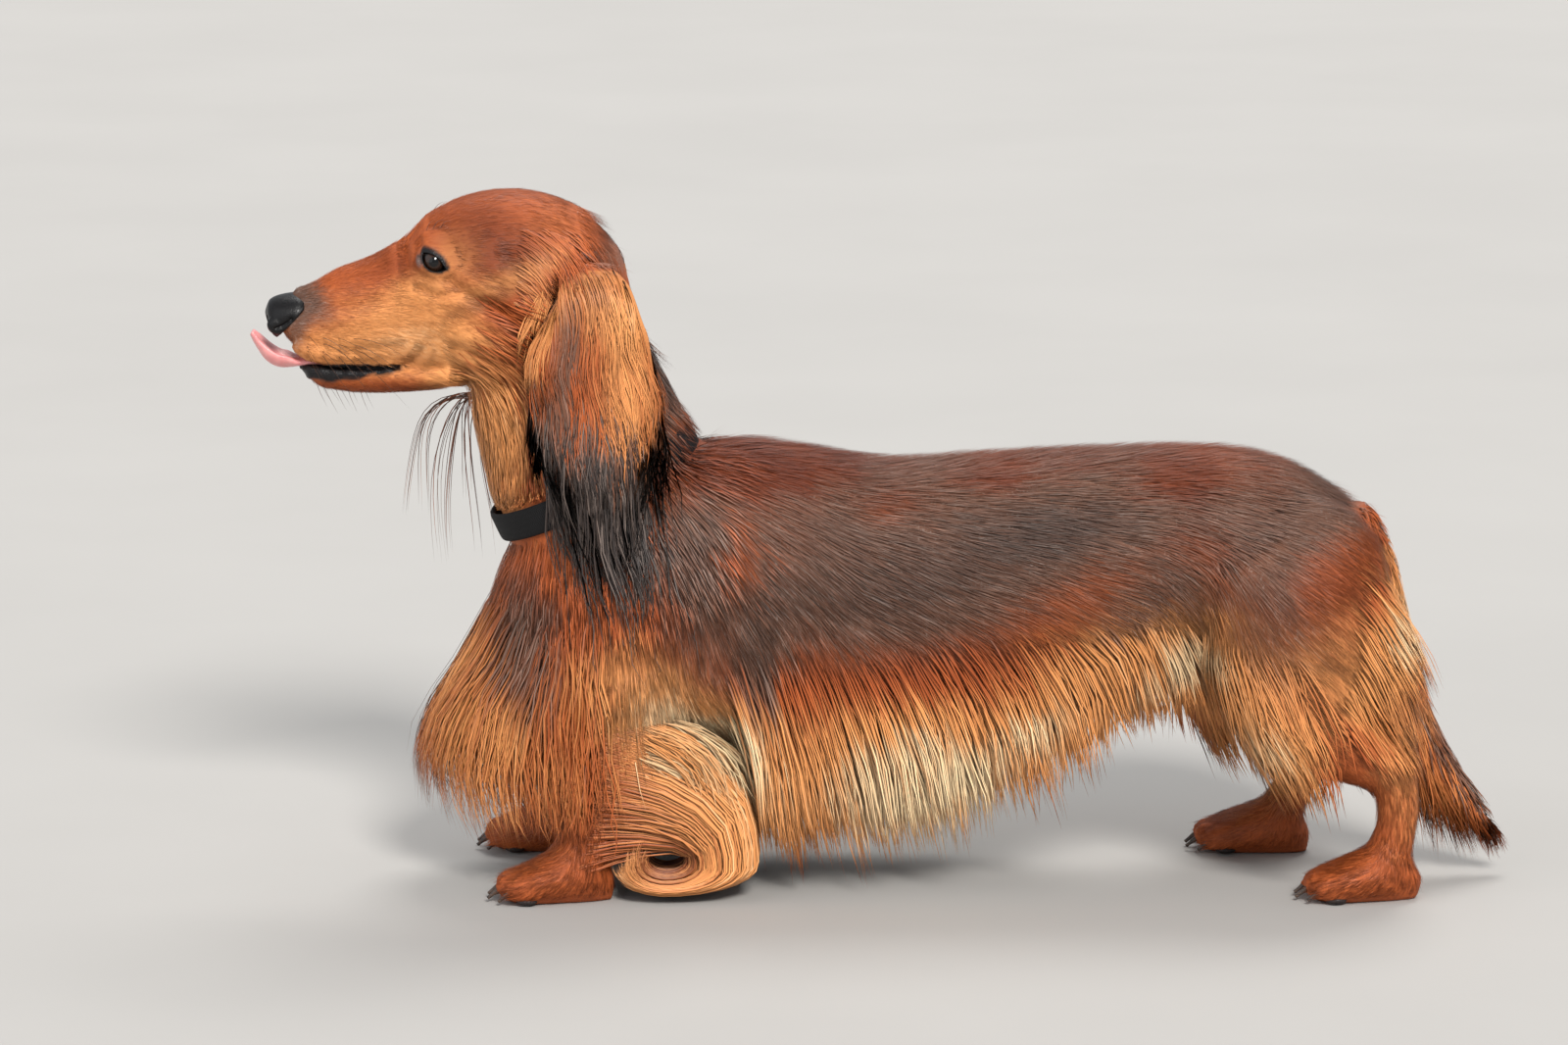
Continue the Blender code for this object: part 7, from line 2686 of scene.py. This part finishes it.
@dataclass
class Face:
    """The separate pieces of the face: eyeballs, nose leather, tongue and whiskers."""

    skin: bpy.types.Object
    nose_voxel: float = 0.0005
    random: np.random.Generator = field(default_factory=lambda: np.random.default_rng(SEED + 1))

    def eye(self, side: Side) -> bpy.types.Object:
        """One eyeball with its bulging cornea.

        Args:
            side: Which side of the dog.

        Returns:
            The eyeball.
        """
        gaze = np.array(eye_gaze(side))
        eye = ball(f"eyeball_{side.word}", (0.0, 0.0, 0.0), [EYE_RADIUS - 0.0002] * 3, segments=96)
        places = vertex_places(eye)
        turn = np.arccos(np.clip(unit(places) @ gaze, -1.0, 1.0))
        axes = np.array(eye_axes(side))
        flat = places @ axes
        around = np.arctan2(flat[:, 1], flat[:, 0]) * 3.0
        swell = 1.0 + 0.075 * bell(turn, 0.42)
        move_vertices(eye, places * swell[:, None] + np.array(eye_spot(side)))
        store(eye.data, "iris", columns(turn, around, 0.0))
        return dress(smooth(eye), EyeFinish().material())

    def nose(self) -> bpy.types.Object:
        """The nose leather with its comma nostrils and middle groove.

        Returns:
            The nose.
        """
        stations = (
            (-0.3292, 0.0, 0.3098, 0.0048, 0.004, 0.0044), (-0.3284, 0.0, 0.3095, 0.0078, 0.0062, 0.0074),
            (-0.3268, 0.0, 0.3089, 0.0106, 0.0084, 0.0102), (-0.3243, 0.0, 0.3083, 0.013, 0.0102, 0.012),
            (-0.3212, 0.0, 0.308, 0.0145, 0.0114, 0.0124), (-0.318, 0.0, 0.308, 0.0152, 0.012, 0.0122),
            (-0.3148, 0.0, 0.3082, 0.0156, 0.0122, 0.0119),
            (-0.3115, 0.0, 0.3086, 0.0156, 0.0118, 0.0112), (-0.3085, 0.0, 0.309, 0.0146, 0.0106, 0.01),
        )
        nose = Tube(stations, upright=True, power=2.1, rings=48, sides=64).solid("nose_leather")
        for side in Side:
            wing = ball(
                "wing", (-0.3218, side.value * 0.0102, 0.3046), (0.007, 0.0044, 0.0058),
                (0.0, 0.0, side.value * math.radians(-14.0)),
            )
            combine(nose, wing, "UNION")
        slope = math.radians(-46.7)
        behind = Vector((-0.3114, 0.0, 0.3094)) - Vector((math.sin(slope), 0.0, math.cos(slope))) * 0.02
        combine(nose, block("lip", behind, (0.04, 0.03, 0.0202), (0.0, slope, 0.0)), "DIFFERENCE")
        evened(nose, self.nose_voxel, 8)
        for side in Side:
            sign = side.value
            hole = ball(
                "nostril", (-0.329, sign * 0.0062, 0.306), (0.0056, 0.0024, 0.0034),
                (math.radians(sign * 18.0), 0.0, sign * math.radians(-38.0)), segments=28,
            )
            combine(nose, hole, "DIFFERENCE")
        places, normals = vertex_places(nose), vertex_normals(nose)
        comma = np.array(((-0.3235, 0.303), (-0.3205, 0.3042), (-0.3175, 0.3062), (-0.3152, 0.308)))
        away = line_distance(places[:, [0, 2]], comma)
        slit = 0.7 * bell(away, 0.001) * eased(np.abs(normals[:, 1]), 0.25, 0.6)
        end = np.linalg.norm(places[:, [0, 2]] - comma[-1], axis=1)
        slit = np.maximum(slit, bell(end, 0.0014) * (np.abs(normals[:, 1]) > 0.3))
        move_vertices(nose, places - normals * (0.0019 * slit)[:, None])
        places, normals = vertex_places(nose), vertex_normals(nose)
        groove = bell(places[:, 1], 0.0007) * (places[:, 0] < -0.3215)
        groove = groove * (1.0 - eased(places[:, 2], 0.3075, 0.3125))
        move_vertices(nose, places - normals * (0.0009 * groove)[:, None])
        finish = LeatherFinish("nose_finish", tint(5, 5, 6), tint(22, 20, 21))
        return dress(smooth(nose), finish.material())

    def tongue(self) -> bpy.types.Object:
        """The tongue, which leaves the front of the mouth and curls up before the nose.

        Returns:
            The tongue.
        """
        stations = (
            (-0.298, 0.0, 0.2836, 0.008, 0.0022, 0.0022), (-0.3118, 0.0, 0.2836, 0.009, 0.0028, 0.0026),
            (-0.3176, 0.0, 0.2832, 0.01, 0.0034, 0.003), (-0.3229, 0.0, 0.2836, 0.0106, 0.0036, 0.0032),
            (-0.3272, 0.0, 0.286, 0.0106, 0.0036, 0.0032), (-0.3318, 0.0, 0.2908, 0.0096, 0.0028, 0.0026),
            (-0.3352, 0.0, 0.2954, 0.0078, 0.0021, 0.002), (-0.3372, 0.0, 0.2984, 0.0054, 0.0015, 0.0015),
        )
        tongue = Tube(stations, power=2.2, rings=64, sides=40).solid("tongue_curl")
        places, normals = vertex_places(tongue), vertex_normals(tongue)
        groove = bell(places[:, 1], 0.0022) * 0.001 * (normals[:, 2] + normals[:, 0] > 0)
        places = places - normals * groove[:, None]
        places[:, 2] += 0.0034 * (places[:, 1] / 0.01) ** 2 * eased(-places[:, 0], 0.311, 0.32)
        move_vertices(tongue, places)
        return dress(smooth(tongue), TongueFinish().material())

    def whiskers(self, groomer: Groomer) -> bpy.types.Object:
        """The thin stiff whiskers of the muzzle, the brows and the chin.

        Args:
            groomer: What finds the nearest skin.

        Returns:
            The whiskers as one piece.
        """
        spots, ways, sizes = [], [], []
        for side in Side:
            sign = side.value
            for row in range(4):
                for column in range(4):
                    spots.append((-0.307 + 0.0085 * column, sign * 0.02, 0.2985 - 0.0034 * row))
                    ways.append((0.25 + 0.2 * column, sign * 0.9, 0.05 - 0.16 * row))
                    sizes.append(0.02 + 0.004 * column)
            for column in range(5):
                spots.append((-0.307 + 0.007 * column, sign * 0.012, 0.268))
                ways.append((0.3, sign * 0.35, -0.8))
                sizes.append(0.012)
            for column in range(3):
                spots.append((-0.243 + 0.004 * column, sign * 0.024, 0.362))
                ways.append((0.3, sign * 0.5, 0.7))
                sizes.append(0.014)
        near, normals = groomer.nearest(np.array(spots))
        aims = unit(np.array(ways) + self.random.normal(0.0, 0.08, (len(spots), 3)))
        lengths = np.array(sizes) * self.random.uniform(0.8, 1.2, len(spots))
        share = np.linspace(-0.04, 1.0, 8)[None, :, None]
        bend = np.array((0.25, 0.0, -0.35)) * share**2
        path = near[:, None, :] + (aims[:, None, :] + bend) * share * lengths[:, None, None]
        count = len(spots)
        face = np.tile(np.array((0.0, 0.0, 1.0)), (count, 8, 1))
        marks = np.tile(np.array((0.8, 0.1, 0.0)), (count, 8, 1))
        chart = columns(np.linspace(0.05, 0.95, count), 0.5)
        batch = Strands(
            path, face, np.full(count, 0.00032), 0.8, 1.6, chart, marks, self.random.random(count)
        )
        return CoatPiece("whiskers", batches=[batch]).build()


@dataclass
class Collar:
    """A plain band of webbing round the neck, half hidden in the hair."""

    stand_off: float = 0.0036
    half_width: float = 0.008
    half_thickness: float = 0.0014
    points: int = 120
    sides: int = 24

    def build(self, tree: BVHTree) -> bpy.types.Object:
        """The band as a closed ring with rounded edges and its own map.

        Args:
            tree: The search tree of the skin.

        Returns:
            The band.
        """
        middle = np.array(COLLAR_MIDDLE)
        up, ahead = collar_ways()
        angles = np.arange(self.points) * 2 * math.pi / self.points
        ways = np.cos(angles)[:, None] * ahead + np.sin(angles)[:, None] * np.array((0, 1.0, 0))
        radii = []
        for way in ways:
            hit = tree.ray_cast(Vector(middle), Vector(way))[0]
            radii.append((hit - Vector(middle)).length if hit else 0.06)
        # The band stands clear of the skin at the throat and lies under the hair at the nape
        radii = np.array(radii) + 0.0006 + self.stand_off * (0.5 + 0.5 * np.cos(angles)) ** 1.4
        for _ in range(12):
            radii = (np.roll(radii, 1) + radii * 2 + np.roll(radii, -1)) / 4
        turn = np.arange(self.sides) * 2 * math.pi / self.sides
        wide = bulged(np.cos(turn), 0.35) * self.half_width
        deep = bulged(np.sin(turn), 0.7) * self.half_thickness
        rings = (
            middle
            + ways[:, None, :] * (radii[:, None, None] + deep[None, :, None])
            + up * wide[None, :, None]
        )
        ring, side = np.divmod(np.arange(self.points * self.sides), self.sides)
        after, beside = (ring + 1) % self.points, (side + 1) % self.sides
        corners = ((ring, side), (ring, beside), (after, beside), (after, side))
        faces = columns(*(self.sides * row + place for row, place in corners))
        mesh = bpy.data.meshes.new("collar_band")
        mesh.from_pydata(rings.reshape(-1, 3).tolist(), [], faces.tolist())
        around = np.where(after == 0, self.points, after)
        wound = columns(ring, ring, around, around) / self.points
        spots = np.stack([wound, columns(side, side + 1, side + 1, side) / self.sides], axis=2)
        layer = mesh.uv_layers.new(name="band")
        layer.data.foreach_set("uv", spots.astype(np.float32).ravel())
        band = add_object("collar_band", mesh)
        return dress(smooth(outward(band)), WebbingFinish().material())


@dataclass
class Feet:
    """The claws and pads of the four feet."""

    def claws(self) -> bpy.types.Object:
        """Sixteen curved claws as one piece.

        Returns:
            The claws.
        """
        made = []
        for side in Side:
            for leg in legs_of(side):
                for x, y in toe_spots(leg, side):
                    stations = [
                        (x - 0.005 - 0.0092 * s, y, 0.0076 - 0.0056 * s**1.5, *(size,) * 3)
                        for s, size in ((0, 0.0019), (0.4, 0.0017), (0.75, 0.0011), (1.0, 0.0004))
                    ]
                    made.append(Tube(stations, rings=12, sides=12).solid("claw"))
        return dress(smooth(joined("claws", made)), HornFinish().material())

    def pads(self) -> bpy.types.Object:
        """The pads under the feet as one piece.

        Returns:
            The pads.
        """
        made = []
        for side in Side:
            for leg in legs_of(side):
                wrist, middle = leg[-1][0], leg[-1][1]
                made.append(ball("pad", (wrist - 0.008, middle, 0.0026), (0.009, 0.011, 0.0024)))
                for x, y in toe_spots(leg, side):
                    made.append(ball("pad", (x + 0.001, y, 0.0024), (0.0058, 0.0042, 0.0022), segments=20))
        finish = LeatherFinish("pad_finish", tint(24, 20, 20), tint(58, 48, 46), roughness=0.55)
        return dress(smooth(joined("foot_pads", made)), finish.material())


@dataclass(frozen=True)
class Lamp:
    """A distant soft light: where it comes from, how wide it looks, its power and colour."""

    name: str
    place: tuple[float, float, float]
    angle: float
    power: float
    colour: tuple[float, float, float] = (1.0, 1.0, 1.0)


@dataclass
class Studio:
    """The pale floor, the soft lights and the camera at the photograph's angle."""

    lamps: tuple[Lamp, ...] = (
        Lamp("key", (0.6, -2.2, 1.9), 16.0, 3.7, (1.0, 0.97, 0.93)),
        Lamp("fill", (-2.2, -1.8, 1.2), 60.0, 0.8, (0.95, 0.97, 1.0)),
        Lamp("rim", (0.5, 1.5, 2.6), 30.0, 1.7, (1.0, 0.98, 0.95)),
    )

    def build(self) -> None:
        """Builds the studio."""
        bpy.ops.object.select_all(action="DESELECT")
        bpy.ops.mesh.primitive_plane_add(size=FLOOR_SIZE, location=(0.0, 0.0, -FLOOR_DROP))
        floor = settle(bpy.context.active_object, "floor")
        dress(floor, FloorFinish().material())
        aim = Vector(LAMPS_AIM)
        for lamp in self.lamps:
            data = bpy.data.lights.new(lamp.name, "SUN")
            data.angle, data.energy, data.color = math.radians(lamp.angle), lamp.power, lamp.colour
            light = bpy.data.objects.new(lamp.name, data)
            light.location = lamp.place
            light.rotation_euler = (aim - Vector(lamp.place)).to_track_quat("-Z", "Y").to_euler()
            bpy.context.scene.collection.objects.link(light)
        world = bpy.data.worlds.new("studio")
        world.use_nodes = True
        back = world.node_tree.nodes["Background"]
        back.inputs["Color"].default_value = SKY_COLOUR
        back.inputs["Strength"].default_value = SKY_STRENGTH
        bpy.context.scene.world = world
        bpy.context.scene.view_settings.view_transform = "Standard"
        self.camera()

    def camera(self) -> None:
        """Places the camera as the photograph was taken."""
        data = bpy.data.cameras.new("camera")
        data.sensor_width = SENSOR_WIDTH
        data.lens = SENSOR_WIDTH * VIEW_DISTANCE / VIEW_WIDTH_METRES
        camera = bpy.data.objects.new("camera", data)
        tilt = math.radians(VIEW_ELEVATION)
        away = Vector((0.0, -math.cos(tilt), math.sin(tilt))) * VIEW_DISTANCE
        camera.location = Vector(VIEW_AIM) + away
        camera.rotation_euler = (-away).to_track_quat("-Z", "Y").to_euler()
        bpy.context.scene.collection.objects.link(camera)
        bpy.context.scene.camera = camera


FLESH = (
    "head", "lower_jaw", "neck", "chest", "barrel", "rump", "tail", "ear_left", "ear_right",
    "foreleg_left", "foreleg_right", "forepaw_left", "forepaw_right",
    "hindleg_left", "hindleg_right", "hindpaw_left", "hindpaw_right",
)


def shift_of_solids() -> Vector:
    """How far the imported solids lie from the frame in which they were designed."""
    left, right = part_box("eye_left"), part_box("eye_right")
    middle = [(left[0][axis] + left[1][axis] + right[0][axis] + right[1][axis]) / 4 for axis in (0, 1)]
    return Vector((middle[0] - EYE_CENTRE[0], middle[1], 0.0))


def main() -> None:
    """Builds the dog and its studio, and reports each piece."""
    logging.basicConfig(level=logging.INFO, format="%(message)s")
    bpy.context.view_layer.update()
    Studio().build()
    skin = Skin().build()
    log.info("skin: %d faces", len(skin.data.polygons))
    SkinDress().apply(skin)
    groomer = Groomer(skin)
    collar = Collar().build(groomer.tree)
    groomer.feel(skin, collar)
    coat = Grooming(groomer).build()
    face = Face(skin)
    feet = Feet()
    whiskers = face.whiskers(groomer)
    dress(whiskers, coat[0].data.materials[0])
    replaced = {
        skin: (FLESH, "coat_red"),
        collar: (("collar",), "collar"),
        face.eye(Side.LEFT): (("eye_left",), "eye"),
        face.eye(Side.RIGHT): (("eye_right",), "eye"),
        face.nose(): (("nose",), "nose_leather"),
        face.tongue(): (("tongue",), "tongue"),
    }
    loose = [*coat, whiskers, feet.claws(), feet.pads()]
    shift = shift_of_solids()
    for piece in (*replaced, *loose):
        move_vertices(piece, vertex_places(piece) + np.array(shift))
        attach(piece, "root")
        log.info("%s: %d faces", piece.name, len(piece.data.polygons))
    for piece, (nodes, slot) in replaced.items():
        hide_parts(*nodes)


if __name__ == "__main__":
    main()
